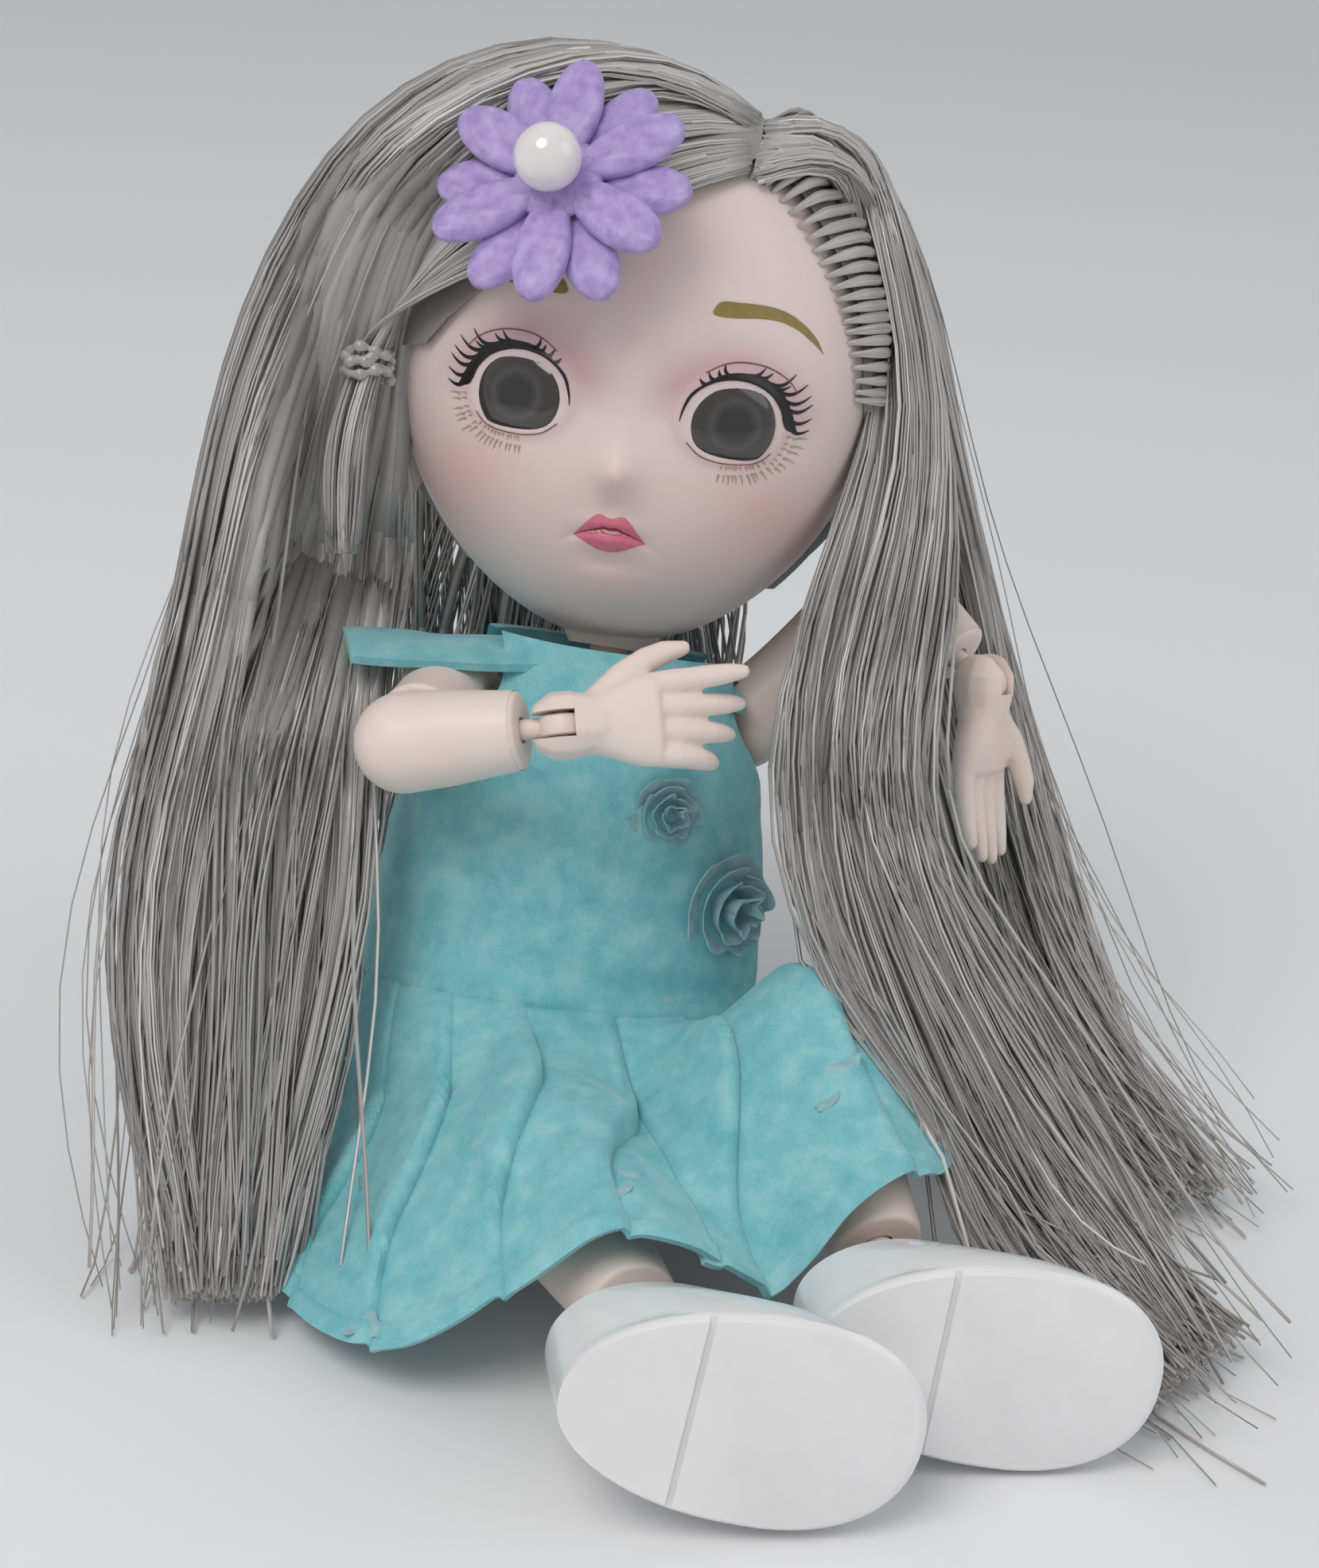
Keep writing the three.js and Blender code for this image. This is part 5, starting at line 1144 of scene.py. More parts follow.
# Each lash: where it grows, and its tip
upper_lashes = [
    ((3, 4.1), (5.4, 5.35)), ((3.9, 3.6), (6.9, 4.65)), ((4.7, 2.9), (7.5, 3.7)),
    ((5.2, 2.2), (7.85, 3.0)), ((5.7, 1.3), (8.05, 1.75)), ((5.9, 0.5), (8.05, 0.7)),
    ((3.2, 3.9), (5, 4.25)), ((0.7, 4.5), (2.1, 5.4)), ((1.6, 4.5), (2.9, 5.05)),
    ((-1.5, 4.2), (-1.85, 5)), ((-2.1, 3.9), (-2.35, 4.45)), ((-2.7, 3.5), (-3.25, 4.1)),
    ((-3.4, 3), (-3.95, 3.4)),
]
crease = [
    (-3.5, 3.9), (-2.2, 4.8), (-0.9, 5.3), (0.7, 5.5), (2.3, 5.4), (3.8, 5), (5, 4.4), (5.9, 3.6),
]
brow_above = [
    (-3.6, 9.3), (-2.9, 10.2), (-1.1, 10.45), (0.6, 10.6), (2.5, 10.6), (4.3, 10.25), (6, 9.5), (7.3, 8.6),
    (8.2, 7.5),
]
brow_below = [
    (-3.5, 9), (-2.6, 8.95), (-1, 9.15), (0.9, 9.45), (2.9, 9.55), (4.9, 9.15), (6.4, 8.5), (7.5, 7.95),
    (8.2, 7.45),
]
lips_above = [
    (-3.2, -16.95), (-2.4, -16.15), (-1.7, -15.4), (-1, -15.02), (0, -15.3), (1, -15.02), (1.7, -15.4),
    (2.4, -16.15), (3.2, -16.95),
]
lips_below = [
    (-3.2, -17), (-2.5, -17.3), (-1.7, -17.7), (-0.9, -18), (0, -18.1), (0.9, -18), (1.7, -17.7),
    (2.5, -17.3), (3.2, -17),
]
mouth_line = [
    (-3.25, -16.95), (-2.2, -16.6), (-1.2, -16.35), (-0.5, -16.2), (0, -16.3), (0.5, -16.2),
    (1.2, -16.35), (2.2, -16.6), (3.25, -16.95),
]


def paint(name, colour, roughness, second=None):
    look = Nodes(name, roughness)
    look.mottle(look.place(), 1.6, 3, [(0.3, colour), (0.7, second or tuple(0.8 * c for c in colour))])
    return look.material


def along_curve(points, steps):
    rows = np.array(smooth_profile(points, 6))
    shares = np.concatenate(([0], np.cumsum(np.hypot(*np.diff(rows, axis=0).T))))
    wanted = np.linspace(0, shares[-1], steps)
    return np.stack([np.interp(wanted, shares, rows[:, i]) for i in range(2)], -1)


def grid_faces(rows, columns, loop):
    r, c = np.meshgrid(np.arange(rows - 1), np.arange(columns if loop else columns - 1), indexing="ij")
    a, b = r * columns + c, r * columns + (c + 1) % columns
    return np.stack((a, b, b + columns, a + columns), -1).reshape(-1, 4)


def band(below, above, steps, across):
    """A grid of places between two lines."""
    low, high = along_curve(below, steps), along_curve(above, steps)
    t = np.linspace(0, 1, across)[:, None, None]
    return low * (1 - t) + high * t


def stroke(start, end, bend, width, steps=9):
    """A tapered curved stroke, as a grid of places."""
    tip = 0.12
    start, end = np.array(start, float), np.array(end, float)
    along = end - start
    side = np.array((-along[1], along[0])) / np.linalg.norm(along)
    t = np.linspace(0, 1, steps)[:, None]
    middle = start + along * t + side * bend * np.sin(math.pi * t ** 0.8)
    half = width / 2 * ((1 - t) ** 0.7 * (1 - tip) + tip)
    return np.stack((middle - side * half, middle, middle + side * half))


def laid_on_face(grids, side, lift):
    """Grids of places near an eye, or on the face with no side, as films on the moulded head."""
    films = []
    frame_here = eye_frame(side) if side else Matrix.Identity(4)
    direction = np.array(frame_here)[:3, 2] if side else np.array((0, -1.0, 0))
    for grid in grids:
        flat = grid.reshape(-1, 2)
        if side:
            local = np.column_stack((flat, np.zeros(len(flat))))
        else:
            local = np.column_stack((flat[:, 0], np.full(len(flat), -head_half_depth), flat[:, 1]))
        plain = sliding(in_frame(frame_here, local), direction)
        shaped = grown_rim(moulded(plain))
        outward = plain / np.linalg.norm(plain, axis=-1, keepdims=True)
        films.append((shaped + outward * lift, grid_faces(*grid.shape[:2], False)))
    return merge(films)


def add_paint(name, grids, side, material, lift=paint_lift):
    film = piece(name, *laid_on_face(grids, side, lift), head @ face, material, smooth=4)
    outward = (head @ face).inverted().to_3x3() @ film.data.polygons[0].normal
    if outward.y > 0:
        film.data.flip_normals()
    fit(film, "skin", "head")


def paint_face():
    chance = random.Random(3)
    black = paint("lash_paint", (0.006, 0.0045, 0.004), 0.3)
    wine = paint("crease_paint", (0.2, 0.08, 0.095), 0.5)
    tan = paint("lower_lash_paint", (0.52, 0.37, 0.28), 0.5, (0.42, 0.29, 0.2))
    gold = paint("brow_paint", (0.31, 0.215, 0.06), 0.5, (0.25, 0.17, 0.045))
    rose = paint("lip_paint", (0.72, 0.19, 0.27), 0.28, (0.64, 0.15, 0.22))
    dark_rose = paint("mouth_line_paint", (0.22, 0.03, 0.055), 0.4)
    for side_name, side in both_sides:
        lashes = [band(lash_line_below, lash_line_above, 64, 9)]
        for grows, tip in upper_lashes:
            curl = -0.16 * math.dist(grows, tip) * math.copysign(1, tip[0] - grows[0])
            lashes.append(stroke(grows, tip, curl, 0.42))
        add_paint("lash_line_" + side_name, lashes, side, black)
        low_edge = [(x * 1.01, y * 1.015 - 0.02) for x, y in eye_opening[9:] if y < -1]
        outer_edge = [(x * 1.02, y * 1.03) for x, y in low_edge]
        add_paint("lower_line_" + side_name, [band(low_edge, outer_edge, 40, 3)], side, wine)
        upper_edge = [(x, y + 0.13) for x, y in crease]
        add_paint("crease_line_" + side_name, [band(crease, upper_edge, 48, 3)], side, wine)
        pale = []
        for k in range(17):
            turn = math.radians(-4 - 5.6 * k + chance.uniform(-1.5, 1.5))
            edge = 1 / opening_share(math.cos(turn), math.sin(turn))
            for gap, share in ((0.35, 0.5), (1.15, 1)):
                reach = (1.5 - 0.045 * k) * share * chance.uniform(0.75, 1.15)
                inner = edge + gap + (0.5 if k < 6 else 0)
                start = (inner * math.cos(turn), inner * math.sin(turn))
                lean = turn + math.radians(9)
                end = (start[0] + reach * math.cos(lean), start[1] + reach * math.sin(lean))
                pale.append(stroke(start, end, 0.06, 0.26, 5))
        add_paint("lower_lashes_" + side_name, pale, side, tan, 0.03)
        add_paint("brow_" + side_name, [band(brow_below, brow_above, 60, 9)], side, gold)
    add_paint("lips_paint", [band(lips_below, lips_above, 72, 28)], 0, rose, 0.05)
    thicker = [(x, z + 0.2 * (1 - abs(x / 3.4))) for x, z in mouth_line]
    add_paint("mouth_line", [band(mouth_line, thicker, 60, 3)], 0, dark_rose, 0.085)


paint_face()

# The dress: blue-green velour with a short nap. The bodice has a wide straight neckline, a cap sleeve
# over the right shoulder and cut armholes, and closes at the back with hook and loop strips.
dress_power = 0.8
cloth_thickness = 0.8
waist_height, waist_half_width, waist_front, waist_back = 8.6, 18.4, 12.2, 11
shoulder_half_spacing, shoulder_height, armhole_radius = 14.5, 36, 6.6
bodice_sections = [
    # height, half width, front, back
    (waist_height, waist_half_width, waist_front, waist_back), (14, 18.1, 12.3, 10.5),
    (22, 17.4, 11.8, 9.7), (29, 16.2, 10.8, 9), (36, 13.8, 9.2, 8.2), (41.6, 10.8, 8.2, 7.8),
]


def smoothstep(value, low, high):
    t = np.clip((np.asarray(value, float) - low) / (high - low), 0, 1)
    return t * t * (3 - 2 * t)


def rounded(value):
    return np.sign(value) * np.abs(value) ** dress_power


def velour():
    """Short-napped cloth: light on the nap's tips, darker where it is worn."""
    look = Nodes("velour", 0.72)
    where = look.place()
    worn = look.noise(where, 0.35, 4, 0.6)
    tone = look.ramp(worn, [
        (0.25, (0.16, 0.49, 0.55)), (0.5, (0.24, 0.58, 0.63)), (0.72, (0.34, 0.66, 0.69)),
    ])
    pile = look.noise(where, 7, 3, 0.7)
    mix = look.add("ShaderNodeMixRGB", blend_type="OVERLAY")
    mix.inputs[0].default_value = 0.35
    look.join(tone, mix.inputs[1])
    look.join(look.ramp(pile, [(0.35, (0.3, 0.3, 0.3)), (0.68, (0.75, 0.75, 0.75))]), mix.inputs[2])
    look.colour(mix)
    look.bump(pile, 0.35, 0.00018)
    look.set(
        sheen_weight=0.55, sheen_roughness=0.35, sheen_tint=(0.75, 0.95, 0.97, 1), specular_ior_level=0.2,
    )
    return look.material


dress_velour = velour()


def grid_normals(grid, loop):
    if loop:
        across = np.roll(grid, -1, 1) - np.roll(grid, 1, 1)
    else:
        across = np.gradient(grid, axis=1)
    normals = np.cross(across, np.gradient(grid, axis=0))
    return normals / np.linalg.norm(normals, axis=-1, keepdims=True)


def thick_sheet(name, grid, thickness, place, material, loop=False):
    """Cloth with its outside through a grid of points and an even thickness inside it."""
    rows, columns = grid.shape[:2]
    count = rows * columns
    under = grid - grid_normals(grid, loop) * thickness
    faces = grid_faces(rows, columns, loop)
    rims = []
    for row, turn in ((0, 1), (rows - 1, 0)):
        for c in range(columns if loop else columns - 1):
            a, b = row * columns + c, row * columns + (c + 1) % columns
            rims.append((b, a, a + count, b + count) if turn else (a, b, b + count, a + count))
    for column, turn in () if loop else ((0, 0), (columns - 1, 1)):
        for r in range(rows - 1):
            a, b = r * columns + column, (r + 1) * columns + column
            rims.append((b, a, a + count, b + count) if turn else (a, b, b + count, a + count))
    every = [tuple(f) for f in faces] + [tuple(f[::-1]) for f in faces + count] + rims
    points = np.concatenate((grid.reshape(-1, 3), under.reshape(-1, 3)))
    made = piece(name, points, every, place, material, smooth=math.radians(60))
    made.data.set_sharp_from_angle(angle=math.radians(60))
    return made


def ripple(x, y, seed, scale):
    """A smooth seeded unevenness from -1 to 1."""
    chance, waves = random.Random(seed), 7
    total = 0 * x
    for _ in range(waves):
        turn, phase = chance.uniform(0, math.pi), chance.uniform(0, 7)
        length = scale * chance.uniform(0.6, 1.7)
        total = total + np.sin((x * math.cos(turn) + y * math.sin(turn)) * 2 * math.pi / length + phase)
    return total / waves ** 0.5 / 1.6


def bodice_size(z):
    table = np.array(bodice_sections)
    return [np.interp(z, table[:, 0], table[:, i]) for i in (1, 2, 3)]


def bodice_place(angle, z, outset):
    width, front, back = bodice_size(z)
    c = np.cos(angle)
    depth = np.where(c > 0, front, back) + outset
    return np.stack((rounded(np.sin(angle)) * (width + outset), -rounded(c) * depth, z + 0 * angle), -1)


def add_bodice():
    heights = np.array([row[0] for row in smooth_profile([(row[0], 0) for row in bodice_sections], 8)])
    z, angle = np.meshgrid(heights, np.linspace(0, 2 * math.pi, 176, endpoint=False), indexing="ij")
    soft = ripple(angle * 14, z, 5, 14) * 0.28 + ripple(angle * 4, z * 1.5, 8, 9) * 0.2
    fade = smoothstep(z, waist_height, waist_height + 3)
    grid = bodice_place(angle, z, soft * fade + 0.35 * smoothstep(z, 12, 8.6) * smoothstep(z, 8, 9))
    bodice = thick_sheet("bodice_cloth", grid[::-1], cloth_thickness, torso, dress_velour, loop=True)
    tools = []
    for side in (-1, 1):
        x = side * shoulder_half_spacing
        ends = ((x - 6, 0, shoulder_height), (x + 6, 0, shoulder_height))
        tools.append(bar(armhole_radius, *ends, torso, 64))
    bodice = combine(bodice, "DIFFERENCE", *tools)
    sleeves = []
    for name, side, reach in (("sleeve_right", -1, 25.6), ("sleeve_left", 1, 12.4)):
        share, across = np.meshgrid(np.linspace(0, 1, 36), np.linspace(-1, 1, 40), indexing="ij")
        x = side * (8.2 + (reach - 8.2) * share)
        narrow = 1 - 0.1 * share ** 3
        y = across * 7.9 * narrow
        z = 41.3 - 1.5 * share - 1.7 * across ** 2 + 0.3 * ripple(x, y, 11, 9)
        grid = np.stack((x, y, z), -1)
        grid = grid if side < 0 else grid[:, ::-1]
        sleeve = thick_sheet(name, grid, cloth_thickness, torso, dress_velour)
        fit(sleeve, "velour", "torso", "dress_bodice")
        sleeves.append(sleeve)
    fit(bodice, "velour", "torso", "dress_bodice")
    return bodice, sleeves


bodice, sleeves = add_bodice()

# The skirt: gathered at the waist in knife pleats, each folded over the next and falling open towards
# the hem. It lies on the legs and droops to the floor between and beside them; its hem is turned up
# once and stitched with pale thread.
hem_half_width, hem_reach, back_reach, hem_x, hem_y = 31, 38, 33, 1.5, -8
floor_gap = 0.6
centre_pleat, side_seam = 4, 95
pleat_edges = [-106, -82, -60, -37, -14, 4.6, 26, 49, 72, 97, 122, 148, 172, 198, 224, 254]


def resting_height(x, y, lowest):
    """How high the cloth lies over the legs at a place on the floor plan."""
    sharpness, slope, lift, crown_share = 0.9, 0.85, 2.2, 0.7
    total = np.exp(sharpness * lowest) + 0 * x
    for side_name, _ in both_sides:
        hip, knee, ankle = (1000 * p for p in centres(side_name, "hip_swing", "knee_bend", "ankle_flex"))
        for a, b, radius in ((hip, knee, thigh_top), (knee, ankle, 5.1)):
            along = b - a
            share = ((x - a.x) * along.x + (y - a.y) * along.y) / (along.x ** 2 + along.y ** 2)
            share = np.clip(share, 0, 1)
            aside = np.hypot(x - a.x - share * along.x, y - a.y - share * along.y)
            reach = radius + lift
            crown = reach * crown_share
            over = np.sqrt(np.maximum(reach ** 2 - aside ** 2, 0))
            beside = math.sqrt(reach ** 2 - crown ** 2) - (aside - crown) * slope
            height = a.z + (b.z - a.z) * share + np.where(aside < crown, over, beside)
            total = total + np.exp(sharpness * height)
    return np.log(total) / sharpness


def pleat_height(angle, share):
    """The folds: each rises slowly to its edge, then drops; the edges swing aside over the lap."""
    swing = 13 * smoothstep(share, 0.25, 0.8) * smoothstep(np.degrees(angle), 70, 0)
    turned_angle = np.degrees(angle) + swing
    edges = np.array(pleat_edges, float)
    below = np.clip(np.searchsorted(edges, turned_angle) - 1, 0, len(edges) - 2)
    width = edges[below + 1] - edges[below]
    part = (turned_angle - edges[below]) / width
    drop = smoothstep(part, 1, 0.93)
    depth = 0.6 + 2.1 * smoothstep(share, 0.02, 0.35) - 1.7 * smoothstep(share, 0.6, 1)
    return depth * (0.25 + 0.75 * part ** 1.6) * drop * smoothstep(part, -0.02, 0.1)


def skirt_places(from_angle, to_angle, columns, rows):
    share, degrees = np.meshgrid(
        np.linspace(0, 1, rows), np.linspace(from_angle, to_angle, columns), indexing="ij",
    )
    angle = np.radians(degrees)
    s, c = np.sin(angle), np.cos(angle)
    depth = np.where(c > 0, waist_front, waist_back)
    seam = 0 * s + waist_height - 0.3
    waist = np.stack((rounded(s) * waist_half_width, -rounded(c) * depth, seam), -1)
    start = in_frame(torso, waist) * 1000
    reach = np.where(c > 0, -hem_reach, back_reach)
    uneven = 1 + 0.012 * np.sin(7 * angle + 1)
    x = start[..., 0] + (hem_x + hem_half_width * s * uneven - start[..., 0]) * share
    y = start[..., 1] + (hem_y + reach * np.sqrt(np.abs(c)) * uneven - start[..., 1]) * share
    settle_share = np.where(c > 0, smoothstep(share, 0, 0.3), smoothstep(share, 0, 0.8))
    lowest = floor_gap + cloth_thickness
    rest = resting_height(x, y, lowest + 0.4)
    z = start[..., 2] + (rest - start[..., 2]) * settle_share
    soft = 0.3 * ripple(x, y, 21, 13) + 0.18 * ripple(x, y, 4, 5.5)
    z = z + pleat_height(angle, share) * smoothstep(share, 0, 0.04) + soft * smoothstep(share, 0.04, 0.3)
    z = z + 0.22 * smoothstep(share, 0.945, 0.95) - 0.35 * smoothstep(share, 0.985, 1)
    return np.stack((x, y, np.maximum(z, lowest)), -1)


def thread_look():
    look = Nodes("thread", 0.5)
    where = look.place()
    look.mottle(where, 4, 2, [(0.3, (0.55, 0.78, 0.78)), (0.8, (0.66, 0.85, 0.85))])
    return look.material


pale_thread = thread_look()


def tube(path, radius, sides=6):
    """A round thread along a path of points."""
    path = np.asarray(path, float)
    along = np.gradient(path, axis=0)
    along /= np.linalg.norm(along, axis=1, keepdims=True)
    aside = np.cross(along, (0.13, 0.21, 1))
    aside /= np.linalg.norm(aside, axis=1, keepdims=True)
    over = np.cross(aside, along)
    turn = np.linspace(0, 2 * math.pi, sides, endpoint=False)
    radii = np.broadcast_to(radius, len(path))[:, None, None]
    rows = path[:, None] + radii * (
        np.cos(turn)[None, :, None] * aside[:, None] + np.sin(turn)[None, :, None] * over[:, None]
    )
    return skinned([list(map(tuple, row)) for row in rows])


def add_stitches(name, from_angle, to_angle, count):
    lines = []
    for k in range(count):
        low = from_angle + (to_angle - from_angle) * (k + 0.12) / count
        high = from_angle + (to_angle - from_angle) * (k + 0.82) / count
        path = skirt_places(low, high, 6, 41)[38]
        path[:, 2] += 0.05 + 0.1 * np.sin(np.linspace(0, math.pi, 6))
        lines.append(tube(path, 0.09))
    return piece(name, *merge(lines), millimetres, pale_thread)


def add_skirt():
    panels = {}
    spans = {
        "right": (-side_seam, centre_pleat + 1.2, 190, 36), "left": (centre_pleat - 1, side_seam, 180, 34),
        "back": (side_seam, 360 - side_seam, 190, 60),
    }
    for name, (low, high, columns, stitches) in spans.items():
        grid = skirt_places(low, high, columns, 90 if name != "back" else 60)
        if name == "left":
            grid[:, :8, 2] -= 0.9 * (1 - np.linspace(0, 1, 8)) ** 0.5
        panel = thick_sheet(f"skirt_{name}_cloth", grid, cloth_thickness * 0.8, millimetres, dress_velour)
        trim = add_stitches(f"hem_stitches_{name}", low + 1, high - 1, stitches)
        for made in (panel, trim):
            if name == "back":
                fit(made, "velour", "torso")
            else:
                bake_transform(made)
        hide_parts("skirt_" + name)
        panels[name] = (panel, trim)
    return panels


skirt_panels = add_skirt()

# The trimmings: two ruffled chiffon rosettes and torn scraps of the same chiffon glued on the dress.
# The back closure's two strips keep the CAD's shape.
def chiffon_look():
    look = Nodes("chiffon", 0.8)
    where = look.place()
    look.mottle(where, 0.9, 4, [(0.3, (0.25, 0.46, 0.5)), (0.75, (0.38, 0.6, 0.63))])
    look.bump(look.noise(where, 5, 3), 0.3, 0.0001)
    look.set(sheen_weight=0.3, subsurface_weight=0.15, subsurface_scale=0.001)
    return look.material


chiffon = chiffon_look()


def on_bodice(x, z, outset=0.6):
    width, front, _ = bodice_size(z)
    shape = 2 / dress_power

    def depth(at_x):
        return -front * (1 - abs(at_x / width) ** shape) ** (1 / shape)

    outward = Vector((depth(x + 0.5) - depth(x - 0.5), -1, 0)).normalized()
    across_here = Vector((0, 0, 1)).cross(outward).normalized()
    middle = Vector((x, depth(x), z)) + outset * outward
    turn = Matrix((across_here, outward.cross(across_here), outward)).transposed().to_4x4()
    return torso @ Matrix.Translation(middle) @ turn


def add_rosette(name, radius, place, seed):
    """A strip of chiffon wound from the middle outwards, its free edge ruffled and leaning out."""
    turns, steps, across = 3.6, 300, 7
    t, w = np.meshgrid(np.linspace(0, 1, steps), np.linspace(0, 1, across), indexing="ij")
    angle = 2 * math.pi * turns * t
    base = radius * (0.1 + 0.62 * t)
    lean = 0.25 + 0.75 * t
    ruffle = np.sin(angle * 5.3 + seed) * 0.5 + np.sin(angle * 8.9 + 2 * seed) * 0.3
    out = base + radius * 0.34 * w * lean + 0.1 * radius * ruffle * w ** 2
    height = radius * (0.62 - 0.42 * t) * (0.1 + 0.9 * w * (1.15 - 0.45 * t)) + 0.1 * radius * ruffle * w
    tilt = 0.12 * radius * ruffle * w
    grid = np.stack((
        out * np.cos(angle) + tilt * np.sin(angle), out * np.sin(angle) - tilt * np.cos(angle), height,
    ), -1)
    made = thick_sheet(name + "_ruffle", grid, 0.12, place, chiffon)
    fit(made, "chiffon", "torso", name)
    return made


def scrap(seed, length, width):
    chance = random.Random(seed)
    u, v = np.meshgrid(np.linspace(-1, 1, 22), np.linspace(-1, 1, 10), indexing="ij")
    edge = 1 - 0.5 * np.abs(u) ** 3 + 0.16 * np.sin(7 * u + seed)
    x = length / 2 * u + 0.15 * np.sin(5 * v + seed)
    y = width / 2 * v * edge + 0.35 * np.sin(2.3 * u + chance.uniform(0, 6))
    z = 0.3 + 0.22 * np.sin(4 * u + 2 * v + seed) + 0.2 * v * np.sin(3 * u)
    return np.stack((x, y, z), -1)


def add_trimmings():
    trims = [
        add_rosette("rosette_large", 5.2, on_bodice(12.2, 19.7), 1),
        add_rosette("rosette_small", 3.4, on_bodice(5, 28), 2),
    ]
    on_front = [(-9.6, 11.5, 5.2, 2, 20), (7.8, 9.9, 5, 1.4, 4), (1.2, 25.5, 3, 1.6, 60)]
    for k, (x, z, length, width, turn) in enumerate(on_front):
        place = on_bodice(x, z, 0.2) @ Matrix.Rotation(math.radians(turn), 4, "Z")
        made = thick_sheet(f"chiffon_scrap_{k + 1}", scrap(k, length, width), 0.12, place, chiffon)
        fit(made, "chiffon", "torso")
        trims.append(made)
    lap_trims = {"right": [], "left": []}
    on_skirt = [
        ("right", -34, 0.36, 4.6, 1.8, 75), ("right", -30, 0.6, 4.6, 1.3, 80),
        ("right", -6, 0.8, 4.8, 2, 70),
        ("left", 38, 0.72, 6.4, 2.6, 20), ("right", -52, 0.97, 3.6, 2.2, 10),
    ]
    for k, (name, angle, share, length, width, turn) in enumerate(on_skirt):
        near = skirt_places(angle - 1, angle + 1, 3, 101)
        row = int(share * 100)
        middle = Vector(near[row, 1])
        across_here = Vector(near[row, 2] - near[row, 0]).normalized()
        down_here = Vector(near[row + 1, 1] - near[row - 1, 1]).normalized()
        outward = down_here.cross(across_here).normalized()
        if outward.z < 0:
            outward = -outward
        frame_here = Matrix((across_here, outward.cross(across_here), outward)).transposed().to_4x4()
        turned_here = frame_here @ Matrix.Rotation(math.radians(turn), 4, "Z")
        place = millimetres @ Matrix.Translation(middle) @ turned_here
        made = thick_sheet(f"lap_scrap_{k + 1}", scrap(9 + k, length, width), 0.12, place, chiffon)
        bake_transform(made)
        lap_trims[name].append(made)
    return trims, lap_trims


trims, lap_trims = add_trimmings()


def tape_look():
    look = Nodes("hook_tape", 0.9)
    where = look.place()
    weave = look.noise(where, 9, 2, 0.7)
    look.colour(look.ramp(weave, [(0.35, (0.5, 0.62, 0.62)), (0.65, (0.74, 0.82, 0.82))]))
    look.bump(weave, 0.6, 0.0003)
    return look.material


hook_tape = tape_look()
for name in ("closure_loops", "closure_hooks"):
    frame["nodes"][name].material_slots[0].material = hook_tape

# The hair: long straight nylon, rooted in rows into the scalp. Right of the parting it is swept to
# the temple, where a clear elastic gathers a tuft; left of it, it is combed back over a row of thick
# plugs. It falls in four long lengths, loose and a little tangled, and its ends lie on the floor.
parting_x, parting_front, parting_back = 9.5, 47, 150
scalp_layer, hair_lift = 0.9, 1.5
head_of_floor = head.inverted() @ Matrix.Scale(0.001, 4)
floor_of_head = head_of_floor.inverted()
temple_gather = np.array((-24.2, -10.4, -3.2))
head_sizes = np.array((head_half_width, head_half_depth, head_half_height))
chance = np.random.default_rng(20)


def hair_nylon(name, low, high):
    """Fine fibres: each strand has its own grey, weighed out on the mesh as its tone; a few strands are set
    brightest as painted highlight, and the cores and the scalp layer are set darker as painted shade.
    """
    look = Nodes(name, 0.3)
    tone = look.add("ShaderNodeAttribute", attribute_name="tone")
    look.colour(look.ramp(tone, [
        (0, low), (0.45, tuple((a + b) / 2 * 0.93 for a, b in zip(low, high))), (1, high),
    ], "Fac"))
    look.set(specular_ior_level=0.75, coat_weight=0.25, coat_roughness=0.22)
    return look.material


hair_fibre = hair_nylon("hair_fibre", (0.21, 0.205, 0.195), (0.76, 0.735, 0.71))


def unit_of(vectors):
    return vectors / np.linalg.norm(vectors, axis=-1, keepdims=True)


def curve(table, s):
    """A smooth curve through the rows of a table, at places counted in rows."""
    rows = np.array(table, float)
    last = len(rows) - 1
    i = np.clip(np.floor(s).astype(int), 0, last - 1)
    nearby = (rows[np.clip(i + k, 0, last)] for k in (-1, 0, 1, 2))
    return between(*nearby, (s - i)[..., None])


def along_paths(paths):
    return unit_of(np.gradient(paths, axis=1) + 1e-9)


def rings_along(paths, radii, sides):
    """Rings of points round many paths, which are strands by points."""
    along = along_paths(paths)
    aside = unit_of(np.cross(along[:, 0], (0.31, 0.87, 0.37)))
    rings = np.empty((*paths.shape[:2], sides, 3))
    turn = np.linspace(0, 2 * math.pi, sides, endpoint=False)
    for k in range(paths.shape[1]):
        aside = unit_of(aside - along[:, k] * (aside * along[:, k]).sum(-1, keepdims=True))
        over = np.cross(along[:, k], aside)
        spread = np.cos(turn)[None, :, None] * aside[:, None] + np.sin(turn)[None, :, None] * over[:, None]
        rings[:, k] = paths[:, k, None] + radii[:, k, None, None] * spread
    return rings


def tube_skin(rings):
    """Points and faces of many thin closed tubes through their rings."""
    count, steps, sides = rings.shape[:3]
    first = (np.arange(count) * steps * sides)[:, None, None]
    ringed = (np.arange(steps - 1) * sides)[None, :, None]
    side = np.arange(sides)[None, None]
    a, b = first + ringed + side, first + ringed + (side + 1) % sides
    quads = np.stack((a, b, b + sides, a + sides), -1).reshape(-1, 4)
    low = first[:, 0] + np.arange(sides)[None, ::-1]
    high = first[:, 0] + (steps - 1) * sides + np.arange(sides)[None]
    return rings.reshape(-1, 3), quads, np.concatenate((low, high))


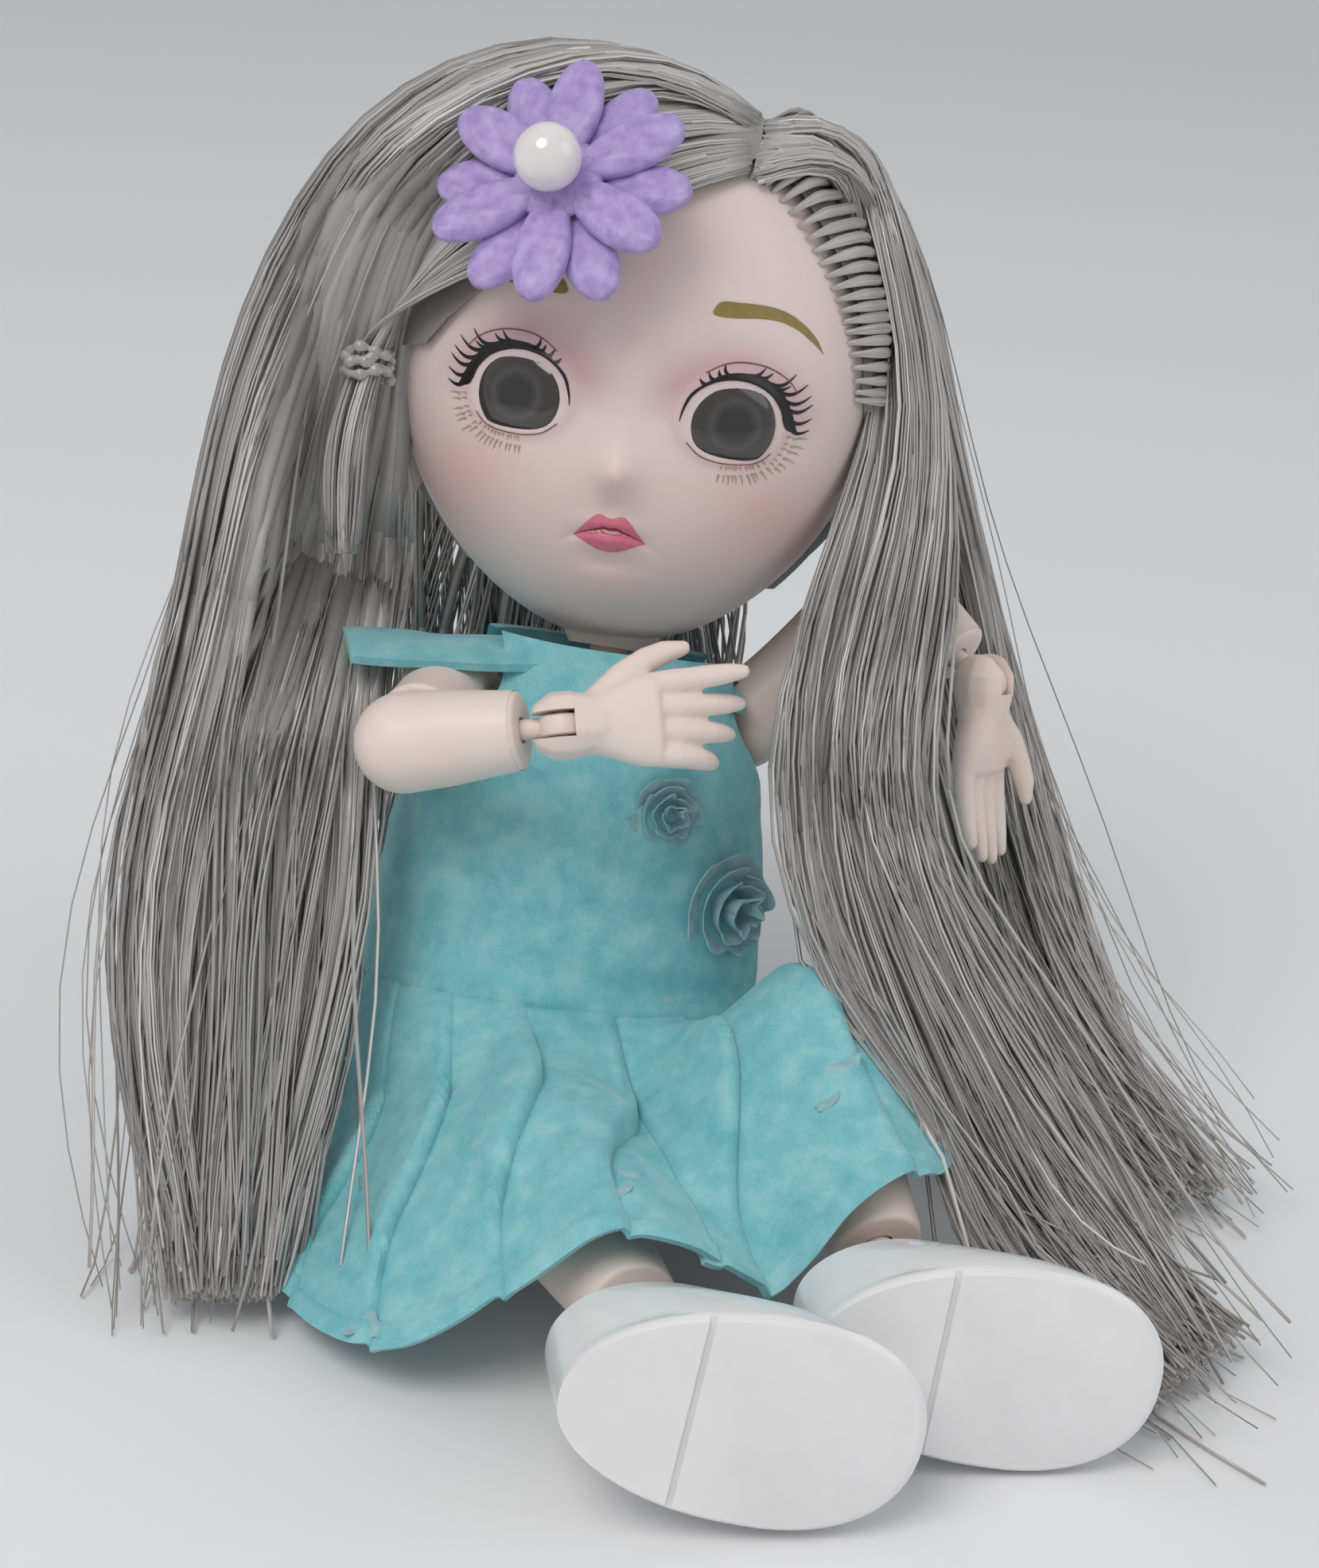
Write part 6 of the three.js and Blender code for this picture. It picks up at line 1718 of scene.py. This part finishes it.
def tubes(name, groups):
    """One mesh of tubes; each group has the rings of its strands and a tone for each strand."""
    points, faces, tones, rounded_faces, start = [], [], [], [], 0
    for rings, shades in groups:
        more, quads, ends = tube_skin(rings)
        points += more.tolist()
        faces += (quads + start).tolist() + (ends + start).tolist()
        rounded_faces += [True] * len(quads) + [False] * len(ends)
        tones.append(np.repeat(shades, rings.shape[1] * rings.shape[2]))
        start += len(more)
    made = piece(name, points, faces, millimetres, hair_fibre, smooth=4)
    made.data.polygons.foreach_set("use_smooth", rounded_faces)
    weigh(made, "tone", np.concatenate(tones))
    return made


def on_parting(share, aside):
    """Directions on the head along the parting, from the forehead to the crown."""
    turn = np.radians(parting_front + (parting_back - parting_front) * share)
    place = np.stack((parting_x + aside, -24.8 * np.cos(turn), 24.8 * np.sin(turn)), -1)
    return unit_of(place / head_sizes)


def over_scalp(start, toward, ends, steps, puff):
    """Paths from places on the scalp over it to points beside it, bent towards a direction."""
    inside = in_frame(head_of_floor, ends)
    finish = unit_of(inside / head_sizes)
    away = np.linalg.norm(inside, axis=-1) - np.linalg.norm(head_points(finish), axis=-1)
    t = np.linspace(0, 1, steps, endpoint=False)[None, :, None]
    middle = unit_of(start + finish) if toward is None else toward
    bend = 2 * t * (1 - t) * middle[:, None]
    direction = unit_of((1 - t) ** 2 * start[:, None] + bend + t * t * finish[:, None])
    rise = np.minimum(hair_lift, scalp_layer - 0.1 + 9 * t[..., 0])
    lift = rise + (away[:, None] - hair_lift) * t[..., 0] ** 1.4
    lift = lift + puff[:, None] * np.sin(math.pi * t[..., 0] ** 0.7)
    on_head = head_points(direction, np.zeros(lift.shape))
    return in_frame(floor_of_head, on_head + direction * lift[..., None])


def pushed_off(points, start, end, radius):
    """Points kept outside a round bar with round ends."""
    start, end = np.array(start), np.array(end)
    share = np.clip(((points - start) * (end - start)).sum(-1) / ((end - start) ** 2).sum(), 0, 1)
    nearest = start + share[..., None] * (end - start)
    away = points - nearest
    distance = np.linalg.norm(away, axis=-1, keepdims=True)
    return np.where(distance < radius, nearest + away / np.maximum(distance, 0.01) * radius, points)


def bars_in_the_way():
    bars = []
    for side_name, _ in both_sides:
        joints = centres(side_name, "shoulder_swing", "elbow_bend", "wrist_bend")
        joints += centres(side_name, "hip_swing", "knee_bend", "ankle_flex")
        shoulder, elbow, wrist, hip, knee, ankle = (1000 * place for place in joints)
        fingers = 1000 * (own_frame(at("wrist_bend_" + side_name), x=axis("wrist_bend_" + side_name),
                                    z=axis("wrist_turn_" + side_name)) @ Vector((0, 0, -10)))
        foot = foot_frames[side_name]
        heel, toe = 1000 * (foot @ Vector((0, 2, -5))), 1000 * (foot @ Vector((0, -10, -6)))
        bars += [
            (shoulder, elbow, arm_top + 0.7), (elbow, wrist, elbow_top + 0.5), (wrist, fingers, 4.6),
            (hip, knee, thigh_top + 0.6), (knee, ankle, knee_top + 0.6), (heel, toe, 9.4),
        ]
    return bars


obstacles = bars_in_the_way()


def behind_tuft(points):
    """The right length passes behind the tuft at the temple, as the doll's maker combed it."""
    x, y, z = np.moveaxis(points, -1, 0)
    sideways, backwards = 0.961 * x - 0.276 * y, 0.276 * x + 0.961 * y
    held = smoothstep(sideways, -28, -24) * smoothstep(z, 97, 86) * smoothstep(z, 48, 56)
    shift = (np.maximum(10 - backwards, 0) * held)[..., None]
    return points + shift * np.array((0.276, 0.961, 0))


def clear_of_doll(points, also=None):
    """Hair lies on the head, the dress, the limbs and the floor, and never inside them."""
    if also:
        points = also(points)
    inside = in_frame(head_of_floor, points)
    grown = head_sizes + 0.5
    level = np.sqrt(((inside / grown) ** 2).sum(-1))[..., None]
    points = in_frame(floor_of_head, np.where(level < 1, inside / np.maximum(level, 0.2), inside))
    trunk = in_frame(torso.inverted() @ Matrix.Scale(0.001, 4), points)
    width, front, back = bodice_size(np.clip(trunk[..., 2], waist_height, 41.6))
    depth = np.where(trunk[..., 1] < 0, front, back + 2.2)
    power = 2 / dress_power
    level = np.abs(trunk[..., 0] / (width + 1.2)) ** power
    level = level + np.abs(trunk[..., 1] / (depth + 1.2)) ** power
    level = np.maximum(level, 0.01) ** (1 / power)
    within = (level < 1) & (trunk[..., 2] > waist_height) & (trunk[..., 2] < 43)
    grown = trunk.copy()
    grown[..., :2] /= level[..., None]
    points = in_frame(Matrix.Scale(1000, 4) @ torso, np.where(within[..., None], grown, trunk))
    for start, end, radius in obstacles:
        points = pushed_off(points, start, end, radius)
    x, y = points[..., 0], points[..., 1]
    s = np.clip((x - hem_x) / hem_half_width, -1, 1)
    c = np.sqrt(np.sqrt(1 - s * s))
    on_cloth = (y > hem_y - hem_reach * c - 1) & (y < hem_y + back_reach * c)
    on_cloth &= np.abs(x - hem_x) < hem_half_width
    rest = resting_height(x, y, floor_gap + cloth_thickness + 0.4) + 1.6
    low = np.where(on_cloth & (points[..., 2] < 30), rest, 0.35)
    points[..., 2] = np.maximum(points[..., 2], low)
    return points


def eased(points, rounds):
    for _ in range(rounds):
        middle = points[:, 1:-1]
        points[:, 1:-1] = 0.5 * middle + 0.25 * (points[:, :-2] + points[:, 2:])
    return points


def length_of_hair(route, start, toward, p, q, lock, reach, puff, seed, steps=20, scalp_steps=8,
                   wide=(1, 0, 0), also=None):
    """Strands that leave the scalp and then run in a long length at their own place across it."""
    local = np.random.default_rng(seed)
    lock_phase = local.uniform(0, 7, (lock.max() + 1, 2))
    table = np.array([(*place, w, t) for place, w, t in zip(*route)], float)
    s = np.linspace(0, 1, steps)[None] * (len(table) - 1) * reach[:, None]
    rows = curve(table, s)
    along = along_paths(rows[..., :3])
    width = unit_of(np.array(wide) - along * (along @ np.array(wide))[..., None])
    over = np.cross(along, width)
    share = s / (len(table) - 1)
    phase = lock_phase[lock] + local.normal(0, 0.3, (len(p), 2))
    wander = 0.04 + 0.17 * share
    across_now = p[:, None] + wander * np.sin(1.9 * s + phase[:, :1])
    over_now = q[:, None] + wander * np.sin(2.3 * s + phase[:, 1:])
    falls_on = rows[..., :3] + width * (across_now * rows[..., 3])[..., None]
    falls_on = falls_on + over * (over_now * rows[..., 4])[..., None]
    scalp = over_scalp(start, toward, falls_on[:, 0], scalp_steps, puff)
    paths = eased(np.concatenate((scalp, falls_on), 1), 3)
    for _ in range(2):
        paths = eased(clear_of_doll(paths, also), 1)
    return clear_of_doll(paths, also)


def bunched(locks, per_lock, spread, seed):
    """Places across a length, of each lock and of its strands: most lie near the outside."""
    local = np.random.default_rng(seed)
    turn = local.uniform(0, 2 * math.pi, locks)
    out = np.sqrt(local.uniform(0.06, 0.86, locks))
    p, q = out * np.cos(turn), out * np.sin(turn)
    around = local.uniform(0, 2 * math.pi, (locks, per_lock))
    away = spread * np.sqrt(local.uniform(0.1, 1, (locks, per_lock)))
    return p, q, (p[:, None] + away * np.cos(around)).ravel(), (q[:, None] + away * np.sin(around)).ravel()


falls = {
    "hair_fall_right": (
        [(-10.9, 12, 97), (-16.4, 12, 90), (-20, 11, 79), (-22.6, 9, 67), (-25.4, 5, 54), (-28.4, -1, 40),
         (-30.6, -9, 26), (-32.6, -19, 11), (-33.4, -26, 3.4)],
        [5.5, 7.5, 8, 9, 10.2, 11, 11, 8.3, 4.5], [9, 10, 10, 9.5, 7.5, 6.5, 5.5, 4.5, 3],
    ),
    "hair_fall_left_front": (
        [(29, 9, 90), (32.5, 4.5, 79), (32.5, -1, 68), (27.5, -8, 56), (23, -14.5, 45), (25.5, -19, 35),
         (30.5, -26, 25), (36, -34, 14), (41, -42, 6), (46.5, -50, 3)],
        [3, 3.4, 5.5, 8.4, 8.5, 9, 10, 10.6, 10, 8.5], [5, 4.5, 4, 3.5, 3.4, 3.2, 3, 3, 2.8, 2.2],
    ),
    "hair_fall_left_back": (
        [(28, 20, 94), (35, 21, 84), (39.5, 21.5, 68), (43, 20.5, 51), (46, 14, 34), (49, 3, 18),
         (53, -10, 7), (56, -22, 3.2)],
        [5, 6, 7, 8.8, 10.2, 11.5, 11, 9], [9, 9, 8, 7, 6, 5, 3.8, 2.4],
    ),
    "hair_fall_back": (
        [(10, 30, 98), (10, 40, 86), (9, 43, 72), (8, 41, 56), (6, 36, 38), (5, 33, 20), (5, 35, 5)],
        [14, 17, 18, 19, 21, 22, 20], [5, 5, 4.5, 4.5, 4, 3.5, 3],
    ),
}
# Each: locks, strands in a lock, where its roots lie along the parting, how far to its side, the puff
fall_roots = {
    "hair_fall_right": (44, 22, (0.16, 0.8), (-1.2, -0.2), 0.8),
    "hair_fall_left_front": (34, 22, (0, 0.55), (0.2, 1.2), 3.2),
    "hair_fall_left_back": (36, 20, (0.4, 1), (0.2, 2.4), 2.4),
    "hair_fall_back": (40, 15, (0.7, 1.15), (-14, 8), 0.6),
}
kept_free = {"hair_fall_right": behind_tuft}
# Between these heights each length is cut into parts
neck_spans = [
    # part, from height, to height, its two bodies, where the bend starts and ends
    ("low", -9, 40.5, "torso", "neck", 12, 40), ("middle", 40.5, 54.5, "neck", "head_socket", 41, 54),
    ("high", 54.5, 999, "head_socket", "head", 55, 68),
]


def shared_by_neck(name, paths, radii, tones, sides, nodes=()):
    """A length is cut at two heights into three parts, each its own mesh."""
    lowest_yet = np.minimum.accumulate(paths[:, :, 2], axis=1)
    last = paths.shape[1] - 1
    rings = rings_along(paths, radii, sides)
    for part, low, high, body_a, body_b, start, end in neck_spans:
        inside = (lowest_yet >= low) & (lowest_yet < high)
        groups = []
        for count in np.unique(inside.sum(1)):
            chosen = np.flatnonzero(inside.sum(1) == count)
            overlap = int(part != "high")
            first = np.maximum(inside[chosen].argmax(1) - overlap, 0)
            index = np.minimum(first[:, None] + np.arange(count + overlap), last)
            if index.shape[1] > 1 and count:
                groups.append((rings[chosen[:, None], index], tones[chosen]))
        if groups:
            made = tubes(f"{name}_{part}", groups)
            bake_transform(made)
            if nodes:
                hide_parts(*nodes)


def add_fall(number, name):
    locks, per_lock, along_parting, beside, puff = fall_roots[name]
    local = np.random.default_rng(100 + number)
    core_p, core_q, p, q = bunched(locks, per_lock, 0.17, 200 + number)
    lock_tone = local.normal(0.45, 0.11, locks)
    lock_root = local.uniform(*along_parting, locks)
    lock_root = np.sort(lock_root)[np.argsort(np.argsort(core_q if name != "hair_fall_back" else core_p))]
    lock_root = lock_root[::-1] if name == "hair_fall_right" else lock_root
    root = np.repeat(lock_root, per_lock) + local.normal(0, 0.02, len(p))
    aside = local.uniform(*beside, len(p))
    reach = local.uniform(0.93, 1.04, len(p))
    puffs = puff * local.uniform(0.6, 1.1, len(p))
    if name == "hair_fall_left_front":
        reach[local.random(len(p)) < 0.12] += 0.08
    lock = np.repeat(np.arange(locks), per_lock)
    paths = length_of_hair(
        falls[name], on_parting(root, aside), None, p, q, lock, reach, puffs, 300 + number,
        also=kept_free.get(name),
    )
    stray = local.random(len(p)) < 0.04
    drift = np.linspace(0, 1, paths.shape[1])[None, :, None] ** 2.2 * local.normal(0, 1, (len(p), 1, 3)) * 5
    paths = np.where(stray[:, None, None], clear_of_doll(paths + drift), paths)
    radii = np.repeat(local.uniform(0.11, 0.23, len(p))[:, None], paths.shape[1], 1)
    tones = np.clip(np.repeat(lock_tone, per_lock) + local.normal(0, 0.1, len(p)), 0, 1)
    # Painted highlight: one strand in twenty-five is set to the brightest grey, as streaks of gloss along
    # the length.
    tones[local.random(len(p)) < 0.04] = 1
    core_reach = np.full(locks, 0.93)
    core_puff = np.full(locks, puff * 0.6)
    cores = length_of_hair(
        falls[name], on_parting(lock_root, np.full(locks, np.mean(beside))), None, 0.88 * core_p,
        0.88 * core_q, np.arange(locks), core_reach, core_puff, 300 + number,
        also=kept_free.get(name),
    )
    table = np.array([(w, t) for w, t in zip(*falls[name][1:])], float)
    thick = curve(table, np.linspace(0, 1, 20)[None] * (len(table) - 1))[0].min(1) * 0.14
    thick = np.concatenate((np.linspace(0.5, thick[0], 8), thick))
    thick[-1] = 0.2
    core_radii = np.repeat(thick[None], locks, 0)
    # The cores take their locks' greys made darker by 0.15: painted shade deep in each length, between the
    # strands.
    shared_by_neck(name + "_mass", cores, core_radii, np.clip(lock_tone - 0.15, 0, 1), 8)
    nodes = [name] + (["hair_end_left_back"] if name == "hair_fall_left_back" else [])
    shared_by_neck(name + "_strands", paths, radii, tones, 3, nodes)
    return paths


fall_paths = {name: add_fall(number, name) for number, name in enumerate(falls)}

# Under the lengths the scalp carries a thin close layer, in two halves either side of the parting; its dark
# grey is painted shade under the lengths.
face_outline = [
    (9.5, 18.4), (12.5, 17), (16, 12.7), (19.2, 7.6), (21, 3), (24, -1), (40, -1), (40, -40), (-40, -40),
    (-40, -3.4), (-21, -3.4), (-16.7, 1.2), (-11.3, 6.2), (-6, 10.4), (-0.9, 13.4), (5.7, 16.8),
]
ear_outline = [(-40, -1), (-9, -1), (-4, -6), (0, -11), (4.5, -15.5), (6, -40), (-40, -40)]
nape_drop = 19


def scalp_form(grow):
    made, columns = [], 112
    for a in np.linspace(-1.54, 1.54, 56):
        turn = np.linspace(0, 2 * math.pi, columns, endpoint=False)
        directions = np.stack((
            math.cos(a) * np.cos(turn), math.cos(a) * np.sin(turn), np.full(columns, math.sin(a)),
        ), -1)
        made.append(list(map(tuple, head_points(directions, np.full(columns, grow)))))
    return skinned(made)


def add_scalp(name, node, low_x, high_x):
    made = piece(name, *scalp_form(scalp_layer), head, hair_fibre, smooth=1)
    onto_front = Matrix.Rotation(math.pi / 2, 4, "X")
    across_head = Matrix(((0, 0, 1, 0), (1, 0, 0, 0), (0, 1, 0, 0), (0, 0, 0, 1)))
    tools = [
        piece("tool", *scalp_form(0.12), head, None), prism(face_outline[::-1], 9, 49, head @ onto_front),
        prism(ear_outline[::-1], -40, 40, head @ across_head),
        box((-60, -60, -60), (60, 60, -nape_drop), head), ear_shape(-1), ear_shape(1),
        box((-60, -60, -60), (low_x, 60, 60), head), box((high_x, -60, -60), (60, 60, 60), head),
    ]
    made = combine(made, "DIFFERENCE", *tools)
    # A dark grey all over: painted shade under the lengths.
    weigh(made, "tone", np.full(len(made.data.vertices), 0.12))
    fit(made, "hair", "head", node)


add_scalp("scalp_swept", "hair_swept", -60, parting_x - 0.15)
add_scalp("scalp_combed", "hair_combed", parting_x + 0.15, 60)

# The swept front: it leaves the parting, crosses the forehead's corner and is gathered at the temple
# by a small clear elastic, wound several times; below it hangs the tuft.
tuft_route = (
    [temple_gather + offset for offset in (
        (0.6, 0, 2.2), (0, 0, 0), (-0.8, -0.8, -5), (-1, -1.4, -11), (-0.6, -1, -17))],
    [1.9, 1.4, 2.5, 3, 2.2], [1.5, 1.3, 1.7, 1.9, 1.3],
)


def add_tuft():
    local = np.random.default_rng(7)
    _, _, p, q = bunched(16, 24, 0.3, 8)
    lock = np.repeat(np.arange(16), 24)
    root = np.clip((q + 1) / 2, 0, 1) * 0.42 + local.normal(0, 0.01, len(p))
    places = [in_frame(floor_of_head, place) for place in tuft_route[0]]
    route = (places, tuft_route[1], tuft_route[2])
    start = on_parting(root, local.uniform(-0.9, -0.1, len(p)))
    front, rear = np.array((-6.5, -22.2, 7.2)), np.array((-9, -13, 21))
    share = np.clip(root / 0.42, 0, 1)[:, None]
    passing = unit_of((front + (rear - front) * share) / head_sizes)
    finish = unit_of(temple_gather / head_sizes)
    toward = 2 * passing - (start + finish) / 2
    reach = local.uniform(0.9, 1.06, len(p))
    wide = np.array(head)[:3, 1] * 1000
    paths = length_of_hair(
        route, start, toward, p, q, lock, reach, 0.5 * local.uniform(0, 1, len(p)), 9, 12, 16, wide,
    )
    radii = np.repeat(local.uniform(0.11, 0.17, len(p))[:, None], paths.shape[1], 1)
    tones = np.clip(local.normal(0.4, 0.15, len(p)) + 0.1 * np.sin(9 * root), 0, 1)
    made = tubes("hair_tuft_strands", [(rings_along(paths, radii, 4), tones)])
    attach(made, "head")
    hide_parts("hair_tuft")


add_tuft()


def elastic_look():
    look = Nodes("clear_elastic", 0.18)
    look.set(base_color=(0.56, 0.53, 0.51, 1), transmission_weight=0.35, coat_weight=0.6)
    return look.material


def add_elastic():
    turn = np.linspace(0, 2 * math.pi * 4, 240)
    out = 2.15 + 0.16 * np.sin(turn * 6.3) + 0.1 * np.sin(turn * 11.1)
    path = np.stack((
        out * 0.92 * np.cos(turn), out * np.sin(turn),
        -1.3 + 2.6 * turn / turn[-1] + 0.3 * np.sin(turn * 2.5),
    ), -1)
    radii = 0.42 + 0.13 * np.sin(turn * 8.7)
    place = head @ Matrix.Translation(Vector(temple_gather))
    made = piece("elastic_windings", *tube(path, radii, 10), place, elastic_look(), smooth=2)
    fit(made, "elastic", "head", "hair_elastic")


add_elastic()

# The plugs: on the combed side a row of thick bundles comes out along the hairline, each pulled back
# flat beside the next until the sheet of hair from the parting covers them.
hairline = [
    (9.4, -16.9, 18.2), (11.6, -16.1, 17.5), (16, -15.9, 12.7), (19.4, -14.7, 7.6), (21.4, -13.2, 3),
    (22.6, -11.2, -2),
]


def add_plugs():
    count, per_plug, steps = 23, 16, 12
    local = np.random.default_rng(31)
    where = curve(hairline, np.linspace(0.25, len(hairline) - 1, count))
    start = unit_of(where / head_sizes)
    finish = unit_of((where + np.array((4.5, 15, 2.5))) / head_sizes)
    direction_across = unit_of(np.gradient(where, axis=0))
    t = np.linspace(0, 1, steps)
    bundles, shades = [], []
    for k in range(count):
        direction = unit_of(start[k] + (finish[k] - start[k]) * t[:, None])
        base = head_points(direction, np.zeros(steps))
        rise = 0.1 + 1.5 * np.sin(math.pi / 2 * np.minimum(1, 4 * t)) + 0.16 * np.sin(12 * t + k)
        centre = base + direction * rise[:, None]
        for m in range(per_plug):
            turn = 2 * math.pi * m / per_plug
            spread = 0.2 + 0.8 * np.minimum(1, 5 * t)
            offset = (0.44 * math.cos(turn) * spread)[:, None] * direction_across[k]
            height = (0.42 * math.sin(turn) * spread)[:, None] * direction
            bundles.append(in_frame(floor_of_head, centre + offset + height))
            # Each plug's strands are lighter on one side and darker on the other: painted light and shade
            # across the plug, with a random grey added.
            shades.append(0.5 + 0.18 * math.cos(turn) + local.normal(0, 0.08))
    paths = np.array(bundles)
    rings = rings_along(paths, np.full(paths.shape[:2], 0.12), 4)
    made = tubes("hair_plugs", [(rings, np.clip(shades, 0, 1))])
    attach(made, "head")
    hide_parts("hair_combed")


add_plugs()


# Flyaways: single hairs that have slipped out of the lengths and stand off them in loose curves
def add_flyaways(name, count, lean, seed):
    local = np.random.default_rng(seed)
    source = fall_paths[name][local.choice(len(fall_paths[name]), count, replace=False), 6:]
    steps = source.shape[1]
    t = np.linspace(0, 1, steps)[None]
    begin = local.uniform(0.05, 0.6, (count, 1))
    out = smoothstep((t - begin) / (1 - begin), 0, 1)[..., None]
    direction = unit_of(np.array(lean) + local.normal(0, 0.45, (count, 3)))[:, None]
    size = local.uniform(2, 11, (count, 1, 1))
    curl = local.normal(0, 1.1, (count, 1, 3))
    curl = curl * np.sin(5 * t + local.uniform(0, 6, (count, 1)))[..., None] * out
    paths = clear_of_doll(source + direction * size * out + curl)
    radii = np.full(paths.shape[:2], 0.075)
    shared_by_neck(name + "_flyaways", paths, radii, local.uniform(0.1, 0.6, count), 3)


add_flyaways("hair_fall_right", 34, (-0.9, -0.2, -0.1), 41)
add_flyaways("hair_fall_left_front", 26, (0.2, -0.8, 0), 42)
add_flyaways("hair_fall_left_back", 60, (0.9, -0.4, 0.1), 43)

# The hair clip: a sprung steel clip slid into the hair, with a felt pad and a flower of two layers of
# six padded lilac satin petals glued on its upper jaw, and a pearl-coated ball in the middle.
pad_height, pad_radius = 1.2, 5.4
petal_layers = (("petals_lower", 2.7, 0), ("petals_upper", 4.2, 30))
petal_start, petal_reach, petal_half_width, petal_plump = 1.4, 11.6, 2.3, 1.05
pearl_height, pearl_radius = 8.31, 2.9


def middle_of(node):
    low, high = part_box(node)
    return (low + high) / 2


outward = (middle_of("clip_pearl") - middle_of("clip_pad")).normalized()
flower = own_frame(
    middle_of("clip_pearl") - outward * pearl_height / 1000, y=axis("clip_open"), z=outward,
)


def satin():
    look = Nodes("lilac_satin", 0.34)
    where = look.place()
    weave = look.add("ShaderNodeTexWave", Scale=2.6, Distortion=1.2)
    look.join(where, weave.inputs["Vector"])
    shade = look.noise(where, 0.8, 3)
    look.colour(look.ramp(shade, [(0.3, (0.34, 0.245, 0.56)), (0.7, (0.5, 0.4, 0.72))]))
    look.bump(weave, 0.3, 0.00008)
    look.set(sheen_weight=0.5, sheen_roughness=0.25, specular_ior_level=0.6)
    return look.material


lilac_satin = satin()


def petal(turn_degrees, height, seed):
    """A stuffed pointed petal: plump along its sides, pulled in along its middle seam, edge pinched."""
    rows = []
    turn = math.radians(turn_degrees)
    outward_here = np.array((math.cos(turn), math.sin(turn)))
    aside_here = np.array((-math.sin(turn), math.cos(turn)))
    for share in np.linspace(0, 1, 30):
        along = petal_start + (petal_reach - petal_start) * share
        half = petal_half_width * (0.12 + (share ** 0.7 * (1 - share) ** 0.55) / 0.45)
        row = []
        for k in range(28):
            a = 2 * math.pi * k / 28
            v, up = math.cos(a), math.sin(a)
            plump = petal_plump * abs(up) ** 0.75 * (half / petal_half_width) ** 0.6
            seam = 0.34 * math.exp(-(v / 0.2) ** 2) * smoothstep(share, 0, 0.2) * (1 - share)
            pucker = 0.09 * math.sin(17 * share + 9 * v + seed) * abs(up)
            z = math.copysign(plump * (1 - seam) + pucker, up) + 0.5 * share ** 2 * math.cos(seed)
            x, y = along * outward_here + half * v * aside_here
            row.append((x, y, height + z))
        rows.append(row)
    return skinned(rows)


def add_flower():
    for name, height, turn in petal_layers:
        shapes = [petal(turn + 60 * k, height + 0.6, 3 * k + turn) for k in range(6)]
        hub = []
        for a in np.linspace(-1.5, 1.5, 9):
            hub.append(ring(height + 0.6 + 0.9 * math.sin(a), 4 * math.cos(a), 4 * math.cos(a)))
        shapes.append(skinned(hub))
        made = piece(name + "_satin", *merge(shapes), flower, lilac_satin, smooth=2)
        fit(made, "satin", "clip", name)
    felt = Nodes("felt", 0.95)
    where = felt.place()
    fuzz = felt.noise(where, 6, 4, 0.7)
    felt.colour(felt.ramp(fuzz, [(0.3, (0.4, 0.33, 0.58)), (0.7, (0.52, 0.45, 0.7))]))
    felt.bump(fuzz, 0.5, 0.0002)
    rows = [(0, pad_radius - 0.2), (0.12, pad_radius), (1.08, pad_radius), (1.2, pad_radius - 0.2)]
    round_pad = skinned([ring(pad_height + z, r, r, sides=64) for z, r in rows])
    pad = piece("felt_pad", *round_pad, flower, felt.material)
    fit(pad, "felt", "clip", "clip_pad")
    pearl = Nodes("pearl", 0.16)
    where = pearl.place()
    pearl.mottle(where, 0.4, 2, [(0.3, (0.78, 0.74, 0.74)), (0.7, (0.86, 0.83, 0.84))])
    pearl.set(coat_weight=1, coat_roughness=0.05, sheen_weight=0.3, sheen_tint=(1, 0.8, 0.9, 1))
    made = piece("pearl_ball", *small_ball((0, 0, pearl_height), pearl_radius, 48), flower, pearl.material)
    fit(made, "pearl", "clip", "clip_pearl")


add_flower()


def add_jaws():
    """Two sprung strips of sheet steel, rolled round a pin at the rear."""
    steel = Nodes("nickel_steel", 0.22, 1.0)
    where = steel.place((1000, 60, 1000))
    brushed = steel.noise(where, 6, 3)
    steel.colour(steel.ramp(brushed, [(0.3, (0.6, 0.6, 0.61)), (0.7, (0.74, 0.74, 0.75))]))
    steel.span(brushed, 0.16, 0.3, "Roughness")
    for name, low_z, body in (("clip_lower_jaw", 0, "head"), ("clip_upper_jaw", 0.6, "clip")):
        strip = box((-7, -1.5, low_z), (7 if low_z == 0 else 6.4, 1.5, low_z + 0.3), flower)
        strip.name = name + "_strip"
        strip.data.materials.append(steel.material)
        slot_cut = box((-5.4, -0.45, low_z - 0.2), (2.5, 0.45, low_z + 0.6), flower)
        strip = combine(strip, "DIFFERENCE", slot_cut)
        across_pin = [(7, -1.5, 1.5), (7, -0.6, 1.5)] if body == "head" else [(7, -0.5, 1.5), (7, 0.5, 1.5)]
        curls = [bar(0.85, *across_pin, flower, 24, name="curl")]
        if body == "head":
            curls.append(bar(0.85, (7, 0.6, 1.5), (7, 1.5, 1.5), flower, 24, name="curl"))
            curls.append(bar(0.35, (7, -1.9, 1.5), (7, 1.9, 1.5), flower, 16, name="curl"))
        for curl in curls:
            curl.data.materials.append(steel.material)
            fit(curl, "clip_steel", body)
        root, tip = (0.3, 0.55) if body == "head" else (0, -0.25)
        tooth, faces = skinned([
            ring(low_z + root, 0.22, 0.22, sides=8), ring(low_z + tip, 0.06, 0.06, sides=8),
        ])
        teeth = [([(x - 6.2 + 2 * k, y + 1.1, z) for x, y, z in tooth], faces) for k in range(6)]
        bite = piece(name + "_teeth", *merge(teeth), flower, steel.material)
        for made in (strip, bite):
            fit(made, "clip_steel", body)
        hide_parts(name)


add_jaws()
